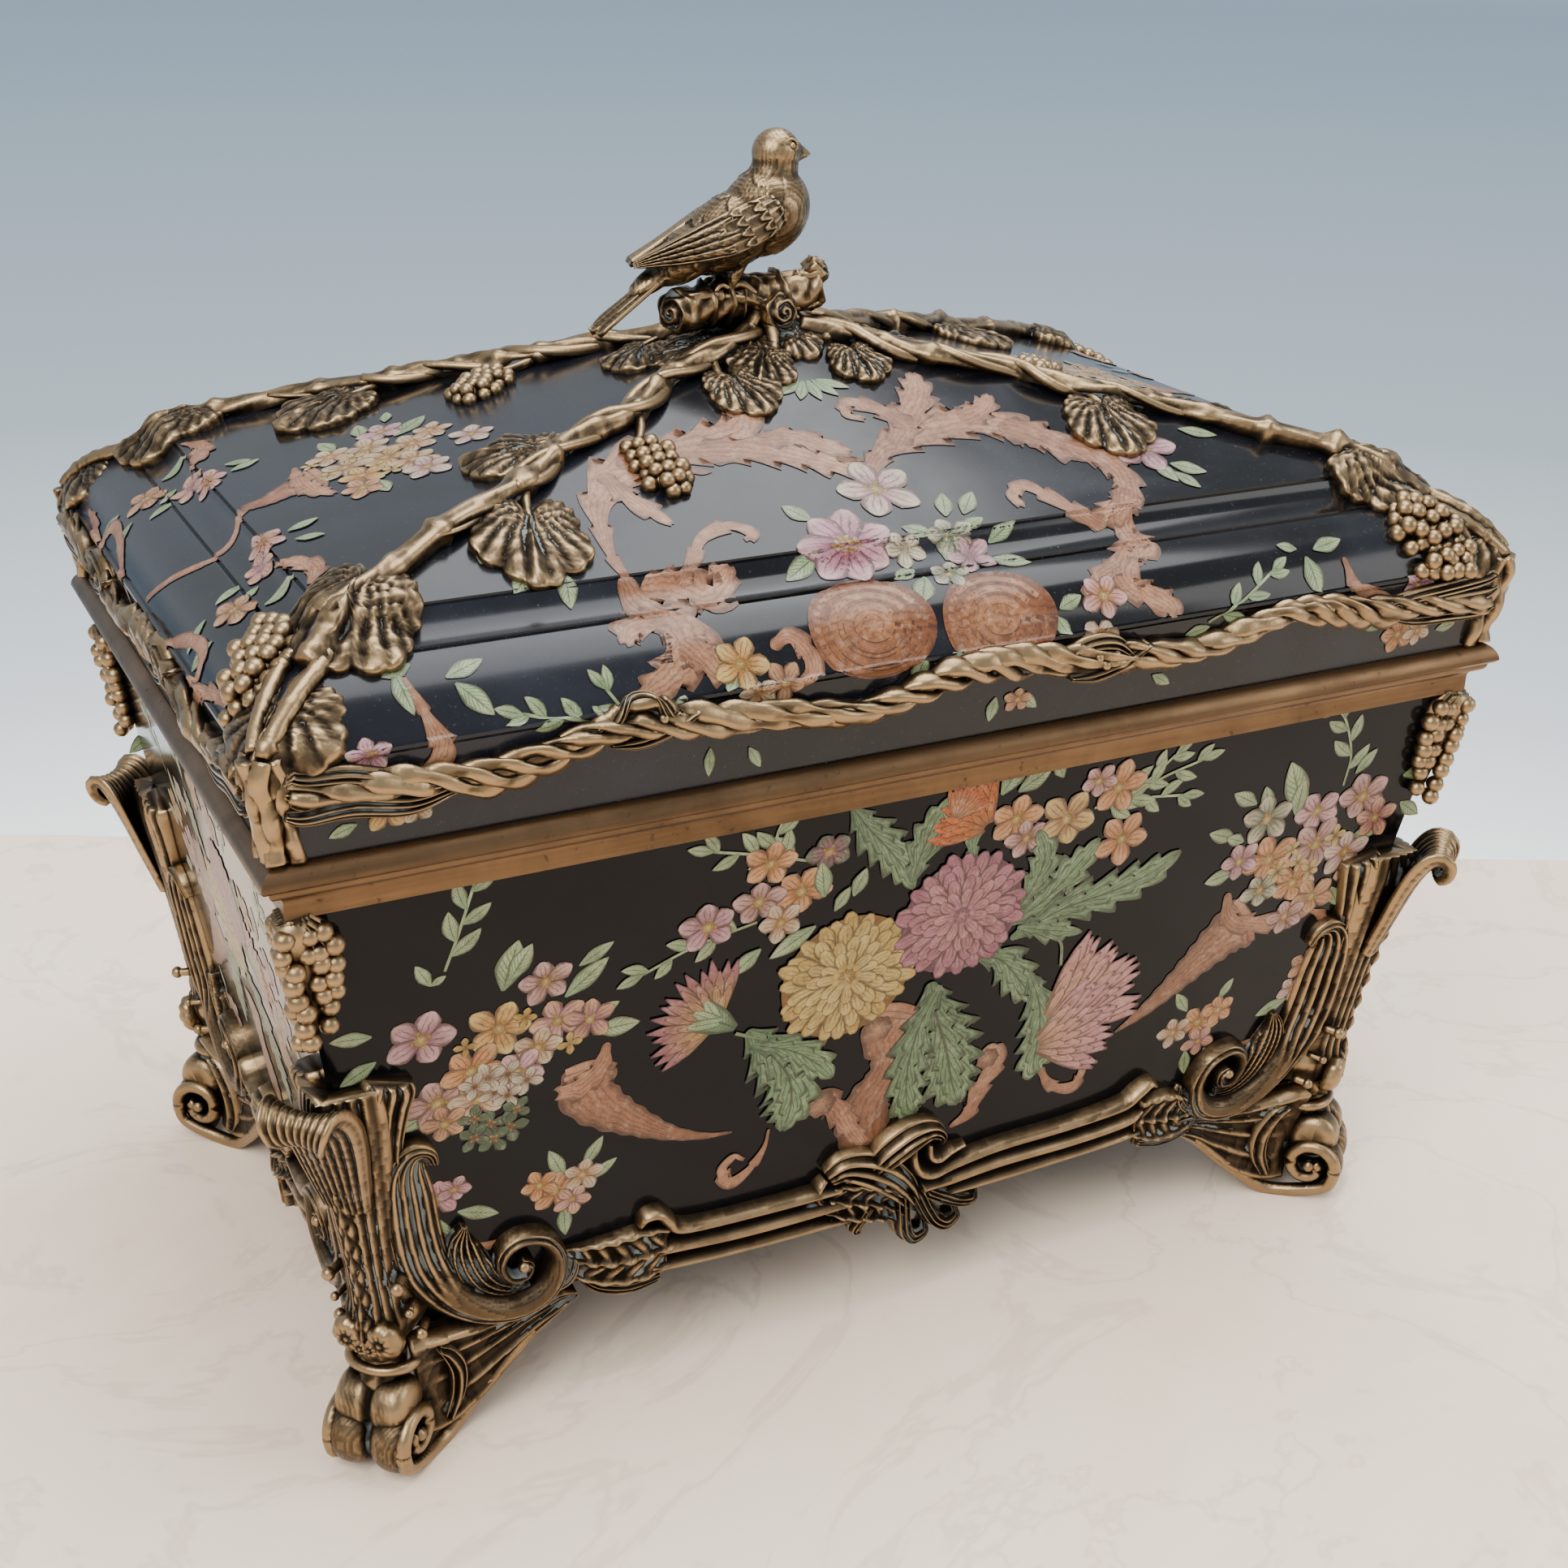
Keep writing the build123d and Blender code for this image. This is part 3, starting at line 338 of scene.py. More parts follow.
class Graph:
    def __init__(self, name, world=None):
        self.material = world or bpy.data.materials.new(name)
        self.material.use_nodes = True
        self.tree = self.material.node_tree
        self.tree.nodes.clear()
        self.place = self.node("ShaderNodeTexCoord", out="Generated" if world else "Object")

    def node(self, kind, settings=None, sockets=None, out=0):
        made = self.tree.nodes.new(kind)
        for key, value in (settings or {}).items():
            if key == "stops":
                ramp = made.color_ramp.elements
                while len(ramp) < len(value):
                    ramp.new(0.5)
                for stop, (at, colour) in zip(ramp, value):
                    stop.position, stop.color = at, (*colour, 1)
            else:
                setattr(made, key, value)
        for key, value in (sockets or {}).items():
            if isinstance(value, Term):
                self.tree.links.new(value.socket, made.inputs[key])
            else:
                made.inputs[key].default_value = value
        return Term(self, made.outputs[out]) if len(made.outputs) else None

    def noise(self, scale, detail=4.0, rough=0.55, vector=None, warp=0.0):
        return self.node("ShaderNodeTexNoise", sockets={
            "Vector": vector or self.place, "Scale": scale, "Detail": detail, "Roughness": rough, "Distortion": warp})

    def value(self, name):
        return self.node("ShaderNodeAttribute", {"attribute_name": name}, out="Fac")

    def colour(self, name):
        return self.node("ShaderNodeAttribute", {"attribute_name": name}, out="Color")

    def ramp(self, value, stops):
        return self.node("ShaderNodeValToRGB", {"stops": stops}, {"Fac": value})

    def step(self, value, low, high):
        return self.node("ShaderNodeMapRange", {"interpolation_type": "SMOOTHSTEP"},
                         {"Value": value, "From Min": low, "From Max": high})

    def mix(self, share, first, second, blend="MIX"):
        return self.node("ShaderNodeMix", {"data_type": "RGBA", "blend_type": blend},
                         {0: share, 6: first, 7: second}, 2)

    def stretched(self, x, y, z):
        return self.node("ShaderNodeMapping", sockets={"Vector": self.place, "Scale": (x, y, z)})

    def bump(self, height, strength, distance, normal=None):
        sockets = {"Height": height, "Strength": strength, "Distance": distance}
        if normal is not None:
            sockets["Normal"] = normal
        return self.node("ShaderNodeBump", sockets=sockets)

    def finish(self, **sockets):
        surface = self.node("ShaderNodeBsdfPrincipled", sockets={k.replace("_", " "): v for k, v in sockets.items()})
        self.node("ShaderNodeOutputMaterial", sockets={"Surface": surface})
        return self.material


def shade(r, g, b):  # a colour given as 0 to 255, to linear light
    return tuple(((v / 255 + 0.055) / 1.055) ** 2.4 if v > 10 else v / 255 / 12.92 for v in (r, g, b))


bronzeLooks = {
    "deep": shade(27, 22, 17), "body": shade(60, 50, 38), "worn": shade(94, 78, 58), "bright": shade(148, 124, 92),
    "deposit": shade(126, 133, 131),
}


def castBronze(name="antiquedBronze", gold=0.0):
    g = Graph(name)
    hollow = g.value("hollow")  # 0 on the high points, 1 in the crevices
    mottle = g.noise(90, 5, 0.62)
    fine = g.noise(620, 3, 0.6)
    patch = g.noise(38, 3, 0.5, warp=0.6)
    # darker towards the crevices and where the castings are closed in: partly the bronze's own patina, partly painted
    # shade
    patinaAndShade = hollow + (mottle - 0.5) * 0.34 - gold
    tint = g.ramp(patinaAndShade, [(0.0, bronzeLooks["bright"]), (0.2, bronzeLooks["worn"]), (0.46, bronzeLooks["body"]),
                         (0.85, bronzeLooks["deep"])])
    crust = g.step(hollow + (mottle - 0.5) * 0.5 + (patch - 0.5) * 1.1, 0.93, 1.12)
    tint = g.mix(crust * 0.75, tint, (*bronzeLooks["deposit"], 1))
    grain = g.bump(fine, 0.25, 0.0004, g.bump(mottle, 0.3, 0.0009))
    return g.finish(Base_Color=tint, Metallic=1 - crust * 0.85, Normal=grain,
                    Roughness=0.35 + g.step(patinaAndShade, 0.0, 0.9) * 0.3 + crust * 0.2)


def satinBronze():
    g = Graph("satinBronze")
    streak = g.noise(60, 4, 0.6, vector=g.stretched(0.25, 0.25, 6))
    cloud = g.noise(26, 4, 0.6, warp=0.8)
    speck = g.noise(420, 2, 0.5)
    tarnish = cloud * 0.7 + streak * 0.5 - 0.28
    tint = g.ramp(tarnish, [(0.1, shade(118, 92, 66)), (0.4, shade(90, 70, 50)), (0.72, shade(60, 46, 34))])
    spots = g.step(speck + (cloud - 0.5) * 0.5, 0.66, 0.76)
    tint = g.mix(spots * 0.6, tint, (*shade(66, 54, 42), 1))
    return g.finish(Base_Color=tint, Metallic=1.0, Roughness=0.30 + cloud * 0.2 + spots * 0.15,
                    Normal=g.bump(speck, 0.12, 0.0004, g.bump(streak, 0.15, 0.0006)))


def blackGlaze(name, haze, shine):
    g = Graph(name)
    cloud = g.noise(14, 4, 0.6, warp=0.4)
    dust = g.noise(900, 2, 0.7)
    swell = g.noise(16, 1, 0.4)
    film = g.step(cloud, 0.35, 0.75) * haze
    specks = g.step(dust, 0.62, 0.78) * haze
    tint = g.mix(film, (*shade(7, 7, 9), 1), (*shade(30, 33, 42), 1))
    tint = g.mix(specks * 0.35, tint, (*shade(92, 96, 104), 1))
    return g.finish(Base_Color=tint, Roughness=0.12 + film * 0.3 + specks * 0.25, Specular_IOR_Level=shine,
                    Coat_Weight=0.06, Coat_Roughness=0.08, Normal=g.bump(swell, 0.10, 0.004))


def enamel(name, veins, line):
    # painted colour with darker outlines and veins: the map's U runs across a stroke and V along it
    g = Graph(name)
    spot = g.node("ShaderNodeUVMap", {"uv_map": "stroke"}, out="UV")
    u = g.node("ShaderNodeSeparateXYZ", sockets={"Vector": spot})
    v = Term(g, u.socket.node.outputs[1])
    wobble = g.noise(420, 3, 0.6)
    wash = g.noise(130, 4, 0.6)
    patch = g.noise(330, 3, 0.65)
    away = ((u - 0.5) * 2).math("ABSOLUTE")
    edge = g.step(away + (wobble - 0.5) * 0.3, 0.66, 0.9)
    tip = g.step(v + (wobble - 0.5) * 0.06, 0.93, 0.985)
    if veins == "leaf":
        slant = (v * 9 - away * 2.6 + (wobble - 0.5) * 0.8).math("FRACT")
        drawn = (g.step(slant, 0.46, 0.6) - g.step(slant, 0.7, 0.86)) * 0.85
        drawn = drawn.math("MAXIMUM", 1 - g.step(away, 0.03, 0.13))
    elif veins == "petal":
        slant = (u * 4 + (wobble - 0.5) * 0.9).math("FRACT")
        drawn = (g.step(slant, 0.4, 0.5) - g.step(slant, 0.58, 0.7)) * (1 - g.step(v, 0.5, 0.95)) * 0.9
        drawn = drawn.math("MAXIMUM", (1 - g.step(v, 0.08, 0.5)) * 0.5)
    else:
        slant = (u * 7 + (wobble - 0.5) * 1.6 + v * 2).math("FRACT")
        drawn = (g.step(slant, 0.35, 0.5) - g.step(slant, 0.6, 0.85)) * (0.25 + wash * 0.7)
    ink = edge.math("MAXIMUM", tip).math("MAXIMUM", drawn) * line
    paint = g.colour("paint")
    paint = g.mix(g.step(wash, 0.3, 0.75) * 0.45, paint, g.mix(1.0, paint, (0.52, 0.46, 0.42, 1), "MULTIPLY"))
    paint = g.mix(g.step(patch, 0.5, 0.66) * 0.5, paint, g.mix(1.0, paint, (0.5, 0.42, 0.38, 1), "MULTIPLY"))
    paint = g.mix(g.step(patch, 0.46, 0.34) * 0.3, paint, g.mix(0.22, paint, (*shade(236, 226, 206), 1)))
    dark = g.mix(1.0, paint, (0.22, 0.17, 0.15, 1), "MULTIPLY")
    return g.finish(Base_Color=g.mix(ink, paint, dark), Roughness=0.34 + wash * 0.12, Specular_IOR_Level=0.3,
                    Coat_Weight=0.08, Coat_Roughness=0.12, Normal=g.bump(wobble, 0.2, 0.0004))


bronze = castBronze()
birdBronze = castBronze("birdBronze", 0.2)
rimBronze = satinBronze()
bodyGlaze = blackGlaze("blackGlaze", 0.06, 0.10)
lidGlaze = blackGlaze("dustyBlackGlaze", 0.6, 0.26)
leafEnamel = enamel("leafEnamel", "leaf", 0.85)
petalEnamel = enamel("petalEnamel", "petal", 0.92)
scrollEnamel = enamel("scrollEnamel", "scroll", 0.75)
print("materials made")


looks = {"porcelain_body": bodyGlaze, "porcelain_lid": lidGlaze}
for name, node in nodes.items():  # rims, hinge and fixings take the satin bronze
    node.data.materials.clear()
    node.data.materials.append(looks.get(name, rimBronze))

stageSettings = {
    "size": 2.6, "backEdge": 0.267, "turn": 0.469, "skyline": -0.45, "strength": 1.5,
    "sky": [(0.015, (1.45, 1.50, 1.50)), (0.06, (0.86, 0.93, 0.98)), (0.14, (0.42, 0.50, 0.56)),
            (0.26, (0.22, 0.30, 0.385)), (0.34, (0.50, 0.55, 0.60)), (1.0, (0.42, 0.45, 0.48))],
}


def marbleFloor():
    g = Graph("paleMarble")
    cloud = g.noise(3.2, 6, 0.62, warp=1.2)
    vein = g.noise(5.5, 5, 0.6, warp=2.2)
    lines = 1 - g.step((vein - 0.5).math("ABSOLUTE"), 0.0, 0.03)
    speck = g.noise(60, 4, 0.65)
    tint = g.ramp(cloud, [(0.3, shade(255, 236, 214)), (0.55, shade(252, 229, 205)), (0.75, shade(240, 213, 188))])
    tint = g.mix(lines * 0.2 + g.step(speck, 0.6, 0.8) * 0.2, tint, (*shade(168, 142, 122), 1))
    return g.finish(Base_Color=tint, Roughness=0.42 + cloud * 0.1)


def buildStage():
    s = stageSettings
    deselect()
    bpy.ops.mesh.primitive_plane_add(size=1.0, location=(0, 0, 0))
    floor = bpy.context.object
    floor.name = "floor"
    floor.scale = (2 * s["size"], s["size"] + s["backEdge"], 1)
    floor.location = Vector((math.sin(s["turn"]), math.cos(s["turn"]), 0)) * (s["backEdge"] - s["size"]) / 2
    floor.rotation_euler[2] = -s["turn"]
    bpy.ops.object.transform_apply(location=True, rotation=True, scale=True)
    floor.data.materials.append(marbleFloor())
    world = bpy.data.worlds.new("softRoom")
    bpy.context.scene.world = world
    g = Graph("softRoom", world)
    rise = g.node("ShaderNodeSeparateXYZ", sockets={"Vector": g.place}, out=2)
    lift = g.node("ShaderNodeMapRange", sockets={"Value": rise, "From Min": s["skyline"]})
    light = g.node("ShaderNodeBackground", sockets={"Color": g.ramp(lift, s["sky"]), "Strength": s["strength"]})
    g.node("ShaderNodeOutputWorld", sockets={"Surface": light})


lampSettings = {  # place in metres, size, watts, colour
    "windowLamp": ((-1.1, -0.9, 1.5), 1.2, 42, (1.0, 0.98, 0.95)),
    "ceilingLamp": ((0.35, 0.1, 1.9), 1.5, 50, (0.96, 0.98, 1.0)),
    "fillLamp": ((1.5, -1.2, 0.9), 1.0, 13, (1.0, 0.97, 0.93)),
}


def buildLamps():
    for name, (place, size, power, colour) in lampSettings.items():
        lamp = bpy.data.lights.new(name, "AREA")
        lamp.size, lamp.energy, lamp.color = size, power, colour
        holder = bpy.data.objects.new(name, lamp)
        holder.location = place
        holder.rotation_euler = (Vector((0, 0, 0.15)) - Vector(place)).to_track_quat("-Z", "Y").to_euler()
        bpy.context.scene.collection.objects.link(holder)


cameraSettings = {
    "place": (-0.31332, -0.636637, 0.467972), "yaw": 0.469, "pitch": 0.418, "roll": 0.017,
    "focal": 2703.0, "imageSide": 1932.0, "sensor": 36.0,
}


def buildCamera():
    c = cameraSettings
    camera = bpy.data.cameras.new("camera")
    camera.sensor_width = c["sensor"]
    camera.lens = c["focal"] / c["imageSide"] * c["sensor"]
    camera.clip_start, camera.clip_end = 0.01, 50
    holder = bpy.data.objects.new("camera", camera)
    yaw, pitch, roll = c["yaw"], c["pitch"], c["roll"]
    ahead = Vector((math.sin(yaw) * math.cos(pitch), math.cos(yaw) * math.cos(pitch), -math.sin(pitch)))
    right = Vector((math.cos(yaw), -math.sin(yaw), 0))
    up = right.cross(ahead)
    axisX = math.cos(roll) * right + math.sin(roll) * up
    axisY = -math.sin(roll) * right + math.cos(roll) * up
    matrix = holder.matrix_world.copy()
    for row in range(3):
        matrix[row] = (axisX[row], axisY[row], -ahead[row], c["place"][row])
    holder.matrix_world = matrix
    bpy.context.scene.collection.objects.link(holder)
    bpy.context.scene.camera = holder


buildStage()
buildLamps()
buildCamera()
print("stage and camera ready")


diagonalOut = np.array([halfRoot, -halfRoot, 0.0])
diagonalAcross = np.array([halfRoot, halfRoot, 0.0])
footX, footY = cornerEdge(bodyLow[2])


def bead(cast, centre, radius, rings=6, sides=10):
    down = np.linspace(0, math.pi, rings + 1)[:, None]
    turn = fullTurn(sides)[None]
    rows = np.stack([np.sin(down) * np.cos(turn), np.sin(down) * np.sin(turn), np.cos(down) * np.ones_like(turn)], -1)
    cast.grid(np.asarray(centre, float) + rows * radius, caps=False)


def onFoot(out, across, height):  # from the porcelain's bottom corner, in the diagonal plane
    return np.stack(np.broadcast_arrays(footX + (out + across) * halfRoot, footY - (out - across) * halfRoot,
                                        np.asarray(height, float)), -1)


footSettings = {
    "eye": (6.6, 14.1), "outerTurn": 10.6, "eyeTurn": 2.4, "turns": 490, "start": 392, "edgeAcross": 12.4,
    "edgeRadius": 2.5, "sheetHalf": 12.8,
    "edgeSwell": ([0, 0.12, 0.6, 0.8, 0.96, 1], [0.75, 0.95, 1.0, 0.85, 0.6, 0.2]),  # share of the way, radius
    "neck": [(3.2, 46, 8.6), (2.2, 40.5, 7.8), (2.6, 35, 7.6), (4.2, 29, 8.0)],  # out from the edge, height, radius
    # each wing's lower rail: run from the corner's edge, out from the wall, height
    "wingRail": [(8.5, 10.5, 3.2), (20, 5.5, 9.6), (32, 3, 18.6), (43, 1.4, 27.4), (55, 0.6, 35.6), (59, 0.8, 38.8)],
    # the hollow band of a wing: run, height, half width
    "wingBand": [(5, 26.6, 19.4), (12, 26.6, 19.2), (21, 28.0, 16.6), (32, 31.0, 11.8),
                 (43, 35.2, 7.6), (54, 39.0, 4.6), (61, 40.8, 1.6)],
    "knuckle": (6.6, 24.4, 9.2, 12.6),  # out from the edge, height, radius, half length
    "wingLeaf": [(12.5, 11, 1.8), (17, 19, 2.8), (18.5, 28, 3.0), (16.5, 36, 2.4), (13.5, 41, 1.0)],
    "wingLean": [(0, 9.5), (8.5, 8.0), (20, 4.2), (32, 2.0), (43, 0.8), (60, 0.2)],
}


def wingReeds(u, s):
    # hollow across the middle, with four drawn-out ribs that gather towards the volute
    rib = np.exp(-((np.mod(2.2 * (u + 0.24 * s) + 0.5, 1) - 0.5) / 0.17) ** 2)
    dish = 0.34 + 0.66 * np.abs(u - 0.1 + 0.3 * s) ** 1.6
    return (dish + 0.30 * rib * smooth(0.0, 0.25, s)) * smooth(1.0, 0.94, np.abs(u))


def scrollFoot():
    f, cast = footSettings, Casting()
    turn = np.radians(np.linspace(f["start"], f["start"] - f["turns"], 96))
    share = np.linspace(0, 1, 96)
    radius = f["eyeTurn"] + (f["outerTurn"] - f["eyeTurn"]) * share ** 0.8
    out, up = f["eye"][0] + radius * np.cos(turn), f["eye"][1] + radius * np.sin(turn)
    covered = 8  # the first steps of the volute lie inside its knuckle
    centres = onFoot(out, 0.0, up)[covered:]
    ahead = unit(np.gradient(centres, axis=0))
    outward = unit(np.cross(np.broadcast_to(diagonalAcross, ahead.shape), ahead))
    if outward[60] @ (centres[60] - onFoot(f["eye"][0], 0.0, f["eye"][1])) < 0:
        outward = -outward
    drums = lambda u, s: 1.9 * np.sqrt(np.clip(1 - ((np.abs(u) - 0.56) / 0.52) ** 2, 0, 1)) - 0.75
    across = np.broadcast_to(diagonalAcross, centres.shape)
    sweep(cast, centres, across, outward, f["sheetHalf"], 2.5, drums, steps=41, under=lambda u, s: -0.8 + 0 * u)
    for side in (-1, 1):
        spiral = onFoot(out, side * f["edgeAcross"], up)
        face = 0 if side < 0 else 1
        run, stand, height = np.array(f["wingRail"]).T
        line = through(np.vstack([spiral[::8], onCorner(run, height, stand, face)]), 150)
        size = f["edgeRadius"] * np.interp(np.linspace(0, 1, 150), *f["edgeSwell"])
        tube(cast, line, size, 12)
        bead(cast, onFoot(f["eye"][0], side * (f["edgeAcross"] + 0.8), f["eye"][1]), 2.3)
        runs, lean = zip(*f["wingLean"])
        surface = lambda run, z, o: onCorner(run, z, o + np.interp(run, runs, lean), face)
        faceStrip(cast, surface, f["wingBand"], 4.4, wingReeds, 80, 41, sink=3.2, out=-1.0)
        # the wing's leaf: a turned-over lobe that rises from behind the volute
        faceStrip(cast, surface, f["wingLeaf"], 5.4, ridges(2, 0.42, 0.6), 40, 17, sink=2.0)
    # the knuckle: a smooth drum over the volute, waisted in its middle
    out, height, radius, half = f["knuckle"]
    length = np.linspace(-1, 1, 33)
    size = radius * np.sqrt(np.clip(1 - np.abs(length) ** 7, 0, 1)) * (1 - 0.2 * np.exp(-(length / 0.13) ** 2))
    tube(cast, onFoot(out, length * half, height), np.maximum(size, 0.4), 40)
    neck = through(f["neck"], 16)
    tube(cast, onFoot(neck[:, 0], 0.0, neck[:, 1]), neck[:, 2] * 0.95, 28, lumps=0.04, lobes=9)
    turn = np.linspace(-1.9, 1.9, 24)
    tube(cast, onFoot(2.0 + 8.0 * np.cos(turn), 10.5 * np.sin(turn), 37.4), 1.8, 8)
    for points in cast.points:  # nothing goes below the plane it stands on
        points[:, 2] = np.maximum(points[:, 2], 0.0)
    return cast


mountSettings = {
    # spine: height, out from the edge, half width, relief
    "spine": [(46, 3.5, 8.5, 7.5), (54, 4.5, 11.5, 8.5), (62, 2.5, 10.0, 8.0), (80, 1.5, 9.6, 8.0),
              (102, 1.5, 11.0, 8.0), (120, 1.8, 12.6, 8.4), (132, 2.2, 13.6, 8.4), (141, 2.0, 13.0, 6.5)],
    # rolled head: out from the edge, height, half width, thickness
    "head": [(6.0, 100, 7.5, 2.0), (8.0, 114, 10.0, 2.4), (9.6, 126, 12.0, 2.8), (11.5, 134.5, 13.0, 3.0),
             (14.2, 139.5, 12.6, 3.0), (16.4, 140.0, 11.2, 2.8), (17.4, 136.6, 9.0, 2.4), (15.6, 133.8, 6.5, 1.8)],
    # reeded leaf beside the spine on each face: run, height, half width, relief
    "reed": [(9.0, 58, 3.2, 4.5), (9.4, 76, 4.0, 5.2), (10.0, 98, 4.6, 5.4), (11.5, 118, 5.6, 5.6),
             (14.0, 132, 7.4, 6.2), (16.0, 139, 8.0, 7.0), (16.6, 141.5, 7.0, 6.0)],
    # the C scroll: run, height, half width, relief
    "scroll": [(24.0, 107.5, 2.2, 3.4), (22.5, 112.0, 3.6, 4.8), (18.6, 112.6, 5.2, 5.6),
               (15.6, 107.0, 7.0, 6.2), (14.8, 96.0, 8.6, 6.8), (14.4, 82.0, 9.0, 7.4),
               (15.6, 69.0, 8.8, 7.8), (20.0, 57.0, 7.6, 8.2), (28.5, 48.0, 6.6, 8.6), (38.5, 44.0, 5.8, 8.4),
               (48.0, 45.6, 5.0, 8.0), (54.4, 51.6, 4.2, 7.6), (56.6, 60.0, 3.3, 6.6), (53.6, 67.6, 3.0, 6.4),
               (46.6, 70.4, 2.8, 6.2), (40.4, 67.4, 2.6, 6.0), (38.0, 61.2, 2.4, 5.8), (40.6, 55.8, 2.2, 5.8),
               (45.4, 55.8, 2.0, 6.0), (47.2, 60.2, 1.8, 6.4), (44.6, 62.6, 1.6, 6.8)],
    # small leaves: inside the scroll and off the volute's back
    "innerLeaf": [(45.0, 51.0, 2.5, 3.0), (39.0, 52.2, 4.6, 4.0), (33.0, 57.0, 6.4, 4.4),
                  (29.0, 65.0, 6.8, 4.4), (27.6, 73.5, 5.0, 4.0), (29.6, 80.5, 1.0, 3.0)],
    "outerLeaf": [(52.0, 46.0, 2.6, 5.0), (58.0, 48.5, 3.2, 5.0), (61.5, 53.0, 2.4, 4.2), (61.8, 57.5, 0.6, 2.6)],
    # beads along the scroll's back edge: run, height, out, radius
    "beads": [(4.6, 72, 11.5, 2.2), (6.6, 60.5, 11.0, 1.5), (9.0, 50.5, 10.5, 2.0)],
    "eye": ((44.8, 61.0, 5.6), 1.9),  # the scroll's eye: run, height and out, then radius
    # fan shells over the foot, beside the diagonal: across, height, radius; then how far their rings stand out
    "shells": [(5.4, 50.0, 6.4), (1.5, 47.0, 4.0)], "shellOut": 9.2,
    "shellRings": [(-3.0, 1.0), (0.0, 1.0), (1.6, 0.9), (2.8, 0.66), (3.2, 0.4), (2.6, 0.2), (3.6, 0.1)],
}


def cornerMount():
    m, cast = mountSettings, Casting()
    spine = through(m["spine"], 170)
    u = np.linspace(-1, 1, 49)
    wide = np.abs(u)
    reeds = 0.50 + 0.5 * np.abs(np.cos(np.pi * 3.0 * (wide - 0.36) / 0.64)) ** 0.8
    band = wide < 0.30
    rows = []
    for height, out, half, relief in spine:
        lozenge = 0.55 + 0.45 * np.abs(np.sin(height * 0.34 + u * 9)) * np.abs(np.sin(height * 0.34 - u * 9))
        carve = np.where(band, lozenge, reeds)
        carve = carve * smooth(1.0, 0.93, wide)
        top = out + relief * (0.35 + 0.65 * np.sqrt(1 - 0.75 * u * u)) * (0.62 + 0.38 * carve) - 0.80 * wide * half
        low = -wide * half - 0.7
        rows.append(np.concatenate([onDiagonal(np.maximum(top, low + 0.2), u * half, height),
                                    onDiagonal(low, u * half, height)[::-1]]))
    cast.grid(np.array(rows))
    head = through(m["head"], 60)
    centres = onDiagonal(head[:, 0], 0.0, head[:, 1])
    ahead = unit(np.gradient(centres, axis=0))
    outward = unit(np.cross(ahead, np.broadcast_to(diagonalAcross, ahead.shape)))
    if outward[2] @ diagonalOut < 0:
        outward = -outward
    reed = lambda u: 0.5 * np.abs(np.cos(np.pi * 4.5 * u)) ** 0.7
    sweep(cast, centres, np.broadcast_to(diagonalAcross, centres.shape), outward, head[:, 2], head[:, 3],
          lambda u, s: (0.2 + reed(u)) * smooth(1.0, 0.9, np.abs(u)) - 1.1 * u * u, steps=45,
          under=lambda u, s: -0.5 - reed(u) * smooth(0.5, 0.9, s) - 1.1 * u * u - 0.6 * (1 - s))
    flutes = lambda u, s: ((0.42 + 0.58 * smooth(-1, 0.75, u))
                           - 0.34 * (1 - np.abs(np.cos(np.pi * 2.5 * (u + 1.0))) ** 0.7)
                           * smooth(0.75, 0.35, s)) * (0.1 + 0.9 * smooth(1.0, 0.84, np.abs(u)))
    roll = lambda u, s: np.sqrt(np.clip(1 - u * u, 0, 1)) * (1 - 0.22 * np.exp(-((u - 0.35) / 0.12) ** 2)) + 0 * s
    both = lambda u, s: flutes(u, s) * (1 - smooth(0.30, 0.40, s)) + roll(u, s) * smooth(0.30, 0.40, s)
    # the leaf inside the scroll: ribs that fan from its root, and a scalloped edge
    scalloped = lambda u, s: ((0.4 + 0.5 * np.abs(np.cos(math.pi * (2.6 * u + 2.2 * s))) ** 0.8 + 0.12 * (1 - u * u))
                              * smooth(1.0, 0.86 - 0.2 * np.abs(np.sin(math.pi * 4 * s)), np.abs(u)))
    for face in (0, 1):
        surface = lambda run, z, o: onCorner(run, z, o, face)
        strips = {"scroll": (lambda u, s: both(-u, s), 230, 29), "reed": (ridges(4, 0.4, 0.4), 90, 25),
                  "innerLeaf": (scalloped, 90, 41), "outerLeaf": (ridges(3, 0.4, 0.5), 30, 15)}
        for name, (profile, count, steps) in strips.items():
            faceStrip(cast, surface, m[name], None, profile, count, steps)
        for run, height, out, size in m["beads"]:
            bead(cast, onCorner(run, height, out, face), size)
            stalk = through([onCorner(run + 3, height, out - 5, face), onCorner(run, height, out, face)], 4)
            tube(cast, stalk, size * 0.7, 8)
        bead(cast, onCorner(*m["eye"][0], face), m["eye"][1])
        side = -1 if face == 0 else 1
        for across, height, size in m["shells"]:
            turn = fullTurn(40)
            reach = size * (1 + 0.10 * np.abs(np.cos(4 * turn)))
            rings = []
            for depth, share in m["shellRings"]:
                bump = 1 + 0.14 * np.cos(9 * turn) * share
                aside = side * across + reach * share * np.cos(turn) * 0.85
                rings.append(onDiagonal(m["shellOut"] + depth * bump, aside, height + reach * share * np.sin(turn)))
            cast.grid(np.array(rings))
    return cast


atCorners("scrollFoot", scrollFoot(), "casket", "scroll_foot")
atCorners("cornerMount", cornerMount(), "casket", "corner_mount")
print("feet and corner mounts made")


berryMesh = []


def berry(cast, centre, radius):  # one grape, copied from a single round
    if not berryMesh:
        deselect()
        bpy.ops.mesh.primitive_ico_sphere_add(subdivisions=2, radius=1.0)
        made = bpy.context.object
        berryMesh.extend([np.array([v.co for v in made.data.vertices]),
                          [tuple(f.vertices) for f in made.data.polygons]])
        bpy.data.objects.remove(made)
    points, faces = berryMesh
    cast.add(np.asarray(centre, float) + points * radius, faces)


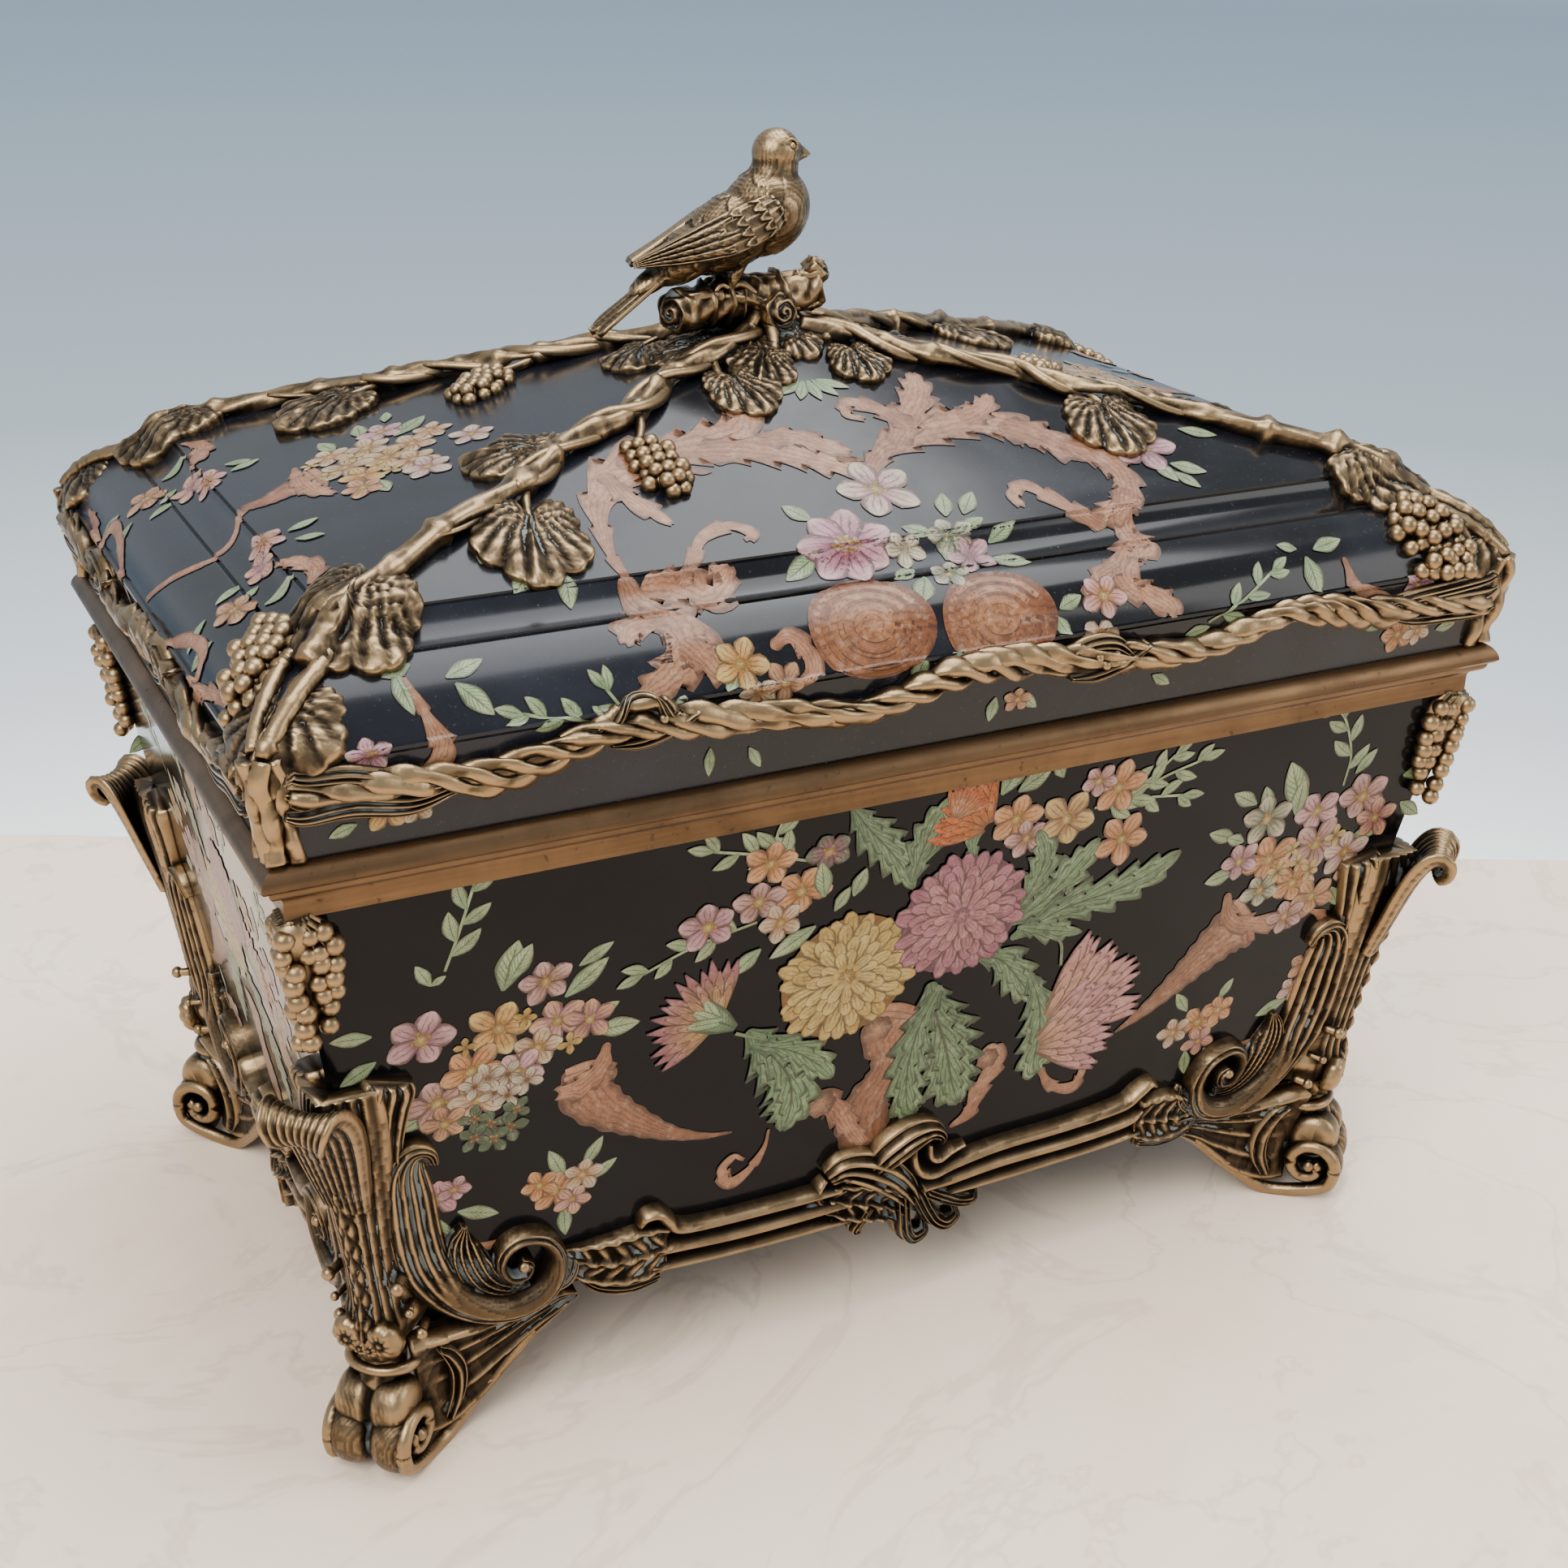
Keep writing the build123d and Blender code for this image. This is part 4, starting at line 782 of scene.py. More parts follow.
dropSettings = {
    "top": 199.5, "pitch": 4.9, "radius": 3.1, "rows": (5, 6, 6, 5, 5, 4, 3, 2), "spread": 4.3, "proud": 2.5,
    "leaves": 7, "stem": 34,
}


def grapeDrop():
    d, cast = dropSettings, Casting()
    for row, count in enumerate(d["rows"]):
        height = d["top"] - d["pitch"] * (row + 0.6)
        for k in range(count):
            place = (k - (count - 1) / 2) * d["spread"] + chance.uniform(-0.5, 0.5)
            size = d["radius"] * chance.uniform(0.9, 1.08)
            z = height + chance.uniform(-0.9, 0.9)
            if abs(place) < 2.6:
                berry(cast, onDiagonal(d["proud"] + 2.2, place * 0.8, z), size)
            else:
                berry(cast, onCorner(abs(place) * 0.85, z, d["proud"], 0 if place < 0 else 1), size)
    for k in range(d["leaves"]):
        place = (k - (d["leaves"] - 1) / 2) * 2.6
        far = abs(place)
        line = [(far * 0.5, d["top"] + 2, 2.4), (far * 0.9 + 1, d["top"] - 3, 2.2),
                (far * 1.2 + 1, d["top"] - 7, 0.6)]
        surface = lambda run, z, o: onCorner(run, z, o, 0 if place < 0 else 1)
        faceStrip(cast, surface, line, 4.2, ridges(2, 0.4, 0.5), 16, 9)
    stem = np.linspace(d["top"] + 1.5, d["top"] - d["stem"], 8)
    tube(cast, onDiagonal(-0.8, 0.0, stem), np.linspace(5.4, 2.2, 8), 10)
    return cast


atCorners("grapeDrop", grapeDrop(), "casket", "grape_drop")


def leafRelief(veins=6, slant=1.3, border=0.3):
    def profile(u, s):
        wide = np.abs(u)
        rib = np.exp(-(u / 0.10) ** 2) * 0.35
        side = 0.26 * (0.5 + 0.5 * np.cos(2 * math.pi * (veins * s - slant * wide)))
        rim = border * np.exp(-((wide - 0.86) / 0.10) ** 2)
        return (0.5 + rib + side * (1 - wide * 0.5) + rim) * (0.12 + 0.88 * smooth(1.0, 0.9, wide))
    return profile


apronSettings = {
    # strips of the casting: kind of relief, then run, height, half width, relief; a twin is laid on both sides
    "frontStrips": [
        ("leaf", [(-83, 50, 9, 5), (-92, 50, 11, 6), (-103, 51, 9.5, 6), (-112, 54, 6.5, 5), (-119, 59, 1.2, 3)]),
        ("leaf", [(98, 48, 8, 5), (106, 47, 10.5, 6), (115, 46, 9.5, 6), (121, 47, 6, 5), (125, 48, 1.5, 3)]),
        ("reed", [(-85, 38, 2.2, 4), (-96, 37.5, 3.4, 4.6), (-106, 41, 3.0, 4.2), (-113, 47, 0.8, 3)]),
        ("reed", [(100, 37, 2.2, 4), (110, 35.5, 3.2, 4.6), (119, 37, 3.0, 4.2), (126, 41, 0.8, 3)]),
        ("roll", [(-93, 61.5, 1.2, 4), (-91, 65, 1.9, 5), (-87, 65.2, 2.2, 5.6), (-83.5, 61.5, 2.4, 6),
                  (-80, 57.6, 2.3, 6), (-70, 55.8, 2.1, 5.6), (-45, 55.0, 2.1, 5.6), (-22, 55.4, 2.3, 6)]),
        ("roll", [(-86, 48, 1.2, 4), (-80, 50.0, 2.4, 6), (-60, 49.2, 2.9, 6.6),
                  (-40, 48.8, 2.9, 6.6), (-20, 49.2, 2.9, 6.6)]),
        ("roll", [(-88, 42.5, 1.2, 4), (-78, 42.6, 2.1, 5.6), (-50, 41.8, 2.3, 6),
                  (-30, 41.6, 2.3, 6), (-14, 40.5, 2.0, 5)]),
        ("roll", [(5, 68, 1.6, 5), (4.6, 61, 2.2, 6.6), (7, 55.0, 2.5, 7.4), (13, 51.6, 2.5, 7),
                  (22, 52.6, 2.2, 6), (40, 54.6, 2.1, 5.6), (66, 55.2, 2.1, 5.6), (88, 57.4, 2.3, 6),
                  (95, 61.6, 2.4, 6), (99.5, 64.2, 2.0, 5.4), (103, 62, 1.2, 4)]),
        ("roll", [(11, 64, 1.6, 5), (11, 60, 2.0, 6.6), (14.4, 57.6, 2.0, 6.6),
                  (20, 58.4, 1.6, 5), (26, 58.6, 1.0, 3.4)]),
        ("roll", [(10, 45.4, 2.4, 6), (20, 46.6, 2.8, 6.6), (40, 48.4, 2.9, 6.6),
                  (70, 48.8, 2.9, 6.6), (92, 50.0, 2.5, 6), (99, 52, 1.2, 4)]),
        ("roll", [(16, 39.8, 2.0, 5), (30, 41.0, 2.3, 6), (60, 41.8, 2.3, 6),
                  (86, 42.4, 2.1, 5.6), (99, 42, 1.2, 4)]),
        ("reed", [(-26, 60, 4, 5), (-21, 63, 6, 7), (-14, 61, 7.5, 8),
                  (-6, 56, 8, 8.6), (1, 49, 7, 8.4), (6, 42, 5, 7.6)]),
        ("leaf", [(-26, 52, 5.5, 6), (-17, 49, 7.5, 8), (-8, 46, 7.5, 8.4), (0, 41, 5.5, 7.6), (6, 35, 3.4, 6)]),
        ("reed", [(-10, 60, 5, 7), (-4, 66, 6.5, 8.6), (3, 70.5, 6.0, 8.8),
                  (10, 71.0, 4.0, 7.6), (15, 67.0, 2.4, 6), (16, 62.5, 0.8, 4)]),
        ("reed", [(2, 46, 4, 7.6), (3, 37, 3.8, 8.4), (4.6, 30, 3.6, 8.4),
                  (8.4, 25.4, 3.0, 7.8), (13, 26.2, 2.0, 6.6), (13.4, 30, 0.9, 5)]),
        ("reed", [(8, 45, 3.6, 7.6), (12, 37, 3.4, 8.2), (16, 31, 3.2, 8.2),
                  (21, 27.6, 2.8, 7.6), (25.4, 29.6, 1.8, 6.4), (24.6, 33, 0.9, 5)]),
        ("reed", [(12, 44, 3.0, 7), (19, 39.6, 3.0, 7.4), (26, 35.6, 2.6, 7),
                  (31.4, 34.6, 2.0, 6), (33, 37.6, 0.9, 4)]),
        ("reed", [(-10, 44, 2.6, 6), (-13, 39.4, 2.6, 6.6), (-14.6, 35.4, 2.0, 6), (-12, 33.4, 1.0, 5)]),
        ("roll", [(-27, 60, 1.4, 4), (-29.6, 57, 1.8, 5), (-29.8, 52.6, 1.8, 5), (-26.4, 49, 1.4, 5)]),
    ],
    "sideStrips": [
        ("twin leaf", [(-40, 50, 7, 5), (-48, 50, 9, 6), (-56, 52, 7, 5.6), (-62, 55, 1.4, 3)]),
        ("twin roll", [(-46, 60, 1.2, 4), (-43, 62, 2.0, 5.4), (-38, 57.6, 2.3, 6),
                       (-26, 55.4, 2.1, 5.6), (-14, 56, 1.8, 5)]),
        ("twin roll", [(-43, 48, 1.4, 4), (-30, 49.0, 2.9, 6.6), (-14, 48.6, 2.9, 6.6)]),
        ("twin roll", [(-44, 42.6, 1.2, 4), (-30, 41.8, 2.3, 6), (-12, 41.4, 2.0, 5)]),
        ("reed", [(-18, 60, 4, 5), (-10, 64, 6, 7.4), (-2, 61, 8, 8.6), (6, 54, 7.4, 8.4), (12, 46, 5, 7)]),
        ("leaf", [(-19, 51, 5.5, 6), (-9, 47, 8, 8.4), (1, 42, 6.5, 8), (8, 36, 3.4, 6)]),
        ("reed", [(2, 62, 4, 7), (9, 66, 4.4, 7.8), (15, 63, 3.4, 6.6), (17, 58, 1.0, 4)]),
        ("reed", [(-1, 44, 4, 7.6), (-2, 36, 3.8, 8.2), (1.4, 29, 3.2, 8),
                  (6.4, 27.6, 2.0, 6.6), (7.6, 31.4, 0.9, 5)]),
        ("reed", [(7, 44, 3.4, 7.4), (11, 37, 3.2, 7.8), (16, 33, 2.4, 7), (19, 35.6, 1.0, 5)]),
    ],
}


def apronCast(strips, side):
    cast = Casting()
    surface = lambda run, z, o: onWall(side, run, z, o)
    kinds = {  # relief, rows for each millimetre, steps across
        "leaf": (leafRelief(), 1.6, 33), "reed": (ridges(4, 0.42, 0.5), 1.1, 25),
        "roll": (lambda u, s: np.sqrt(np.clip(1 - u * u, 0, 1)) + 0 * s, 1.1, 11),
    }
    for kind, path in strips:
        relief, pace, steps = kinds[kind]
        span = math.hypot(path[0][0] - path[-1][0], path[0][1] - path[-1][1])
        faceStrip(cast, surface, path, None, relief, max(30, int(span * pace)), steps)
    return cast


for side in faceNames:
    strips = apronSettings["frontStrips" if side in ("front", "back") else "sideStrips"]
    flip = 1 if side in ("front", "right") else -1
    strips = [(kind.split()[-1], [(p[0] * flip * way, *p[1:]) for p in path]) for kind, path in strips
              for way in ((1, -1) if "twin" in kind else (1,))]
    finishCasting(f"apron_{side}_cast", apronCast(strips, side), "casket", f"apron_{side}")
print("grape drops and aprons made")


def lidNormal(x, y, reach=2.5):
    dx = (lidTop(x + reach, y) - lidTop(x - reach, y)) / (2 * reach)
    dy = (lidTop(x, y + reach) - lidTop(x, y - reach)) / (2 * reach)
    return unit(np.stack([-dx, -dy, np.ones_like(dx)], -1))


def draped(x, y, lift=0.0):
    x, y, lift = np.broadcast_arrays(*(np.asarray(v, float) for v in (x, y, lift)))
    return np.stack([x, y, lidTop(x, y)], -1) + lidNormal(x, y) * lift[..., None]


hipLength = math.hypot(slopeStart["x"], slopeStart["y"])


def hipPlan(corner, along, aside):  # along the hip from the tip of the lid, aside to the left when looking outward
    sx, sy = cornerSigns[corner]
    down = np.array([sx * slopeStart["x"], sy * slopeStart["y"]]) / hipLength
    beyond = np.array([sx, sy]) * halfRoot
    along, aside = np.broadcast_arrays(np.asarray(along, float), np.asarray(aside, float))
    on = np.minimum(along, hipLength)
    over = np.maximum(along - hipLength, 0)
    left = np.array([-down[1], down[0]])
    x = on * down[0] + over * beyond[0] + aside * left[0]
    y = on * down[1] + over * beyond[1] + aside * left[1]
    return x, y, math.atan2(down[1], down[0])


def lobedLeaf(cast, place, size, heading, lobes=5, rings=18, sectors=120, thick=5.0, ribs=12, low=-0.8):
    # place(a, b, lift) gives the leaf's ground; its ribs fan out from the stem
    turn = fullTurn(sectors)
    wave = np.abs(np.cos(lobes * turn / 2)) ** 0.7
    notch = np.exp(-(np.minimum(np.abs(turn - math.pi), 0.6) / 0.2) ** 2)
    stem = 0.7 * size
    rim = size * (0.84 + 0.16 * wave - 0.30 * notch)
    edge = np.arctan2(rim * np.sin(turn), rim * np.cos(turn) + stem)
    rim = rim * (1 + 0.05 * np.abs(np.cos(edge * ribs)))
    rows = []
    ca, sa = math.cos(heading), math.sin(heading)
    shares = np.concatenate([np.linspace(0.02, 0.94, rings - 3), [0.985, 1.0, 0.99]])
    for k, share in enumerate(shares):
        a, b = rim * share * np.cos(turn), rim * share * np.sin(turn)
        fan = np.arctan2(b, a + stem)
        far = np.hypot(a + stem, b) / size
        rib = np.abs(np.cos(fan * ribs + 0.5 * np.sin(far * 3))) ** 0.55
        middle = np.exp(-(fan / 0.05) ** 2)
        crinkle = 0.5 + 0.5 * np.sin(far * 17 - np.abs(fan) * 11)
        dome = 0.80 + 0.28 * share - 0.62 * share ** 3 + 0.14 * np.cos(lobes * turn) * share ** 2
        lift = thick * dome * (0.56 + 0.30 * rib + 0.14 * middle + 0.07 * crinkle)
        if k == len(shares) - 2:  # the rim turns down, and then in under the leaf
            lift = lift * 0.72
        elif k == len(shares) - 1:
            lift = np.full(sectors, low)
        rows.append(place(a * ca - b * sa, a * sa + b * ca, lift))
    cast.grid(np.array(rows))


def barkTube(cast, centres, radius, seed, sides=14, knots=6):
    n = len(centres)
    along = np.linspace(0, 1, n)
    size = np.broadcast_to(radius, n).copy()
    for _ in range(knots):
        at = chance.uniform(0.05, 0.95)
        size = size * (1 + chance.uniform(0.15, 0.4) * np.exp(-((along - at) / 0.012) ** 2))
    turn = fullTurn(sides)[None]
    wander = 9 * np.sin(along * 7 + seed)[:, None]
    groove = 1 + 0.10 * np.cos(4 * turn + wander) + 0.05 * np.cos(7 * turn - 40 * along[:, None])
    cast.grid(ringsAround(centres, size[:, None] * groove, turn))


hipSettings = {
    "branch": [(0.05, 0), (0.14, 1.5), (0.25, -1.5), (0.38, 2.5),
               (0.5, -1), (0.62, 2), (0.76, 0), (0.9, 1), (1.0, -1)],
    # leaves on the slope: share of the hip, aside, size, heading from the hip's own run
    "leaves": [(0.11, 13, 11.5, 0.5), (0.19, 17, 12.5, 1.3), (0.15, -12, 10.5, -1.0),
               (0.545, -15, 15, -1.1), (0.7, 17, 17, 0.75), (0.975, 1, 19, 0.15)],
    "bunch": (0.42, 13, 1.15, 27, 18, 2.5),  # share of the hip, aside, turn, length, width, radius of a grape
    "lowBunch": (36, 26, 2.9),  # over the cove and ovolo: length, width, radius of a grape
    "twigs": [  # from the hip to the leaves and grapes: along, aside, radius
        [(0.10, 0, 1.6), (0.12, 6, 1.4), (0.13, 13, 1.0)],
        [(0.16, 1, 1.6), (0.19, 8, 1.4), (0.2, 15, 1.0)],
        [(0.36, 2, 1.8), (0.39, 8, 1.5), (0.43, 13, 1.2)],
        [(0.50, 0, 1.8), (0.53, -6, 1.5), (0.56, -13, 1.1)],
        [(0.62, 2, 1.8), (0.655, 8, 1.6), (0.69, 16, 1.2)],
    ],
    "loops": [  # twin twigs with a small loop, over the cove and ovolo to the corner leaf
        (2.6, [(1.0, 2), (1.05, 4), (1.12, 3), (1.19, 1)]),
        (2.3, [(1.0, -3), (1.06, -6), (1.13, -4), (1.19, -1)]),
        (1.7, [(1.03, -6), (1.06, -11), (1.1, -14), (1.13, -10), (1.1, -6)]),
    ],
}


def hipVine(corner):
    h, cast = hipSettings, Casting()
    path = through([(s * hipLength, a) for s, a in h["branch"]], 150)
    x, y, _ = hipPlan(corner, path[:, 0], path[:, 1])
    barkTube(cast, draped(x, y, 2.2), 3.3, chance.uniform(0, 6), 16, knots=9)
    for lead, phase, part in ((2.2, 0.0, slice(0, 95)), (1.8, 2.4, slice(20, 120))):  # two stems wound round it
        wind = np.linspace(0, 22, 150) + phase
        x, y, _ = hipPlan(corner, path[:, 0], path[:, 1] + 3.2 * np.cos(wind))
        radius = lead * np.interp(np.arange(150), [0, 20, 95, 120], [1, 1, 0.8, 0.4])
        tube(cast, draped(x, y, 2.8 + 1.8 * np.sin(wind))[part], radius[part], 8)
    for twig in h["twigs"]:
        line = through([(s * hipLength, a, r) for s, a, r in twig], 18)
        x, y, _ = hipPlan(corner, line[:, 0], line[:, 1])
        tube(cast, draped(x, y, 1.6), line[:, 2], 8, lumps=0.08)
    for lead, line in h["loops"]:
        line = through([(s * hipLength, a) for s, a in line], 40)
        x, y, _ = hipPlan(corner, line[:, 0], line[:, 1])
        barkTube(cast, draped(x, y, 1.5), lead, 1.0, 10, 3)
    return cast


def hipLeaves(corner):
    cast = Casting()
    for share, aside, size, heading in hipSettings["leaves"]:
        x0, y0, along = hipPlan(corner, share * hipLength, aside)
        place = lambda a, b, lift: draped(x0 + a, y0 + b, lift)
        lobedLeaf(cast, place, size, along + heading, thick=7.0 if size > 18 else 5.4 if size > 14 else 4.6)
    return cast


def cluster(cast, place, length, width, radius):  # a bunch that narrows to its tip, in two layers
    for layer in (0, 1):
        step = radius * 1.62
        rows = int(length / step) - layer
        for row in range(rows):
            share = (row + 0.5 * layer + 0.4) / (length / step)
            half = width / 2 * (math.sin(math.pi * min(1, (share + 0.22) / 1.2)) ** 0.7) * (1 - 0.35 * layer)
            count = max(1, int(round(2 * half / step)))
            for k in range(count):
                stagger = (0.5 if row % 2 else -0.5) * radius * 0.5
                across = (k - (count - 1) / 2) * step + stagger + chance.uniform(-0.3, 0.3)
                on = (row + 0.5 * layer) * step + chance.uniform(-0.4, 0.4)
                spot = place(on, across, radius * (0.45 + 1.05 * layer))
                berry(cast, spot, radius * chance.uniform(0.9, 1.08))


def hipGrapes(corner):
    cast = Casting()
    share, aside, turnBy, *size = hipSettings["bunch"]
    x0, y0, along = hipPlan(corner, share * hipLength, aside)
    ca, sa = math.cos(along + turnBy), math.sin(along + turnBy)
    cluster(cast, lambda a, b, lift: draped(x0 + a * ca - b * sa, y0 + a * sa + b * ca, lift), *size)
    low = lambda a, b, lift: draped(*hipPlan(corner, hipLength + a * 0.9, -17 + b + 0.1 * a)[:2], lift)
    cluster(cast, low, *hipSettings["lowBunch"])
    return cast


for corner in cornerSigns:
    finishCasting(f"hipBranch_{corner}", hipVine(corner), "lid", f"hip_branch_{corner}")
    finishCasting(f"vineLeaves_{corner}", hipLeaves(corner), "lid", f"vine_leaves_{corner}")
    finishCasting(f"grapeBunches_{corner}", hipGrapes(corner), "lid", f"grapes_{corner}")
print("vines on the hips made")

edgeSettings = {
    "height": 20.5, "wave": 3.6, "waves": 3.5, "strand": 2.2, "pitch": 46.0, "knots": (0.25, 0.62),
    # two leaves over each knot: relief, then run from the knot, height over the vine's middle, half width
    "knotLeaves": [(4.4, [(-16, 1, 1.2), (-7, 5, 2.6), (3, 4.4, 2.8), (11, -1, 1.0)]),
                   (5.4, [(-12, -4, 1.0), (-3, -4.6, 2.6), (7, -1.8, 2.4), (15, 3, 0.8)])],
    "tails": [(0, 4.2), (-5.0, 2.6), (4.2, 2.2)],  # leaves to the ends: up from the vine's middle, half width
}


def edgeVine(side):
    e, cast = edgeSettings, Casting()
    long = side in ("front", "back")
    half = bandHalf["x" if long else "y"] - 2
    run = np.linspace(-half, half, 260 if long else 170)
    sway = e["wave"] * np.sin(run * 2 * math.pi * e["waves"] / (2 * bandHalf["x"]) + 0.8)
    middle = e["height"] + (sway + 1.2 * np.sin(run * 0.11 + 1.3))
    thick = 1 + 0.25 * np.sin(run * 0.045 + 0.5)
    for k in range(4):
        wind = run * 2 * math.pi / e["pitch"] + k * math.pi / 2 + 0.8 * np.sin(run * 0.05)
        up = middle + (2.7 + 0.9 * np.sin(run * 0.09 + k)) * np.cos(wind) * thick
        out = 1.9 + 1.6 * np.sin(wind)
        radius = e["strand"] * (1 + 0.26 * np.sin(run * 0.21 + 2 * k) + 0.16 * np.sin(run * 0.53 + 5 * k))
        tube(cast, onLid(side, run, up, out), radius, 10, lumps=0.2, twist=9.0)
    barkTube(cast, onLid(side, run, middle, 0.9), 2.8, 0.4, 12, 6)
    surface = lambda r, z, o: onLid(side, r, z, o)
    for knot in e["knots"]:
        at = (2 * knot - 1) * half
        m = float(np.interp(at, run, middle))
        for relief, leaf in e["knotLeaves"]:
            path = [(at + run, m + up, wide) for run, up, wide in leaf]
            faceStrip(cast, surface, path, relief, ridges(3, 0.4, 0.4), 44, 15, sink=0.6)
        for k in range(3):
            bead(cast, onLid(side, at + 3 * k - 3, m + 1.5 * (-1) ** k, 3.6), 1.7)
    # long leaf tails toward both ends
    for end in (-1, 1):
        a, b = end * (half + 1), end * (half - 44)
        m = float(np.interp(b, run, middle))
        for shift, wide in e["tails"]:
            path = [(b, m + shift * 0.4, 1.0), (b + end * 12, m - 1 + shift * 0.8, wide),
                    (b + end * 28, 19.5 + shift, wide * 1.2),
                    (a - end * 5, 20 + shift * 1.2, wide), (a, 22 + shift * 1.3, 1.4)]
            faceStrip(cast, surface, path, 4.6, ridges(3, 0.42, 0.4), 60, 17, sink=0.5)
    return cast


for side in faceNames:
    finishCasting(f"edgeVine_{side}", edgeVine(side), "lid", f"edge_vine_{side}")

cornerLeafSettings = {
    "strands": [(-4.4, 2.4), (-1.4, 2.8), (1.9, 2.6), (4.8, 2.2)],  # bark up the corner: across it, radius
    "leafSize": 16.5, "leafThick": 5.2, "farthestOut": 11.6,
}


def onLidCorner(out, height, across):  # out from the band's own corner, equally along X and Y
    x = bandHalf["x"] + out + across * halfRoot
    y = -(bandHalf["y"] + out) + across * halfRoot
    return np.stack(np.broadcast_arrays(x, y, np.asarray(height, float)), -1)


def cornerLeaf():
    c, cast = cornerLeafSettings, Casting()
    ledge = lidFoot + lidForm["flareHeight"] + lidForm["ledgeHeight"]
    for across, size in c["strands"]:
        z = np.linspace(lidFoot + 0.6, ledge + 2, 40)
        out = 2.6 + 3.4 * smooth(lidFoot, ledge, z) - 0.14 * abs(across) + 0.5 * np.sin(z * 0.5 + across)
        line = onLidCorner(out - abs(across) * 0.55, z, across + 0.7 * np.sin(z * 0.35 + across))
        tube(cast, line, size, 10, lumps=0.12, twist=3.0, upward=(1, 0.2, 0))
    # a broad ribbed leaf bent over the corner
    def place(a, b, lift):
        bend = np.sqrt(b * b + 9) - 3
        far = a - 0.05 * a * np.abs(a) * (a > 0) * 0.6
        out = -1.0 + far * 0.62 - bend * 0.48 + lift * 0.55
        up = ledge + 5.5 - a * 0.55 - np.maximum(a, 0) ** 2 * 0.025 - bend * 0.16 + lift * 0.75
        return onLidCorner(np.minimum(out, c["farthestOut"]), up, b)
    lobedLeaf(cast, place, c["leafSize"], 0.0, thick=c["leafThick"])
    return cast


atCorners("cornerLeafCast", cornerLeaf(), "lid", "corner_leaf")
print("edge vines and corner leaves made")

perchSettings = {
    "rise": 9.5, "left": -31.0, "right": 18.0,
    # roses: x, y, height over the lid's tip, radius, and which way they look
    "roses": [(-31.5, -1.5, 7.6, 7.0, (-1, -0.5, 0)), (0.5, -8.0, 6.0, 6.0, (0.1, -1, 0.1)),
              (17.5, -0.5, 17.0, 4.6, (0.6, -0.3, 0.6)), (-14, 8.5, 6.0, 5.4, (0, 1, 0.2))],
    "thick": ([0, 0.1, 0.5, 0.9, 1], [6.9, 6.3, 6.6, 6.3, 6.4]),
    "stems": [(0.0, 1.9), (2.1, 1.6), (4.2, 1.7)],  # that lie along the log: twist, radius
    "roots": 9, "rootLift": ([0, 0.25, 0.7, 1], [9, 5.5, 2.2, 0.4]),
    # leaves on the roots: turn, reach, size
    "leaves": [(-2.3, 15, 8), (-1.2, 14, 8.5), (-0.3, 17, 7.5), (0.7, 15, 8), (2.0, 14, 8.5), (3.0, 18, 8)],
}


def rose(cast, centre, radius, facing):
    facing = unit(facing)
    first = unit(np.cross(facing, (0.0, 0.0, 1.0) if abs(facing[2]) < 0.9 else (1.0, 0.0, 0.0)))
    second = np.cross(facing, first)
    turn = fullTurn(60)
    rows = []
    for share in np.linspace(1.0, 0.03, 20):
        spiral = 0.5 + 0.5 * np.sin(share * 15 + turn)
        petals = 1 + 0.07 * np.cos(6 * turn + 9 * share) * share
        high = radius * (0.75 * np.sqrt(1 - 0.85 * share ** 2) + 0.14 * spiral - 0.12)
        reach = radius * share * petals
        ring = np.asarray(centre) + np.outer(np.cos(turn) * reach, first) + np.outer(np.sin(turn) * reach, second)
        rows.append(ring + np.outer(high, facing))
    back = rows[0] - facing * radius * 0.9
    cast.grid(np.array([back] + rows))


def perchCast():
    p, cast = perchSettings, Casting()
    z = lidTip + p["rise"]
    log = through([(p["left"], 0, z - 2), (-23, -1.0, z - 0.5), (-10, 0.8, z + 0.3), (2, -0.6, z), (12, 0.4, z + 0.8),
                   (p["right"], 0, z + 2.4)], 90)
    barkTube(cast, log, np.interp(np.linspace(0, 1, 90), *p["thick"]), 2.0, 18, 5)
    for twist, lead in p["stems"]:
        wind = np.linspace(0, 2.2, 90) + twist
        ring = log + np.stack([0 * wind, 5.4 * np.cos(wind), 5.4 * np.sin(wind)], 1)
        barkTube(cast, ring, np.full(90, lead * 1.15), twist, 12, 4)
    shoot = through([(11, 0, z), (15.5, -0.6, z + 6), (17.6, -0.5, z + 11.2)], 20)
    barkTube(cast, shoot, np.linspace(3.6, 2.8, 20), 1.0, 12, 2)
    for x, y, up, size, facing in p["roses"]:
        rose(cast, (x, y, lidTip + up), size, facing)
    # the collar: roots that spread down over the lid's tip, and small leaves on them
    for k, turn in enumerate(fullTurn(p["roots"]) + 0.3):
        reach = 15 + 4 * math.cos(3 * turn)
        x = np.linspace(3, reach, 24) * math.cos(turn + 0.15 * math.sin(k * 2.0))
        y = np.linspace(3, reach, 24) * math.sin(turn)
        lift = np.interp(np.linspace(0, 1, 24), *p["rootLift"])
        points = np.stack([x, y, lidTop(x, y) + lift], 1)
        barkTube(cast, points, np.linspace(3.4, 1.6, 24), k * 1.0, 10, 2)
    for turn, far, size in p["leaves"]:
        x0, y0 = far * math.cos(turn), far * math.sin(turn)
        place = lambda a, b, lift: np.stack([x0 + a, y0 + b, lidTop(x0 + a, y0 + b) + lift], -1)
        lobedLeaf(cast, place, size, turn, rings=12, sectors=60, thick=4.4)
    return cast


finishCasting("perchCast", perchCast(), "lid", "perch")

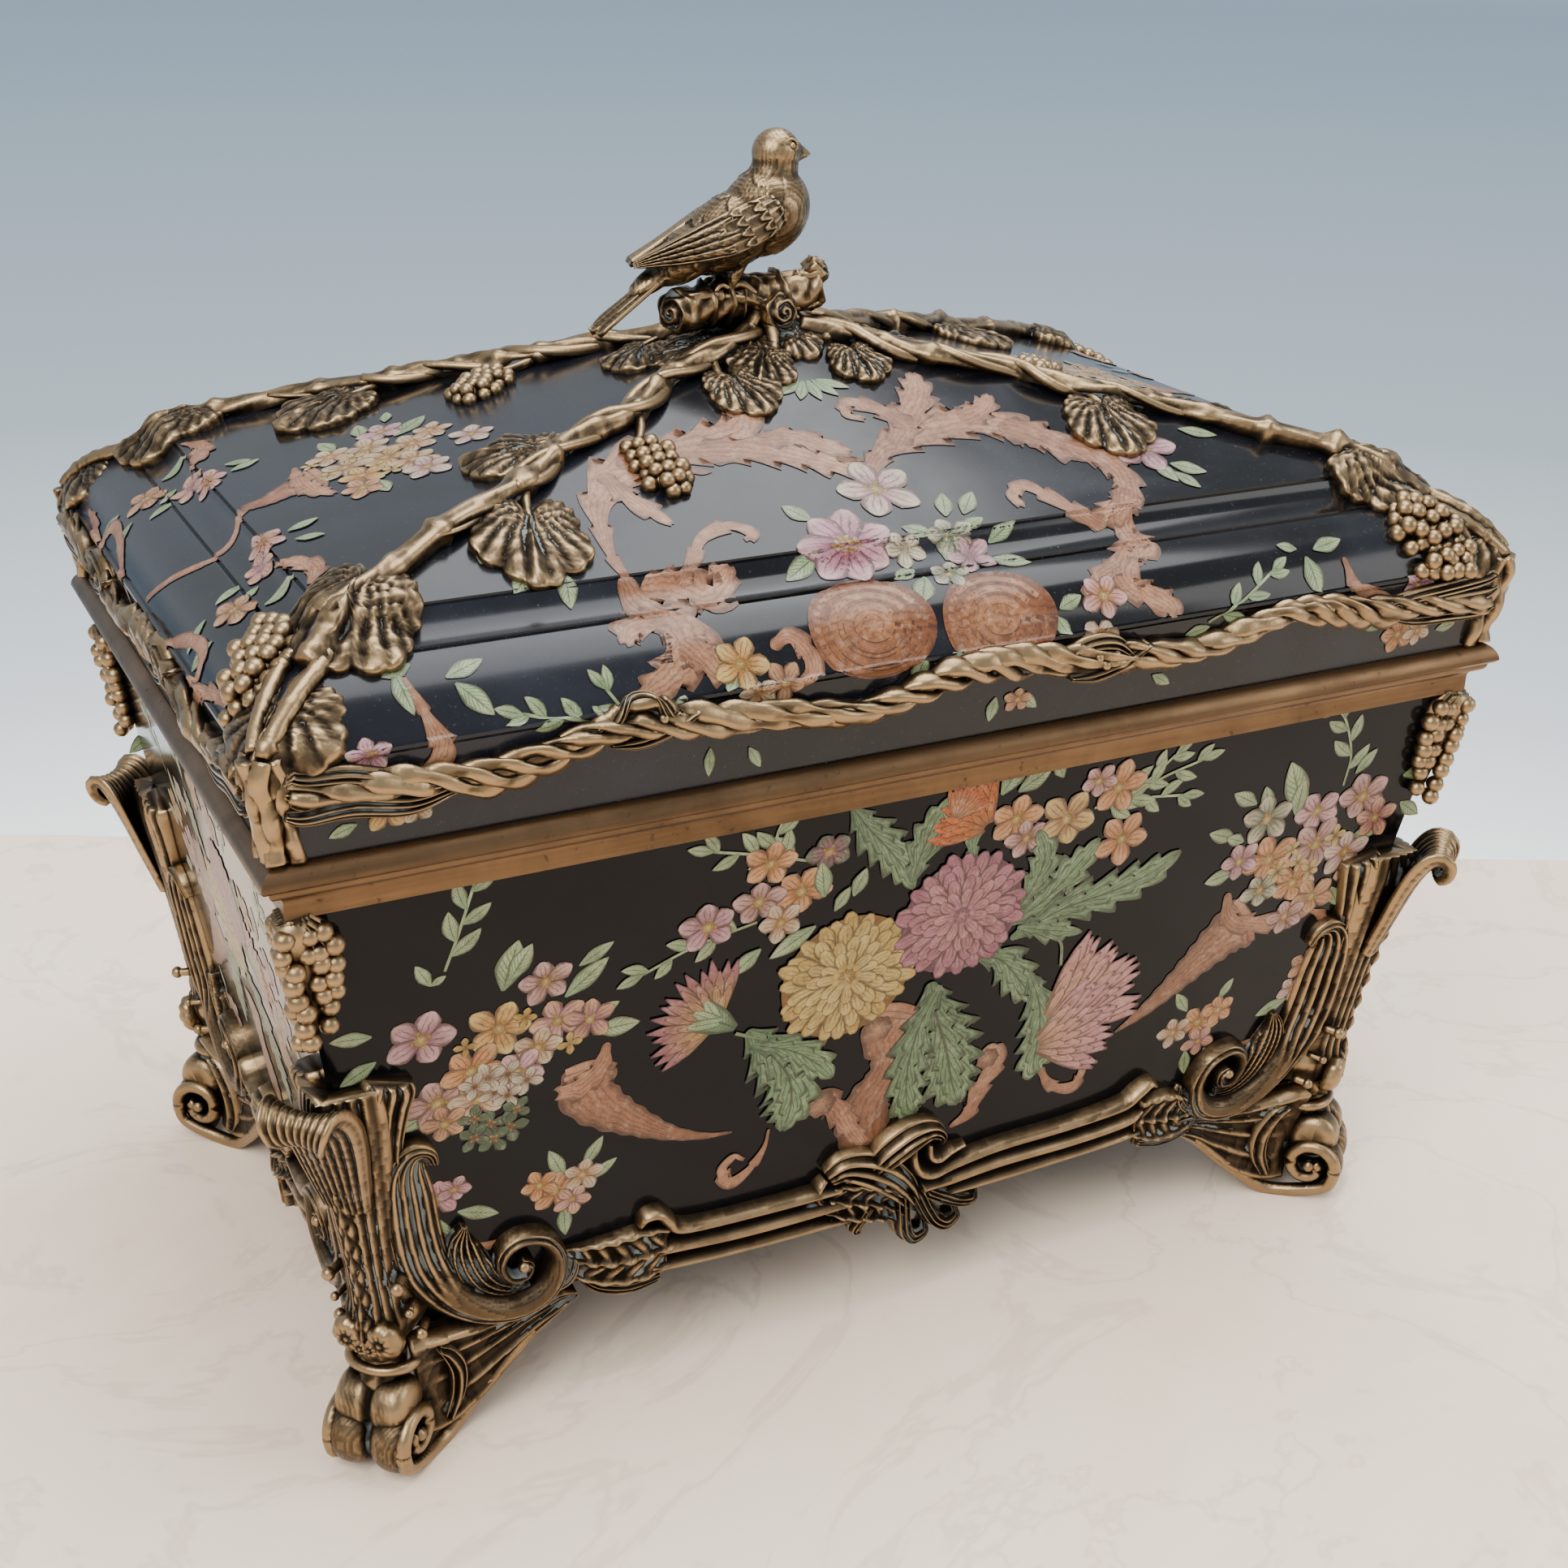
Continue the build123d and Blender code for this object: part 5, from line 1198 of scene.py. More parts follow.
birdSettings = {
    "voxel": 0.55,
    # rounds that blend into the body: place over the lid's tip in the bird's plane, half sizes, pitch in degrees
    "rounds": [
        ((-1.0, 0, 36.5), (15.5, 13.0, 13.5), 38), ((-13, 0, 31.0), (19, 12.6, 11.5), 26),
        ((-27, 0, 25.5), (16, 9.4, 8.0), 28),
        ((1.4, 0, 44.5), (8.4, 8.2, 10.5), 0), ((2.4, 0, 50.0), (7.5, 7.2, 8.6), 0),
        ((2.6, 0, 54.6), (7.8, 7.4, 7.4), 10),
        ((4.6, 0, 54.6), (6.0, 5.8, 5.2), -10), ((-38, 0, 19.0), (12, 5.2, 3.6), 32),
    ],
    "cones": [  # from, to, radii
        ((7.0, 0, 54.6), (14.8, 0, 53.2), (4.3, 0.6)),
        ((-12, -4.6, 26), (-15, -5.0, 15), (4.6, 1.8)), ((-12, 4.6, 26), (-15, 5.0, 15), (4.6, 1.8)),
    ],
    # the wing's upper and lower edge, from the shoulder to its tip
    "wingTop": [(-2.0, 8.6, 43.5), (-9, 7.8, 42.0), (-20, 6.0, 37.6), (-33, 3.6, 31.0), (-46.6, 1.6, 24.2)],
    "wingFoot": [(1.5, 11.0, 37.5), (-5.0, 13.4, 31.0), (-17, 12.8, 26.0), (-31, 8.8, 23.4), (-46.6, 3.6, 22.2)],
    "eye": (5.2, 6.3, 57.0), "eyeRadius": 1.15, "feather": (6.4, 5.2),  # one feather on the back: length, width
}


def meshArrays(data):
    count = len(data.vertices)
    points, normals = np.empty(count * 3), np.empty(count * 3)
    data.vertices.foreach_get("co", points)
    data.vertices.foreach_get("normal", normals)
    edges = np.empty(len(data.edges) * 2, dtype=np.int64)
    data.edges.foreach_get("vertices", edges)
    return points.reshape(-1, 3) / mm, normals.reshape(-1, 3), edges.reshape(-1, 2)


def birdRound(centre, halves, pitch):
    deselect()
    bpy.ops.mesh.primitive_uv_sphere_add(segments=32, ring_count=20, radius=1.0)
    made = bpy.context.object
    made.scale = [h * mm for h in halves]
    made.rotation_euler[1] = -math.radians(pitch)
    made.location = (centre[0] * mm, centre[1] * mm, (lidTip + centre[2]) * mm)
    return made


def birdBody():
    b = birdSettings
    parts = [birdRound(*r) for r in b["rounds"]]
    for start, end, radii in b["cones"]:
        for share in np.linspace(0, 1, 7):
            centre = [s + (e - s) * share for s, e in zip(start, end)]
            size = radii[0] + (radii[1] - radii[0]) * share
            parts.append(birdRound(centre, (size, size, size), 0))
    deselect()
    for part in parts:
        part.select_set(True)
    bpy.context.view_layer.objects.active = parts[0]
    bpy.ops.object.join()
    bpy.ops.object.transform_apply(location=True, rotation=True, scale=True)
    body = bpy.context.object
    remesh = body.modifiers.new("skin", "REMESH")
    remesh.mode, remesh.voxel_size = "VOXEL", b["voxel"] * mm
    soften = body.modifiers.new("soften", "SMOOTH")
    soften.factor, soften.iterations = 0.6, 9
    bpy.ops.object.modifier_apply(modifier="skin")
    bpy.ops.object.modifier_apply(modifier="soften")
    points, normals, _ = meshArrays(body.data)
    x, y, z = points[:, 0], points[:, 1], points[:, 2] - lidTip
    # down the back: from the head to the tail, and round the body
    back = -(x * 0.83 + (z - 40) * -0.25) + np.abs(y) * 0.12
    head = smooth(46, 52, z)
    around = np.abs(y) + 0.6 * (z - 30)
    featherLong, featherWide = b["feather"]
    row = np.floor(back / featherLong)
    u = np.mod(around / featherWide + 0.5 * np.mod(row, 2), 1) * 2 - 1
    v = np.mod(np.mod(back / featherLong, 1) - 0.35 * (1 - u * u), 1)
    scale = v ** 1.3 * (1 - 0.4 * np.abs(u) ** 3)
    barbs = 0.15 * np.sin(around * 7 + back * 2)
    feather = (scale - 0.5) * 0.5 + barbs * 0.3
    feather = feather * (1 - head) * smooth(12, 18, z) * (0.16 + 0.84 * smooth(6, -6, x))
    down = 0.05 * np.sin(x * 3.1 + z * 1.7) * np.sin(z * 2.9 - y * 2.2) * head
    points += normals * (feather + down)[:, None]
    faces = [tuple(f.vertices) for f in body.data.polygons]
    cast = Casting()
    cast.add(points, faces)
    bpy.data.objects.remove(body)
    return cast


def birdWing(side):
    # over the flank: along from the shoulder to the wing's tip, and across from its upper to its lower edge
    long, wide = 110, 61
    s, u = np.linspace(0, 1, long)[:, None], np.linspace(0, 1, wide)[None]
    spine, lower = (through(birdSettings[key], long) for key in ("wingTop", "wingFoot"))
    spine[:, 2] += lidTip
    lower[:, 2] += lidTip
    base = spine[:, None] * (1 - u[..., None]) + lower[:, None] * u[..., None]
    bulge = np.sin(np.pi * u) * (1 - s) * 2.0
    # small coverts over the shoulder in rows, then long quills to the tip
    along = s * 7
    row = np.floor(along)
    cross = u * 4 + 0.5 * np.mod(row, 2)
    v = np.mod(along - 0.45 * (1 - (np.mod(cross, 1) * 2 - 1) ** 2), 1)
    covert = v ** 1.2
    quill = np.mod(u * 5 + 0.5 * s, 1)
    quills = (1 - quill ** 2.2) * 1.1 + 0.04 * np.sin(s * 120 + quill * 9)
    share = smooth(0.36, 0.46, s + 0.06 * np.sin(u * 13))
    relief = covert * (1 - share) + quills * share
    lift = (1.5 + bulge + relief * 0.95) * smooth(0, 0.05, s) * smooth(0, 0.04, u) * smooth(0, 0.04, 1 - u)
    outward = np.stack([0 * s + 0 * u, np.ones_like(s * u), 0.25 + 0 * s * u], -1)
    top = base + outward * lift[..., None]
    low = base - outward * 2.2
    rows = np.concatenate([top, low[:, ::-1]], 1)
    rows[..., 1] *= side
    cast = Casting()
    cast.grid(rows)
    return cast


def birdTail():
    cast = Casting()
    for aside, drop in ((0, 0), (-2.6, -0.7), (2.6, -0.7)):
        end = -61.0 + 1.2 * abs(aside) * 0.5
        path = [(-33, aside * 0.55, 22.5), (-46, aside * 0.8, 13.4), (-56, aside, 6.4), (end, aside, 2.9)]
        line = through(path, 60)
        line[:, 2] += lidTip + drop
        ahead = unit(np.gradient(line, axis=0))
        across = np.broadcast_to((0.0, 1.0, 0.0), ahead.shape)
        outward = unit(np.cross(ahead, across))
        outward = outward * np.sign(outward[:, 2:3])
        half = np.interp(np.linspace(0, 1, 60), [0, 0.2, 0.8, 0.95, 1], [2.4, 3.0, 3.2, 2.4, 0.6])
        barb = lambda u, s: 0.7 - 0.35 * u * u + 0.3 * np.exp(-(u / 0.10) ** 2) + 0 * s
        sweep(cast, line, across, outward, half, 1.5, barb, steps=17, under=lambda u, s: -0.4 - 0.4 * (1 - u * u))
    return cast


def birdHeadAndFeet():
    b, cast = birdSettings, Casting()
    ex, ey, ez = b["eye"]
    for side in (-1, 1):
        bead(cast, (ex, side * ey, lidTip + ez), b["eyeRadius"])
        turn = np.linspace(0, 2 * math.pi, 25)
        ring = [ex + 2.0 * np.cos(turn), np.full(25, side * (ey - 0.5)), lidTip + ez + 2.0 * np.sin(turn)]
        tube(cast, np.stack(ring, 1), 0.5, 6, upward=(0, 1, 0.2))
        foot = (-16.0, side * 5.0, lidTip + perchSettings["rise"] + 4.8)
        for toe, spread in ((8.5, -0.35), (9.5, 0.0), (8.5, 0.4), (-5.5, 0.1)):
            line = np.array([foot, (foot[0] + toe * 0.5, foot[1] + toe * 0.4 * spread, foot[2] + 1.0),
                             (foot[0] + toe, foot[1] + toe * spread, foot[2] - 1.8)])
            tube(cast, through(line, 12), np.linspace(1.2, 0.6, 12), 8)
    return cast


bird = Casting()
for part in (birdBody(), birdWing(-1), birdWing(1), birdTail(), birdHeadAndFeet()):
    bird.merge(part)
finishCasting("birdCast", bird, "lid", "bird", birdBronze)
print("perch and bird made")


def sampleGrid(points, cell, low, shape):
    index = np.clip(((points - low) / cell).astype(int), 0, np.array(shape) - 1)
    field = np.zeros(shape, np.float32)
    np.add.at(field, (index[:, 0], index[:, 1], index[:, 2]), 1.0)
    return np.minimum(field, 1.0)


def blurred(field, steps):
    for _ in range(steps):
        for axis in range(3):
            field = (np.roll(field, 1, axis) + 2 * field + np.roll(field, -1, axis)) / 4
    return field


hollowSettings = {
    "cell": 1.25, "blur": 3, "reach": 2.6, "fine": 3.2, "broad": 2.3, "rest": 0.38, "openAir": 0.10, "spacing": 1.6,
}


def markHollows(pieces):
    # crevices in the castings, from each mesh's own curvature and from how closed in its surroundings are; the bronze
    # colour darkens with it, as patina and as painted shade
    h = hollowSettings
    stored = [(piece, *meshArrays(piece.data)) for piece in pieces]
    everyPoint = [entry[1] for entry in stored]
    for name in ("porcelain_body", "porcelain_lid", "lid_rim", "body_rim"):
        body = nodes[name].data
        corners = np.array([v.co for v in body.vertices]) / mm
        fill = []
        for face in body.polygons:
            a, b, c = (corners[i] for i in face.vertices[:3])
            steps = (max(2, int(np.linalg.norm(end - a) / h["spacing"])) for end in (b, c))
            u, v = np.meshgrid(*(np.linspace(0, 1, count) for count in steps))
            keep = u + v <= 1
            fill.append(a + u[keep][:, None] * (b - a) + v[keep][:, None] * (c - a))
        everyPoint.append(np.vstack(fill))
    cloud = np.vstack(everyPoint)
    low = cloud.min(0) - 6
    shape = tuple(((cloud.max(0) - low) / h["cell"]).astype(int) + 8)
    closed = blurred(sampleGrid(cloud, h["cell"], low, shape), h["blur"])
    for piece, points, normals, edges in stored:
        count = len(points)
        total, degree = np.zeros((count, 3)), np.zeros(count)
        for a, b in ((0, 1), (1, 0)):
            np.add.at(total, edges[:, a], points[edges[:, b]])
            np.add.at(degree, edges[:, a], 1)
        gap = total / np.maximum(degree, 1)[:, None] - points
        length, span = np.zeros(count), np.linalg.norm(points[edges[:, 0]] - points[edges[:, 1]], axis=1)
        for end in (0, 1):
            np.add.at(length, edges[:, end], span)
        length /= np.maximum(degree, 1)
        bend = np.sum(gap * normals, 1) / np.maximum(length, 0.05)
        for _ in range(2):  # evened out with the neighbours
            even = np.zeros(count)
            for end in (0, 1):
                np.add.at(even, edges[:, end], bend[edges[:, 1 - end]])
            bend = 0.5 * bend + 0.5 * even / np.maximum(degree, 1)
        spot = ((points + normals * h["reach"] - low) / h["cell"]).astype(int)
        spot = np.clip(spot, 0, np.array(shape) - 1)
        around = closed[spot[:, 0], spot[:, 1], spot[:, 2]]
        # the broad term darkens closed-in places as painted shade, the fine term follows the crevices
        value = np.clip(h["rest"] + h["fine"] * bend + h["broad"] * (around - h["openAir"]), 0, 1)
        made = piece.data.attributes.new("hollow", "FLOAT", "POINT")
        made.data.foreach_set("value", value.astype(np.float32))


markHollows(castPieces)
print("crevices marked")


paints = {
    "salmon": shade(158, 116, 94), "salmonDark": shade(98, 68, 54), "salmonPale": shade(198, 158, 134),
    "leaf": shade(152, 176, 138), "leafDark": shade(84, 108, 82), "leafPale": shade(196, 210, 172),
    "ochre": shade(200, 172, 112), "ochrePale": shade(224, 204, 150), "ochreDark": shade(132, 98, 58),
    "mauve": shade(160, 108, 124), "mauvePale": shade(206, 160, 160), "mauveDark": shade(104, 66, 80),
    "pink": shade(206, 160, 166), "pinkPale": shade(224, 192, 190), "orange": shade(200, 140, 96),
    "orangePale": shade(216, 178, 146), "red": shade(198, 112, 76), "cream": shade(222, 212, 188),
    "purple": shade(164, 84, 120), "stem": shade(148, 160, 124), "peach": shade(188, 140, 108),
    "peachDark": shade(128, 82, 58),
}
paintStrength, paintDepth = 1.35, 0.46  # stronger and deeper than on the palette
for name, tone in paints.items():
    middle = sum(tone) / 3
    paints[name] = tuple(max(0.0, middle + (v - middle) * paintStrength) * paintDepth for v in tone)


def blend(a, b, t):  # colours come as numbers or by their names
    a, b = (np.asarray(paints[c] if isinstance(c, str) else c) for c in (a, b))
    t = np.asarray(t, float)[..., None]
    return a * (1 - t) + b * t


class Painting:  # painted strokes laid on one face, each a little above the last
    def __init__(self, surface, base):
        self.surface, self.base = surface, base
        self.kinds = {"leaf": [], "petal": [], "scroll": []}
        self.index = 0

    def lay(self, kind, spots, u, v, colours):
        out = self.base + 0.0005 * self.index
        self.index += 1
        u, v = (np.broadcast_to(w, spots.shape[:2]) for w in (u, v))
        self.kinds[kind].append((self.surface(spots[..., 0], spots[..., 1], out), u, v, colours))

    def stroke(self, kind, path, first, last=None, edge=None, light=0.12, fineness=1.3, lean=0.0):
        # path holds (run, height, half width)
        path = np.array(path, float)
        span = float(np.sum(np.linalg.norm(np.diff(path[:, :2], axis=0), axis=1)))
        rows = int(np.clip(span / fineness, 6, 110))
        line = through(path, rows)
        wide = np.maximum(line[:, 2], 0.12)
        columns = int(np.clip(2 * wide.max() / fineness, 4, 40)) + 1
        v = np.linspace(0, 1, rows)[:, None]
        u = np.linspace(0, 1, columns)[None]
        ahead = unit(np.gradient(line[:, :2], axis=0))
        side = np.stack([-ahead[:, 1], ahead[:, 0]], 1)
        reach = (2 * u - 1) * wide[:, None]
        if edge is not None:
            reach = reach * edge(np.broadcast_to(u, reach.shape), np.broadcast_to(v, reach.shape))
        forward = lean * wide[:, None] * np.abs(2 * u - 1) ** 1.6
        spots = line[:, None, :2] + side[:, None] * reach[..., None] + ahead[:, None] * forward[..., None]
        last = first if last is None else last
        colours = blend(first, last, np.broadcast_to(v, reach.shape))
        crown = 1 + light * (0.6 - np.abs(2 * u - 1.15)) + 0 * v
        colours = np.clip(colours * crown[..., None] * chance.uniform(0.94, 1.06), 0, 1)
        self.lay(kind, spots, u, v, colours)

    def disc(self, x, z, radius, first, last, kind="petal", oval=1.0, ripple=0.0, lobes=7):
        turn = np.linspace(0, 2 * math.pi, max(12, int(radius * 5)) + 1)[None]
        share = np.linspace(0.0, 1, max(3, int(radius / 1.2)))[:, None]
        reach = radius * share * (1 + ripple * np.cos(lobes * turn))
        spots = np.stack([x + reach * np.cos(turn), z + oval * reach * np.sin(turn)], -1)
        tone = np.clip(share + 0.25 * np.cos(turn - 0.9) * share, 0, 1)
        u, v = 0.5 + 0.36 * share * np.sin(turn * 3), 0.3 + 0.55 * share + 0 * turn
        self.lay(kind, spots, u, v, blend(first, last, tone))

    def build(self, name, body):
        materials = {"leaf": leafEnamel, "petal": petalEnamel, "scroll": scrollEnamel}
        for kind, strokes in self.kinds.items():
            if not strokes:
                continue
            cast, us, vs, colours = Casting(), [], [], []
            for points, u, v, colour in strokes:
                cast.grid(points, closed=False)
                us.append(u.ravel())
                vs.append(v.ravel())
                colours.append(colour.reshape(-1, 3))
            data = bpy.data.meshes.new(name)
            data.from_pydata((np.vstack(cast.points) * mm).tolist(), [], cast.faces)
            us, vs, colours = np.concatenate(us), np.concatenate(vs), np.vstack(colours)
            corner = np.empty(len(data.loops), dtype=np.int64)
            data.loops.foreach_get("vertex_index", corner)
            strokeMap = data.uv_layers.new(name="stroke")
            strokeMap.data.foreach_set("uv", np.stack([us[corner], vs[corner]], 1).ravel().astype(np.float32))
            paint = data.color_attributes.new("paint", "FLOAT_COLOR", "POINT")
            rgba = np.concatenate([colours, np.ones((len(colours), 1))], 1)
            paint.data.foreach_set("color", rgba.ravel().astype(np.float32))
            data.shade_smooth()
            finishPiece(f"{name}_{kind}", data, body, materials[kind])


def petal(p, x, z, turn, start, reach, wide, first, last, blunt=0.6, bend=0.0):
    path = []
    for share, size in ((0, 0.45), (0.35, 0.8), (0.7, 1.0), (0.92, blunt), (1.0, blunt * 0.45)):
        far = start + (reach - start) * share
        t = turn + bend * share
        path.append((x + far * math.cos(t), z + far * math.sin(t), wide * size))
    p.stroke("petal", path, first, last)


def chrysanthemum(p, x, z, r, outer, inner, deep):
    rings = ((24, 1.0, 0.42, 0.125), (20, 0.82, 0.30, 0.12), (16, 0.62, 0.18, 0.11), (11, 0.43, 0.08, 0.10))
    p.disc(x, z, r * 0.9, deep, deep)
    for ring, (count, reach, start, wide) in enumerate(rings):
        for k in range(count):
            turn = 2 * math.pi * (k + 0.5 * (ring % 2) + chance.uniform(-0.15, 0.15)) / count
            tone = chance.uniform(0, 0.35) + 0.2 * ring
            reachNow = reach * r * chance.uniform(0.92, 1.03)
            petal(p, x, z, turn, start * r, reachNow, wide * r, blend(inner, deep, 0.35),
                  blend(outer, inner, min(1, tone)), bend=chance.uniform(-0.12, 0.12))
    p.disc(x, z, r * 0.13, inner, deep)
    for k in range(9):
        turn = 2 * math.pi * k / 9
        p.disc(x + 0.16 * r * math.cos(turn), z + 0.16 * r * math.sin(turn), r * 0.05, inner, outer)


def fanFlower(p, x, z, heading, r, spread, outer, inner, deep, calyx=True):
    heading, base = math.radians(heading), np.array([x, z])
    for reach, count, wide in ((1.0, 14, 0.082), (0.84, 11, 0.078), (0.64, 8, 0.07), (0.44, 5, 0.06)):
        for k in range(count):
            turn = heading + spread * ((k + 0.5) / count - 0.5) + chance.uniform(-0.04, 0.04)
            petal(p, x, z, turn, 0.12 * r, reach * r * chance.uniform(0.93, 1.06), wide * r, blend(inner, deep, 0.3),
                  blend(outer, inner, 1 - reach), blunt=0.4)
    if calyx:
        ahead = np.array([math.cos(heading), math.sin(heading)])
        back, front = base - 0.30 * r * ahead, base + 0.28 * r * ahead
        p.stroke("leaf", [(*back, 0.06 * r), (*(back + front) / 2, 0.2 * r), (*front, 0.26 * r)], "leafDark", "leaf")
        for k in (-1, 0, 1):
            t = heading + 0.5 * k
            p.stroke("leaf", [(*base, 0.08 * r), (x + 0.3 * r * math.cos(t), z + 0.3 * r * math.sin(t), 0.09 * r),
                              (x + 0.46 * r * math.cos(t), z + 0.46 * r * math.sin(t), 0.02 * r)], "leaf", "leafPale")


def blossom(p, x, z, r, colour, pale, turn=0.0, petals=5, centre="ochrePale", flat=1.0):
    for k in range(petals):
        t = turn + 2 * math.pi * k / petals + chance.uniform(-0.1, 0.1)
        reach = r * chance.uniform(0.88, 1.08)
        ahead = np.array([math.cos(t), math.sin(t) * flat])
        path = [(x + far * reach * ahead[0], z + far * reach * ahead[1], wide * r)
                for far, wide in ((0, 0.10), (0.3, 0.26), (0.65, 0.38), (0.9, 0.24), (1.04, 0.05))]
        p.stroke("petal", path, colour, pale)
    p.disc(x, z, r * 0.2, centre, "ochreDark")
    for k in range(4):
        t = turn + 1.57 * k
        p.disc(x + 0.24 * r * math.cos(t), z + 0.24 * r * math.sin(t), r * 0.07, "ochre", "ochreDark")


def simpleLeaf(p, x, z, turn, length, wide, bend=0.0):
    path = []
    for share, size in ((0, 0.12), (0.2, 0.62), (0.45, 1.0), (0.75, 0.7), (1.0, 0.06)):
        t = turn + bend * share
        path.append((x + length * share * math.cos(t), z + length * share * math.sin(t), wide * size))
    p.stroke("leaf", path, "leaf", "leafPale")


def sprig(p, points, length, wide, count=5, spread=0.85):
    line = through([(x, z, 0.45) for x, z in points], 40)
    p.stroke("scroll", [(x, z, 0.5) for x, z in points], "stem", "leafPale")
    for k in range(count):
        share = 0.18 + 0.78 * k / max(1, count - 1)
        at = min(38, int(share * 39))
        ahead = line[at + 1, :2] - line[at, :2]
        turn = math.atan2(ahead[1], ahead[0]) + (spread if k % 2 else -spread) * chance.uniform(0.8, 1.1)
        size = length * (1.05 - 0.3 * share) * chance.uniform(0.88, 1.1)
        simpleLeaf(p, line[at, 0], line[at, 1], turn, size, wide * (1.05 - 0.25 * share), bend=0.2 * (-1) ** k)
    ahead = line[-1, :2] - line[-3, :2]
    simpleLeaf(p, line[-1, 0], line[-1, 1], math.atan2(ahead[1], ahead[0]), length * 0.8, wide * 0.8)


def toothedLeaf(p, points, wide, teeth, lobes=0.5):
    sizes = np.interp(np.linspace(0, 1, len(points)), [0, 0.15, 0.45, 0.8, 1], [0.25, 0.85, 1.0, 0.62, 0.06]) * wide

    def edge(u, v):
        saw = np.mod(v * teeth + 0.15, 1)
        return 1 - lobes * np.abs(2 * u - 1) ** 1.5 * ((1 - saw) ** 1.3) * (1 - smooth(0.9, 1.0, v))
    p.stroke("leaf", [(x, z, s) for (x, z), s in zip(points, sizes)], "leafDark", "leaf", edge, light=0.2,
             fineness=0.9, lean=0.45)
    # an inner half, a little paler at its root
    inner = [(x, z, s * 0.5) for (x, z), s in zip(points, sizes)]
    p.stroke("leaf", inner, blend("leafDark", "leaf", 0.35), blend("leafDark", "leaf", 0.7), edge, lean=0.45)


def cornucopia(p, points):
    flute = lambda u, v: 1 + 0.06 * np.sin(v * 60) * np.abs(2 * u - 1)
    root, mouth = blend("salmon", "salmonPale", 0.25), blend("salmon", "salmonDark", 0.35)
    p.stroke("scroll", points, root, mouth, flute, light=0.35, fineness=1.0)
    (x0, z0, w0), (x1, z1, _) = points[0], points[1]
    ahead = unit(np.array([x1 - x0, z1 - z0]))
    side = np.array([-ahead[1], ahead[0]])
    for shift, size in ((0.0, 2.2), (2.6, 1.5)):
        rim = []
        for k in (-0.95, -0.5, 0, 0.5, 0.95):
            on = shift - 1.6 * (1 - k * k)
            rim.append((x0 + side[0] * w0 * k + ahead[0] * on, z0 + side[1] * w0 * k + ahead[1] * on,
                        size * (1 - 0.4 * abs(k))))
        p.stroke("scroll", rim, "salmonPale", "salmon", light=0.3)


def scrollLeaf(p, points, lobes=5, depth=0.45, side=0):
    # a feathery scroll: its outer edge is cut into lobes that lean along it
    def edge(u, v):
        saw = np.mod(v * lobes, 1)
        cut = depth * ((1 - saw) ** 1.2) * (1 - smooth(0.88, 1.0, v)) * smooth(0.0, 0.1, v)
        away = 2 * u - 1
        keep = np.abs(away) ** 1.3 if side == 0 else np.clip(away * side, 0, 1) ** 1.2
        return 1 - cut * keep
    p.stroke("scroll", points, "salmon", "salmonPale", edge, light=0.25, fineness=0.9, lean=0.75)


def looseLeaves(p, spots):  # each is a place, a turn in degrees, a length and a half width
    for x, z, turn, length, wide in spots:
        simpleLeaf(p, x, z, math.radians(turn), length, wide)


def posy(p, spots, leaves=()):
    looseLeaves(p, leaves)
    for x, z, r, colour, pale in spots:
        blossom(p, x, z, r, colour, pale, chance.uniform(0, 6.3), flat=chance.uniform(0.75, 1.0))


def berries(p, spots, r, colour="ochrePale", deep="salmonDark"):
    for x, z in spots:
        size = r * chance.uniform(1.05, 1.35)
        blossom(p, x, z, size, blend(colour, deep, 0.45), colour, chance.uniform(0, 6), 4, deep)


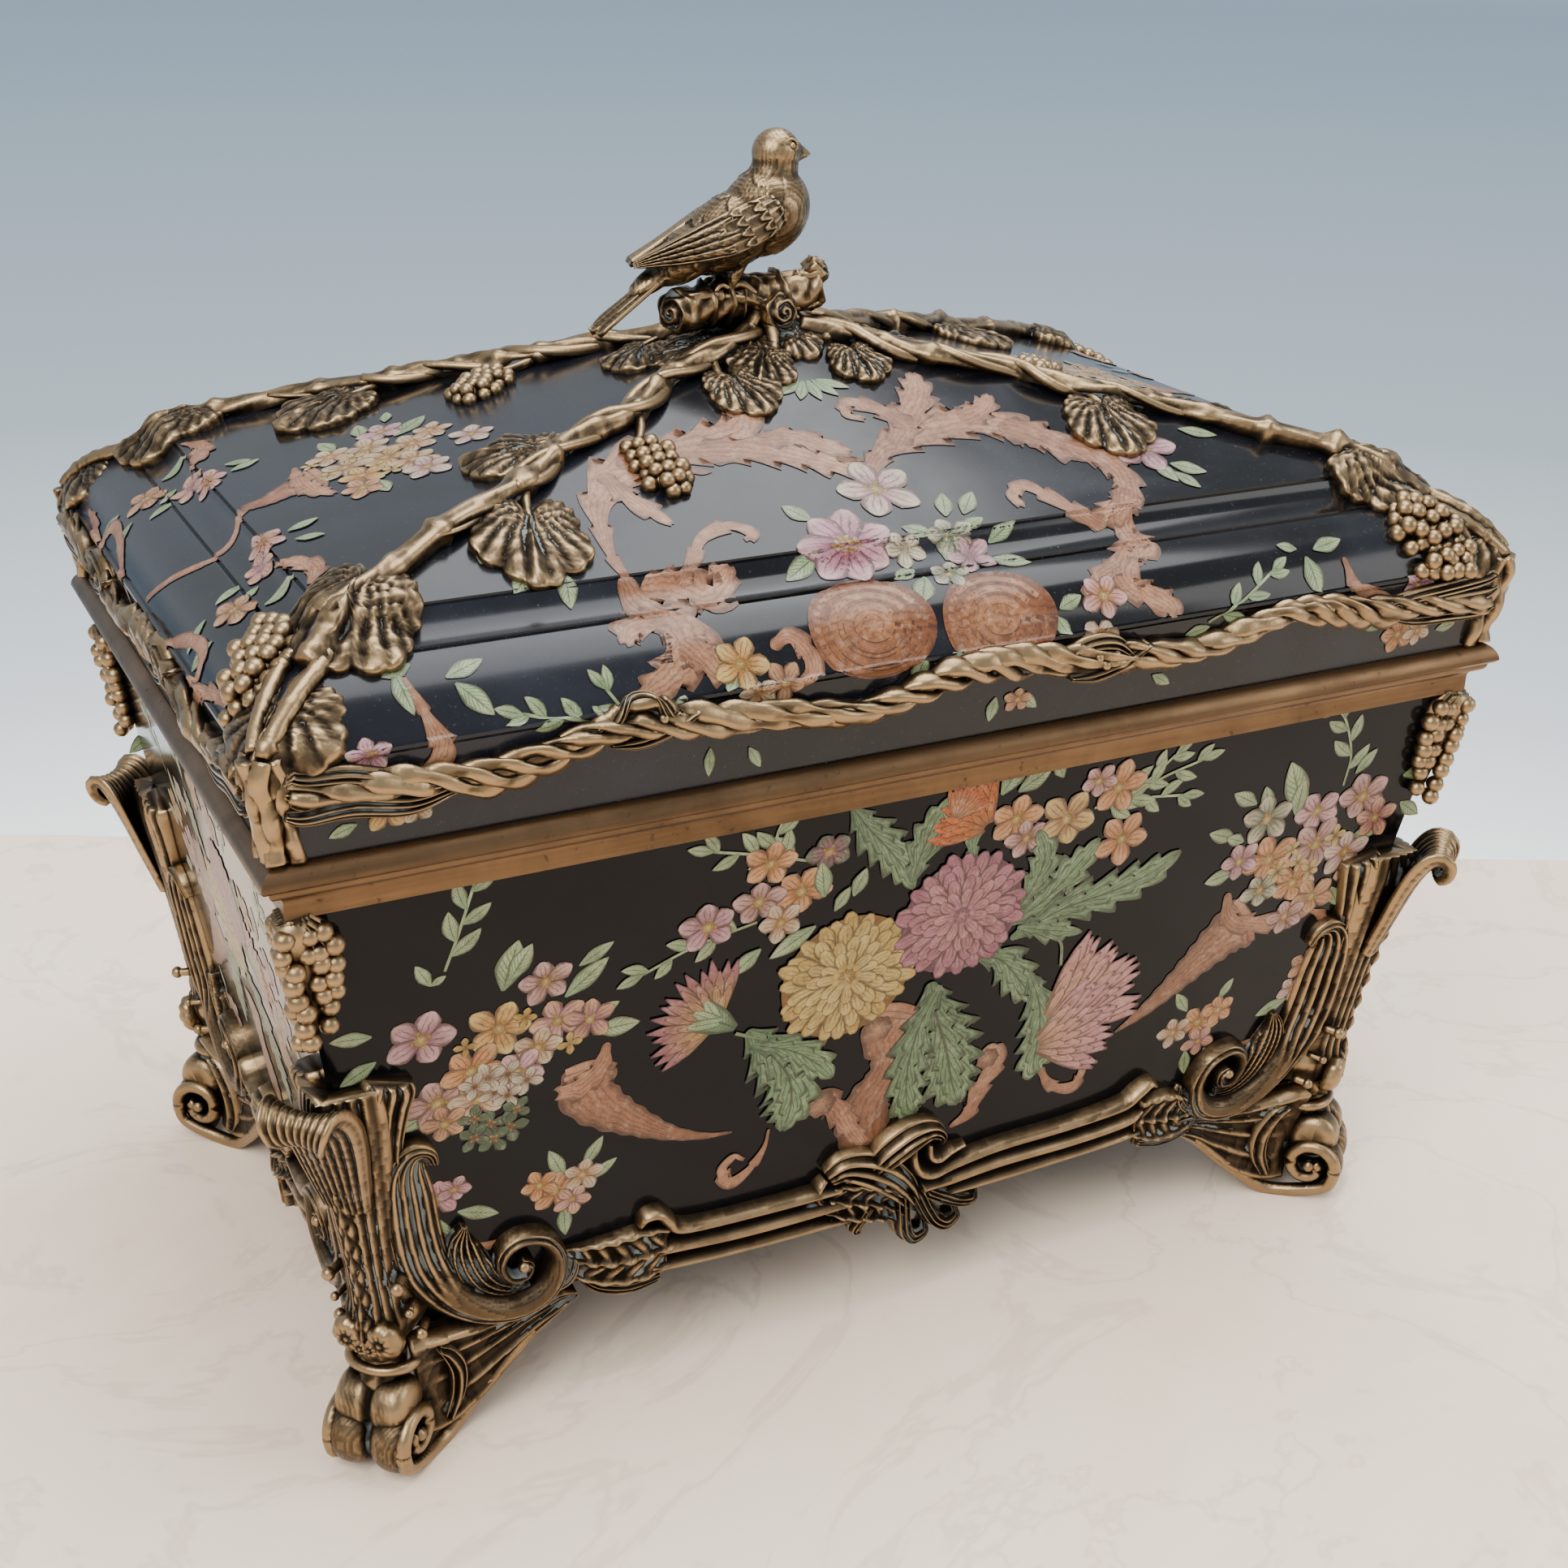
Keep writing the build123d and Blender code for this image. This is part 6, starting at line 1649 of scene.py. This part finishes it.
def frontBody(p):
    # small sprays along the foot
    posy(p, [(-121, 83, 8.5, "orange", "orangePale"), (-112, 87, 7, "peach", "cream"),
             (-126, 87, 6.5, "orange", "orangePale"), (-115, 78, 6.5, "pink", "orangePale")],
         [(-118, 88, 115, 13, 2.6), (-112, 90, 60, 12, 2.4), (-110, 84, 35, 11, 2.2), (-118, 76, -85, 12, 2.6)])
    posy(p, [(-158, 92, 7.5, "pink", "mauvePale"), (-153, 94, 6, "mauve", "pinkPale")],
         [(-158, 84, -80, 13, 3.2), (-152, 85, -20, 14, 2.8), (-162, 84, -105, 12, 2.6)])
    scrollLeaf(p, [(-158, 78, 1.2), (-150, 71, 2.4), (-140, 68, 2.0), (-128, 70, 0.6)], lobes=3)
    posy(p, [(118, 84, 9, "orange", "orangePale"), (108, 82, 7, "peach", "cream"),
             (126, 87, 7.5, "orange", "orangePale"), (120, 75, 7, "pink", "orangePale")],
         [(112, 90, 125, 11, 2.4), (125, 92, 60, 9, 2.2), (115, 72, -80, 11, 2.6), (123, 71, -50, 11, 2.4)])
    posy(p, [(161, 98, 7.5, "salmon", "orangePale"), (165, 92, 7, "orange", "cream"), (158, 88, 7, "pink", "cream")],
         [(156, 84, 200, 13, 3.0), (160, 80, -60, 12, 2.8), (166, 84, -80, 12, 2.6)])
    scrollLeaf(p, [(163, 78, 0.8), (156, 73, 2.4), (148, 69, 2.2), (138, 68, 0.6)], lobes=3)
    # sprigs beside the corners
    sprig(p, [(-156, 174), (-152, 186), (-148, 200)], 12, 2.6, 5)
    looseLeaves(p, [(-177, 157, 175, 12, 2.6), (-176, 148, -150, 12, 2.8),
                    (-160, 170, 120, 9, 2.2), (-160, 170, 30, 5, 1.4)])
    sprig(p, [(158, 172), (158, 184), (152, 198), (146, 204)], 12, 2.6, 6)
    looseLeaves(p, [(184, 171, 5, 14, 3.4), (186, 160, -35, 12, 2.8),
                    (122, 172, 150, 12, 3.0), (116, 160, 160, 12, 3.0)])
    # the left horn of flowers
    cornucopia(p, [(-111, 127, 8.5), (-112, 119, 9.0), (-106, 111, 7.6),
                   (-96, 103, 5.4), (-84, 95, 3.0), (-72, 90, 1.4), (-62, 88.5, 0.4)])
    scrollLeaf(p, [(-106, 136, 1.5), (-108, 128, 5.0), (-114, 122, 5.4), (-121, 121, 2.0)], lobes=4)
    looseLeaves(p, [(-139, 163, 75, 17, 4.6), (-137, 166, 60, 13, 3.4), (-120, 156, 40, 17, 3.4),
                    (-116, 166, 30, 12, 2.4), (-110, 141, 0, 14, 3.6), (-112, 146, 25, 10, 2.6),
                    (-160, 126, -150, 11, 3.0), (-124, 160, 100, 10, 2.4)])
    posy(p, [(-163, 152, 11, "mauve", "pinkPale"), (-158, 128, 11, "salmon", "pinkPale"),
             (-140, 150, 10, "orange", "ochrePale"), (-126, 163, 8.5, "salmon", "pinkPale"),
             (-122, 148, 9, "pink", "orangePale"), (-112, 146, 8, "mauve", "orangePale"),
             (-128, 140, 8.5, "peach", "cream"), (-148, 137, 10, "orange", "orangePale"),
             (-146, 126, 9, "peach", "cream"), (-134, 133, 9, "pink", "pinkPale"),
             (-156, 120, 7.5, "salmon", "orangePale")])
    berries(p, [(-141, 127), (-137, 133), (-143, 133), (-131, 129), (-147, 131), (-137, 125)],
            4.4, "cream", "mauveDark")
    berries(p, [(-142, 116), (-136, 113), (-147, 119), (-141, 110), (-134, 119), (-147, 112)],
            4.6, "leafDark", "salmonDark")
    berries(p, [(-150, 146), (-132, 152), (-118, 139)], 3.0, "ochre", "ochreDark")
    # the right horn
    cornucopia(p, [(128, 124, 12), (121, 120, 10.5), (112, 112, 7.6), (102, 103, 5.0), (92, 95, 2.8), (82, 89, 0.5)])
    scrollLeaf(p, [(118, 138, 1.5), (121, 128, 5.0), (129, 123, 5.0), (146, 120, 4.0), (157, 122, 1.0)], lobes=5)
    scrollLeaf(p, [(157, 122, 1.0), (163, 118, 3.0), (167, 108, 0.5)], lobes=3)
    looseLeaves(p, [(142, 166, 115, 22, 5.0), (140, 164, 90, 14, 3.6), (128, 168, 110, 11, 2.8),
                    (162, 176, 50, 11, 2.6), (168, 150, 10, 13, 3.4), (172, 136, -40, 11, 3.0),
                    (118, 146, 190, 11, 3.2), (120, 158, 160, 8, 2.6), (164, 130, -60, 10, 2.8)])
    posy(p, [(168, 166, 11, "salmon", "pinkPale"), (176, 156, 8.5, "mauve", "orangePale"),
             (128, 165, 10, "leafDark", "cream"), (149, 164, 10, "pink", "pinkPale"),
             (133, 148, 11, "orange", "orangePale"), (120, 150, 8, "mauve", "pinkPale"),
             (152, 150, 11, "salmon", "pinkPale"), (166, 144, 10, "pink", "cream"), (172, 136, 9, "peach", "cream"),
             (146, 136, 10, "orange", "orangePale"), (156, 128, 9.5, "peach", "orangePale"),
             (132, 136, 8.5, "leafDark", "cream"), (146, 122, 8, "salmon", "pinkPale")])
    berries(p, [(142, 150), (146, 144), (138, 142), (160, 152), (152, 140)], 3.4, "ochrePale", "ochreDark")
    # the pedestal of the middle bouquet
    cornucopia(p, [(-7, 121, 11), (-10, 112, 9.0), (-8, 104, 6.4), (-9, 96, 6.6),
                   (-14, 86, 9.0), (-14, 76, 10), (-10, 66, 6)])
    scrollLeaf(p, [(-36, 92, 3.0), (-31, 92, 6.0), (-24, 85, 5.6), (-18, 76, 4.4), (-12, 68, 3.0)], lobes=5)
    p.disc(-31, 91, 5.4, "salmonPale", "salmonDark", "scroll", ripple=0.08)
    p.disc(-13, 116, 5.0, "salmonPale", "salmonDark", "scroll", ripple=0.08)
    scrollLeaf(p, [(20, 66, 1.0), (26, 70, 4.4), (30, 80, 5.0), (35, 90, 4.0), (32, 96, 2.4), (27, 93, 1.0)], lobes=5)
    p.disc(31, 92, 4.2, "salmonPale", "salmonDark", "scroll", ripple=0.1)
    # hooks under the bouquet
    scrollLeaf(p, [(-49, 86, 0.5), (-50, 79, 1.3), (-54, 72, 2.6), (-60, 68, 3.4),
                   (-64, 73, 3.0), (-61, 78, 1.4), (-57, 76, 0.5)], lobes=3)
    scrollLeaf(p, [(53, 82, 1.6), (57, 75, 2.6), (62, 71, 3.2), (68, 70, 3.2), (71, 76, 2.0), (67, 80, 0.6)], lobes=3)
    # top sprays
    for pts, count in (([(-44, 186), (-62, 192), (-76, 196)], 5), ([(-52, 186), (-56, 196), (-54, 203)], 4),
                       ([(58, 186), (74, 190), (84, 198)], 5), ([(56, 184), (74, 184), (90, 182)], 5),
                       ([(64, 182), (80, 190), (95, 194)], 4), ([(-60, 168), (-80, 164), (-96, 158)], 5)):
        sprig(p, pts, 11, 2.5, count)
    posy(p, [(-57, 188, 9, "orange", "orangePale"),
             (-46, 176, 10, "orange", "orangePale"), (-60, 175, 9, "salmon", "pinkPale"),
             (-76, 170, 10, "mauve", "pinkPale"), (27, 186, 10, "orange", "orangePale"),
             (32, 178, 8, "salmon", "pinkPale"), (46, 182, 11, "peach", "ochrePale"),
             (64, 190, 10, "orange", "orangePale"), (56, 194, 7, "salmon", "pinkPale"),
             (69, 170, 10, "orange", "orangePale"), (-52, 166, 8, "peach", "cream")])
    toothedLeaf(p, [(-32, 202), (-26, 194), (-19, 186), (-12, 177), (-7, 168)], 8.5, 6)
    toothedLeaf(p, [(-8, 170), (-6, 180), (-3, 190), (2, 199)], 8.0, 5)
    toothedLeaf(p, [(14, 172), (12, 182), (16, 190)], 4.0, 3)
    fanFlower(p, 18, 184, 140, 22, 1.7, "red", "orange", "salmonDark", calyx=False)
    fanFlower(p, 4, 190, 60, 13, 1.6, "red", "orangePale", "salmonDark", calyx=False)
    posy(p, [(-38, 188, 8.5, "mauve", "leafDark")])
    looseLeaves(p, [(20, 196, 60, 15, 4.2), (26, 196, 30, 13, 3.6), (42, 198, 120, 8, 2.4),
                    (-38, 172, 100, 13, 3.2), (-28, 170, 70, 10, 2.8), (-40, 162, -150, 17, 3.4),
                    (-58, 158, -140, 12, 3.0), (-34, 166, 60, 9, 2.4)])
    # right side leaves of the bouquet
    toothedLeaf(p, [(30, 146), (42, 152), (52, 162), (60, 172)], 10, 6)
    toothedLeaf(p, [(32, 140), (50, 147), (70, 150), (84, 154), (94, 160)], 9.5, 7)
    toothedLeaf(p, [(32, 150), (38, 160), (40, 170), (36, 180)], 8, 5)
    toothedLeaf(p, [(34, 144), (46, 140), (60, 136)], 6, 4)
    p.stroke("scroll", [(44, 140, 0.5), (52, 134, 0.6), (54, 124, 0.6)], "leafDark", "stem")
    toothedLeaf(p, [(20, 136), (30, 132), (40, 120), (46, 112)], 9, 5)
    toothedLeaf(p, [(42, 124), (48, 110), (50, 98), (50, 84), (52, 80)], 9.5, 6)
    fanFlower(p, 50, 100, 32, 38, 1.45, "mauvePale", "orangePale", "mauveDark", calyx=False)
    fanFlower(p, 47, 92, 10, 33, 1.5, "pink", "orangePale", "mauveDark", calyx=False)
    toothedLeaf(p, [(-60, 128), (-52, 118), (-44, 106), (-42, 94), (-44, 84)], 14, 7)
    toothedLeaf(p, [(-58, 122), (-44, 116), (-34, 108), (-28, 101)], 8.5, 5)
    p.stroke("scroll", [(-64, 128, 0.7), (-58, 125, 0.6), (-52, 122, 0.5)], "stem", "leafDark")
    fanFlower(p, -70, 134, 148, 23, 2.7, "mauve", "ochre", "ochreDark")
    toothedLeaf(p, [(4, 130), (8, 116), (14, 100), (18, 86), (22, 76)], 15, 8)
    toothedLeaf(p, [(8, 128), (2, 112), (0, 96), (2, 80), (6, 77)], 9.5, 7)
    chrysanthemum(p, -27, 140, 25, "ochre", "ochrePale", "ochreDark")
    chrysanthemum(p, 12, 154, 24, "mauve", "mauvePale", "mauveDark")


def sideBody(p):
    cornucopia(p, [(-34, 118, 9), (-44, 112, 8.6), (-54, 103, 6), (-64, 94, 3.4), (-74, 88, 1.4), (-84, 86, 0.4)])
    cornucopia(p, [(44, 116, 9), (54, 110, 7.6), (62, 101, 5), (72, 93, 2.6), (82, 89, 0.5)])
    for pts, count in (([(-60, 168), (-72, 180), (-80, 194)], 6), ([(62, 168), (74, 180), (80, 194)], 6),
                       ([(-20, 178), (-26, 190), (-24, 200)], 4),
                       ([(30, 178), (34, 190), (44, 199)], 5)):
        sprig(p, pts, 11, 2.6, count)
    posy(p, [(-46, 128, 10, "orange", "orangePale"),
             (-34, 134, 9, "pink", "pinkPale"), (-56, 140, 10, "salmon", "pinkPale"),
             (-44, 148, 9, "mauve", "pinkPale"), (-62, 154, 9, "orange", "ochrePale"),
             (52, 128, 10, "peach", "cream"), (64, 136, 9.5, "pink", "pinkPale"),
             (48, 142, 9, "orange", "orangePale"), (60, 152, 9, "mauve", "pinkPale"),
             (-4, 186, 9, "orange", "orangePale"), (16, 182, 9, "salmon", "pinkPale"),
             (-40, 168, 8, "peach", "cream"), (42, 164, 8, "orange", "orangePale")],
         [(-66, 146, 170, 14, 3.2), (-62, 132, 200, 13, 3.2), (72, 146, 10, 14, 3.2), (70, 130, -20, 13, 3.2),
          (-50, 158, 110, 15, 3.6), (52, 158, 70, 15, 3.6), (0, 180, 100, 15, 4), (26, 186, 40, 13, 3.2)])
    berries(p, [(-52, 130), (-46, 136), (-40, 126), (58, 128), (54, 134), (50, 122)], 4.0, "cream", "mauveDark")
    posy(p, [(-60, 74, 8, "orange", "orangePale"), (-52, 76, 6.5, "pink", "cream"),
             (62, 74, 8, "orange", "orangePale"), (54, 77, 6.5, "peach", "cream")],
         [(-62, 80, 110, 10, 2.4), (-56, 68, -70, 10, 2.4), (64, 80, 70, 10, 2.4), (58, 68, -100, 10, 2.4)])
    cornucopia(p, [(0, 108, 9), (-1, 98, 6.4), (0, 90, 6.4), (1, 80, 8.6), (0, 70, 6)])
    toothedLeaf(p, [(-2, 126), (-18, 116), (-26, 100), (-28, 86)], 11, 7)
    toothedLeaf(p, [(6, 126), (20, 116), (28, 100), (30, 86)], 11, 7)
    toothedLeaf(p, [(14, 150), (26, 158), (34, 170)], 8, 5)
    toothedLeaf(p, [(-16, 156), (-22, 166), (-24, 178)], 8, 5)
    fanFlower(p, -24, 138, 160, 22, 2.4, "mauve", "ochre", "ochreDark")
    fanFlower(p, 26, 138, 20, 22, 2.4, "pink", "orangePale", "mauveDark")
    chrysanthemum(p, -6, 138, 21, "ochre", "ochrePale", "ochreDark")
    chrysanthemum(p, 12, 156, 19, "mauve", "mauvePale", "mauveDark")


def acanthusBunch(p, spots, fuller=1.35):
    for path, lobes, side in spots:
        path = [(x, z, w * fuller) for x, z, w in path]
        scrollLeaf(p, path, lobes=lobes, side=side, depth=0.5)


def spiralFruit(p, x, z, r):
    p.disc(x, z, r, "peach", "peachDark", "scroll", oval=0.86)
    for shift, size in ((0.80, 0.07), (0.58, 0.08), (0.36, 0.09)):
        ring = [(x + r * shift * math.cos(t) * (1 + 0.03 * t), z + 0.84 * r * shift * math.sin(t) * (1 + 0.03 * t),
                 r * size)
                for t in np.linspace(0.4, 6.2, 13)]
        p.stroke("scroll", ring, blend("peach", "salmonPale", 0.5), "peachDark", light=0.5)
    p.disc(x, z, r * 0.17, "salmonPale", "peachDark", "scroll")


def frontLid(p):
    # feathery scrolls over the slope
    acanthusBunch(p, [
        ([(-92, 66, 1.0), (-94, 78, 1.8), (-93, 90, 2.8), (-90, 102, 5.0),
          (-82, 112, 8.0), (-72, 118, 9.0), (-60, 120, 8.0)], 6, 0),
        ([(-84, 116, 2.5), (-80, 104, 4.0), (-76, 97, 3.0), (-72, 90, 0.5)], 3, 0),
        ([(-78, 118, 4), (-64, 121, 7.5), (-48, 124, 8.5), (-36, 128, 6.5), (-30, 136, 4.0), (-33, 142, 0.6)], 6, 0),
        ([(-52, 120, 5), (-38, 119, 7.0), (-24, 115, 6.5), (-14, 109, 5.5), (-6, 105, 4.0), (-8, 111, 0.8)], 6, 0),
        ([(-30, 122, 4), (-20, 122, 5.0), (-10, 116, 3.6), (-4, 112, 0.6)], 4, 0),
        ([(-4, 98, 1.6), (4, 108, 4.4), (14, 114, 7.0), (26, 118, 8.0),
          (40, 120, 8.0), (52, 116, 7.0), (60, 108, 3.0)], 7, 0),
        ([(12, 112, 3.5), (22, 124, 5.5), (30, 134, 5.5), (34, 142, 3.6), (36, 148, 0.6)], 5, 0),
        ([(22, 120, 4), (16, 130, 4.0), (8, 136, 2.8), (4, 131, 2.0), (8, 127, 0.8)], 4, 0),
        ([(40, 120, 5), (50, 126, 4.0), (56, 132, 0.6)], 3, 0),
        ([(50, 116, 6), (60, 110, 7.0), (68, 102, 6.0), (76, 100, 4.0), (80, 104, 0.6)], 4, 0),
        ([(66, 104, 5), (74, 98, 6.0), (79, 88, 5.0), (77, 78, 4.4), (70, 72, 4.6), (62, 69, 2.0)], 6, 0),
        ([(77, 80, 4), (70, 66, 4.4), (72, 56, 4.2), (66, 50, 1.6)], 5, 0),
        ([(64, 66, 3), (56, 72, 3.4), (50, 80, 3.0), (45, 86, 2.6), (39, 84, 2.4), (38, 78, 0.8)], 4, 0),
        ([(74, 62, 4), (66, 54, 5.0), (60, 45, 4.6), (66, 38, 4.0), (72, 34, 3.4), (74, 30, 0.8)], 5, 0),
        ([(60, 50, 3), (52, 46, 3.4), (46, 40, 2.6), (44, 36, 0.6)], 3, 0),
        # the S scroll at the left
        ([(-94, 72, 2), (-92, 64, 5.5), (-86, 56, 8.0), (-84, 46, 7.0),
          (-90, 38, 5.0), (-98, 33, 3.0), (-101, 29, 0.8)], 6, 0),
        ([(-90, 66, 5), (-80, 66, 6.5), (-72, 62, 6.0), (-66, 66, 4.0), (-62, 70, 0.8)], 5, 0),
        ([(-78, 66, 2.4), (-72, 74, 2.2), (-66, 82, 2.2), (-57, 86, 2.6), (-51, 83, 2.2), (-52, 79, 0.8)], 3, 0),
        ([(-86, 56, 5), (-96, 54, 4.5), (-101, 48, 0.8)], 3, 0),
        ([(-86, 46, 5), (-78, 38, 4.0), (-74, 34, 0.8)], 3, 0),
        ([(-60, 40, 1.4), (-54, 42, 3.0), (-49, 36, 3.0), (-50, 30, 2.4), (-56, 27, 0.8)], 3, 0),
    ])
    looseLeaves(p, [(-30, 84, 130, 10, 3.4), (-34, 70, -150, 14, 3.4), (12, 78, 70, 11, 3.0),
                    (18, 78, 50, 12, 3.0), (14, 72, 20, 10, 2.6), (22, 66, 30, 13, 2.8), (20, 60, -20, 13, 3.2),
                    (-4, 56, -120, 11, 3.6), (-6, 60, 200, 8, 3), (6, 62, 60, 12, 3.6), (-14, 30, -100, 10, 3.2),
                    (-4, 30, -70, 10, 3.6), (2, 30, -110, 9, 3), (-10, 27, -60, 8, 2.6), (34, 38, 20, 9, 2.6),
                    (32, 36, -60, 8, 2.4), (-70, 36, -130, 9, 2.4), (0, 84, 60, 9, 2.6), (-4, 76, -30, 10, 3.2)])
    spiralFruit(p, -27, 42, 20)
    spiralFruit(p, 14, 38, 19)
    posy(p, [(10, 70, 9, "leafDark", "cream"), (14, 62, 8, "mauve", "pinkPale"),
             (-6, 68, 7, "cream", "cream"), (4, 56, 7, "leafDark", "cream")])
    posy(p, [(-4, 94, 13, "pink", "cream")])
    blossom(p, -24, 72, 15, "purple", "pinkPale", 0.3, 7)
    berries(p, [(-24, 74), (-21, 72), (-27, 72), (-24, 70)], 2.2, "ochre", "ochreDark")
    looseLeaves(p, [(-1 + side * 1.5 * k, 150, -90 + side * 28 * k, 11, 2.3) for side in (-1, 1) for k in range(3)])
    posy(p, [(-70, 37, 8.5, "orange", "ochrePale"), (-58, 29, 7, "salmon", "orangePale"),
             (-66, 27, 6, "peach", "cream"), (50, 40, 8.0, "orange", "pinkPale"), (46, 28, 7, "peach", "cream"),
             (93, 97, 12, "mauve", "pinkPale"), (-172, 11, 7, "orange", "ochrePale"),
             (-164, 10, 6, "peach", "cream"), (164, 9, 7.5, "orange", "orangePale"),
             (172, 9, 6, "peach", "cream"), (-112, 84, 8, "pink", "orangePale")],
         [(94, 90, -75, 11, 3), (99, 88, -30, 12, 3.2), (98, 84, -60, 10, 2.6),
          (112, 104, -25, 13, 2.8), (-174, 16, 120, 9, 2.2), (-162, 15, 60, 9, 2.2),
          (-180, 8, 200, 8, 2), (155, 12, 150, 9, 2.4), (176, 13, 50, 9, 2.2), (180, 8, 10, 8, 2),
          (-118, 80, -130, 12, 3), (-110, 76, -95, 12, 3), (-124, 96, -120, 14, 3.4)])
    sprig(p, [(-104, 22), (-116, 27), (-134, 33)], 10, 2.4, 6)
    sprig(p, [(-98, 22), (-106, 30), (-110, 36)], 9, 2.2, 3)
    sprig(p, [(86, 25), (98, 31), (112, 39)], 10, 2.3, 5)
    looseLeaves(p, [(126, 42, -80, 13, 3.6), (130, 44, 10, 12, 2.8), (124, 45, 160, 7, 2.0),
                    (-165, 50, -80, 13, 3.0), (-160, 52, 200, 9, 2.6), (-150, 44, -50, 13, 3.2),
                    (-152, 46, 20, 12, 2.6), (-80, 12, -90, 9, 1.8), (-68, 10, -60, 8, 1.8), (20, 12, -40, 9, 2.2),
                    (12, 12, -100, 8, 2.2), (68, 10, -30, 8, 2), (-92, 24, 60, 8, 2), (78, 22, 10, 9, 2)])
    scrollLeaf(p, [(-163, 48, 0.8), (-160, 38, 2.4), (-157, 28, 5.0), (-158, 22, 3.0)], lobes=3)
    scrollLeaf(p, [(140, 40, 1.0), (142, 31, 3.4), (148, 26, 3.4), (157, 23, 0.8)], lobes=3)
    posy(p, [(168, 26, 6.5, "mauve", "pinkPale"), (-176, 28, 6.5, "mauve", "pinkPale"),
             (20, 10, 5, "salmon", "orangePale")])


def sideLid(p):
    # a tall horn of flowers with a long curling stem
    scrollLeaf(p, [(-2, 32, 1.4), (8, 42, 1.8), (16, 54, 2.2), (12, 66, 2.0), (4, 74, 2.4)], lobes=2, depth=0.2)
    cornucopia(p, [(2, 98, 12), (1, 90, 7.0), (3, 82, 4.4), (2, 74, 2.6)])
    scrollLeaf(p, [(-16, 96, 1), (-4, 94, 4.4), (8, 95, 4.4), (18, 99, 1)], lobes=5)
    looseLeaves(p, [(-12, 128, 125, 16, 4.2), (-22, 120, 170, 12, 3.0),
                    (-18, 110, 190, 12, 3.0), (20, 112, 0, 12, 3.0), (-28, 130, 160, 9, 2.2)])
    posy(p, [(-20, 126, 8, "pink", "pinkPale"), (-10, 118, 9, "peach", "cream"), (0, 130, 9, "orange", "cream"),
             (4, 120, 9, "peach", "ochrePale"), (14, 126, 9, "orange", "cream"), (24, 127, 9, "pink", "cream"),
             (-14, 107, 8, "orange", "cream"), (0, 108, 9, "peach", "cream"), (12, 110, 8.5, "orange", "ochrePale"),
             (22, 107, 8, "peach", "orangePale"), (10, 146, 8, "pink", "cream"), (-6, 138, 7, "orange", "cream")])
    berries(p, [(-6, 112), (8, 116), (2, 102), (16, 118), (-12, 100)], 2.8, "ochrePale", "ochreDark")
    for side in (-1, 1):
        # loose bunches and curling scrolls on both sides
        scrollLeaf(p, [(side * 78, 74, 1), (side * 70, 78, 5.0), (side * 60, 76, 4.0), (side * 52, 70, 0.8)], lobes=4)
        posy(p, [(side * 34, 72, 8.5, "orange", "pinkPale"), (side * 44, 66, 8, "pink", "orangePale"),
                 (side * 58, 52, 8.5, "salmon", "orangePale")],
             [(side * 34, 80, 100, 10, 2.6), (side * 42, 80, 60, 9, 2.4), (side * 44, 58, -70, 10, 2.4),
              (side * 52, 62, -60, 9, 2.2), (side * 66, 60, 90, 13, 3.0),
              (side * 64, 42, -110, 12, 3.0), (side * 50, 44, -80, 11, 2.6)])
        scrollLeaf(p, [(side * 20, 20, 0.8), (side * 34, 30, 2.4), (side * 50, 37, 2.8),
                       (side * 62, 38, 2.8), (side * 66, 31, 2.6), (side * 58, 25, 0.8)],
                   lobes=4, depth=0.3)
        scrollLeaf(p, [(side * 96, 34, 0.8), (side * 84, 33, 3.4), (side * 72, 28, 4.0), (side * 60, 21, 0.8)],
                   lobes=5)
        posy(p, [(side * 78, 11, 6.5, "orange", "ochrePale"), (side * 70, 10, 5.5, "pink", "cream")],
             [(side * 84, 12, 90 - 60 * side, 8, 2), (side * 64, 12, 90 + 60 * side, 8, 2)])


for side in faceNames:
    long = side in ("front", "back")
    walls = Painting(lambda run, up, out, side=side: onWall(side, run, up, out), 0.08)
    (frontBody if long else sideBody)(walls)
    walls.build(f"wallDecor_{side}", "casket")
    slopes = Painting(lambda run, up, out, side=side: onLid(side, run, up, out), 0.2)
    (frontLid if long else sideLid)(slopes)
    slopes.build(f"lidDecor_{side}", "lid")
    print("painted", side, walls.index + slopes.index, "strokes")
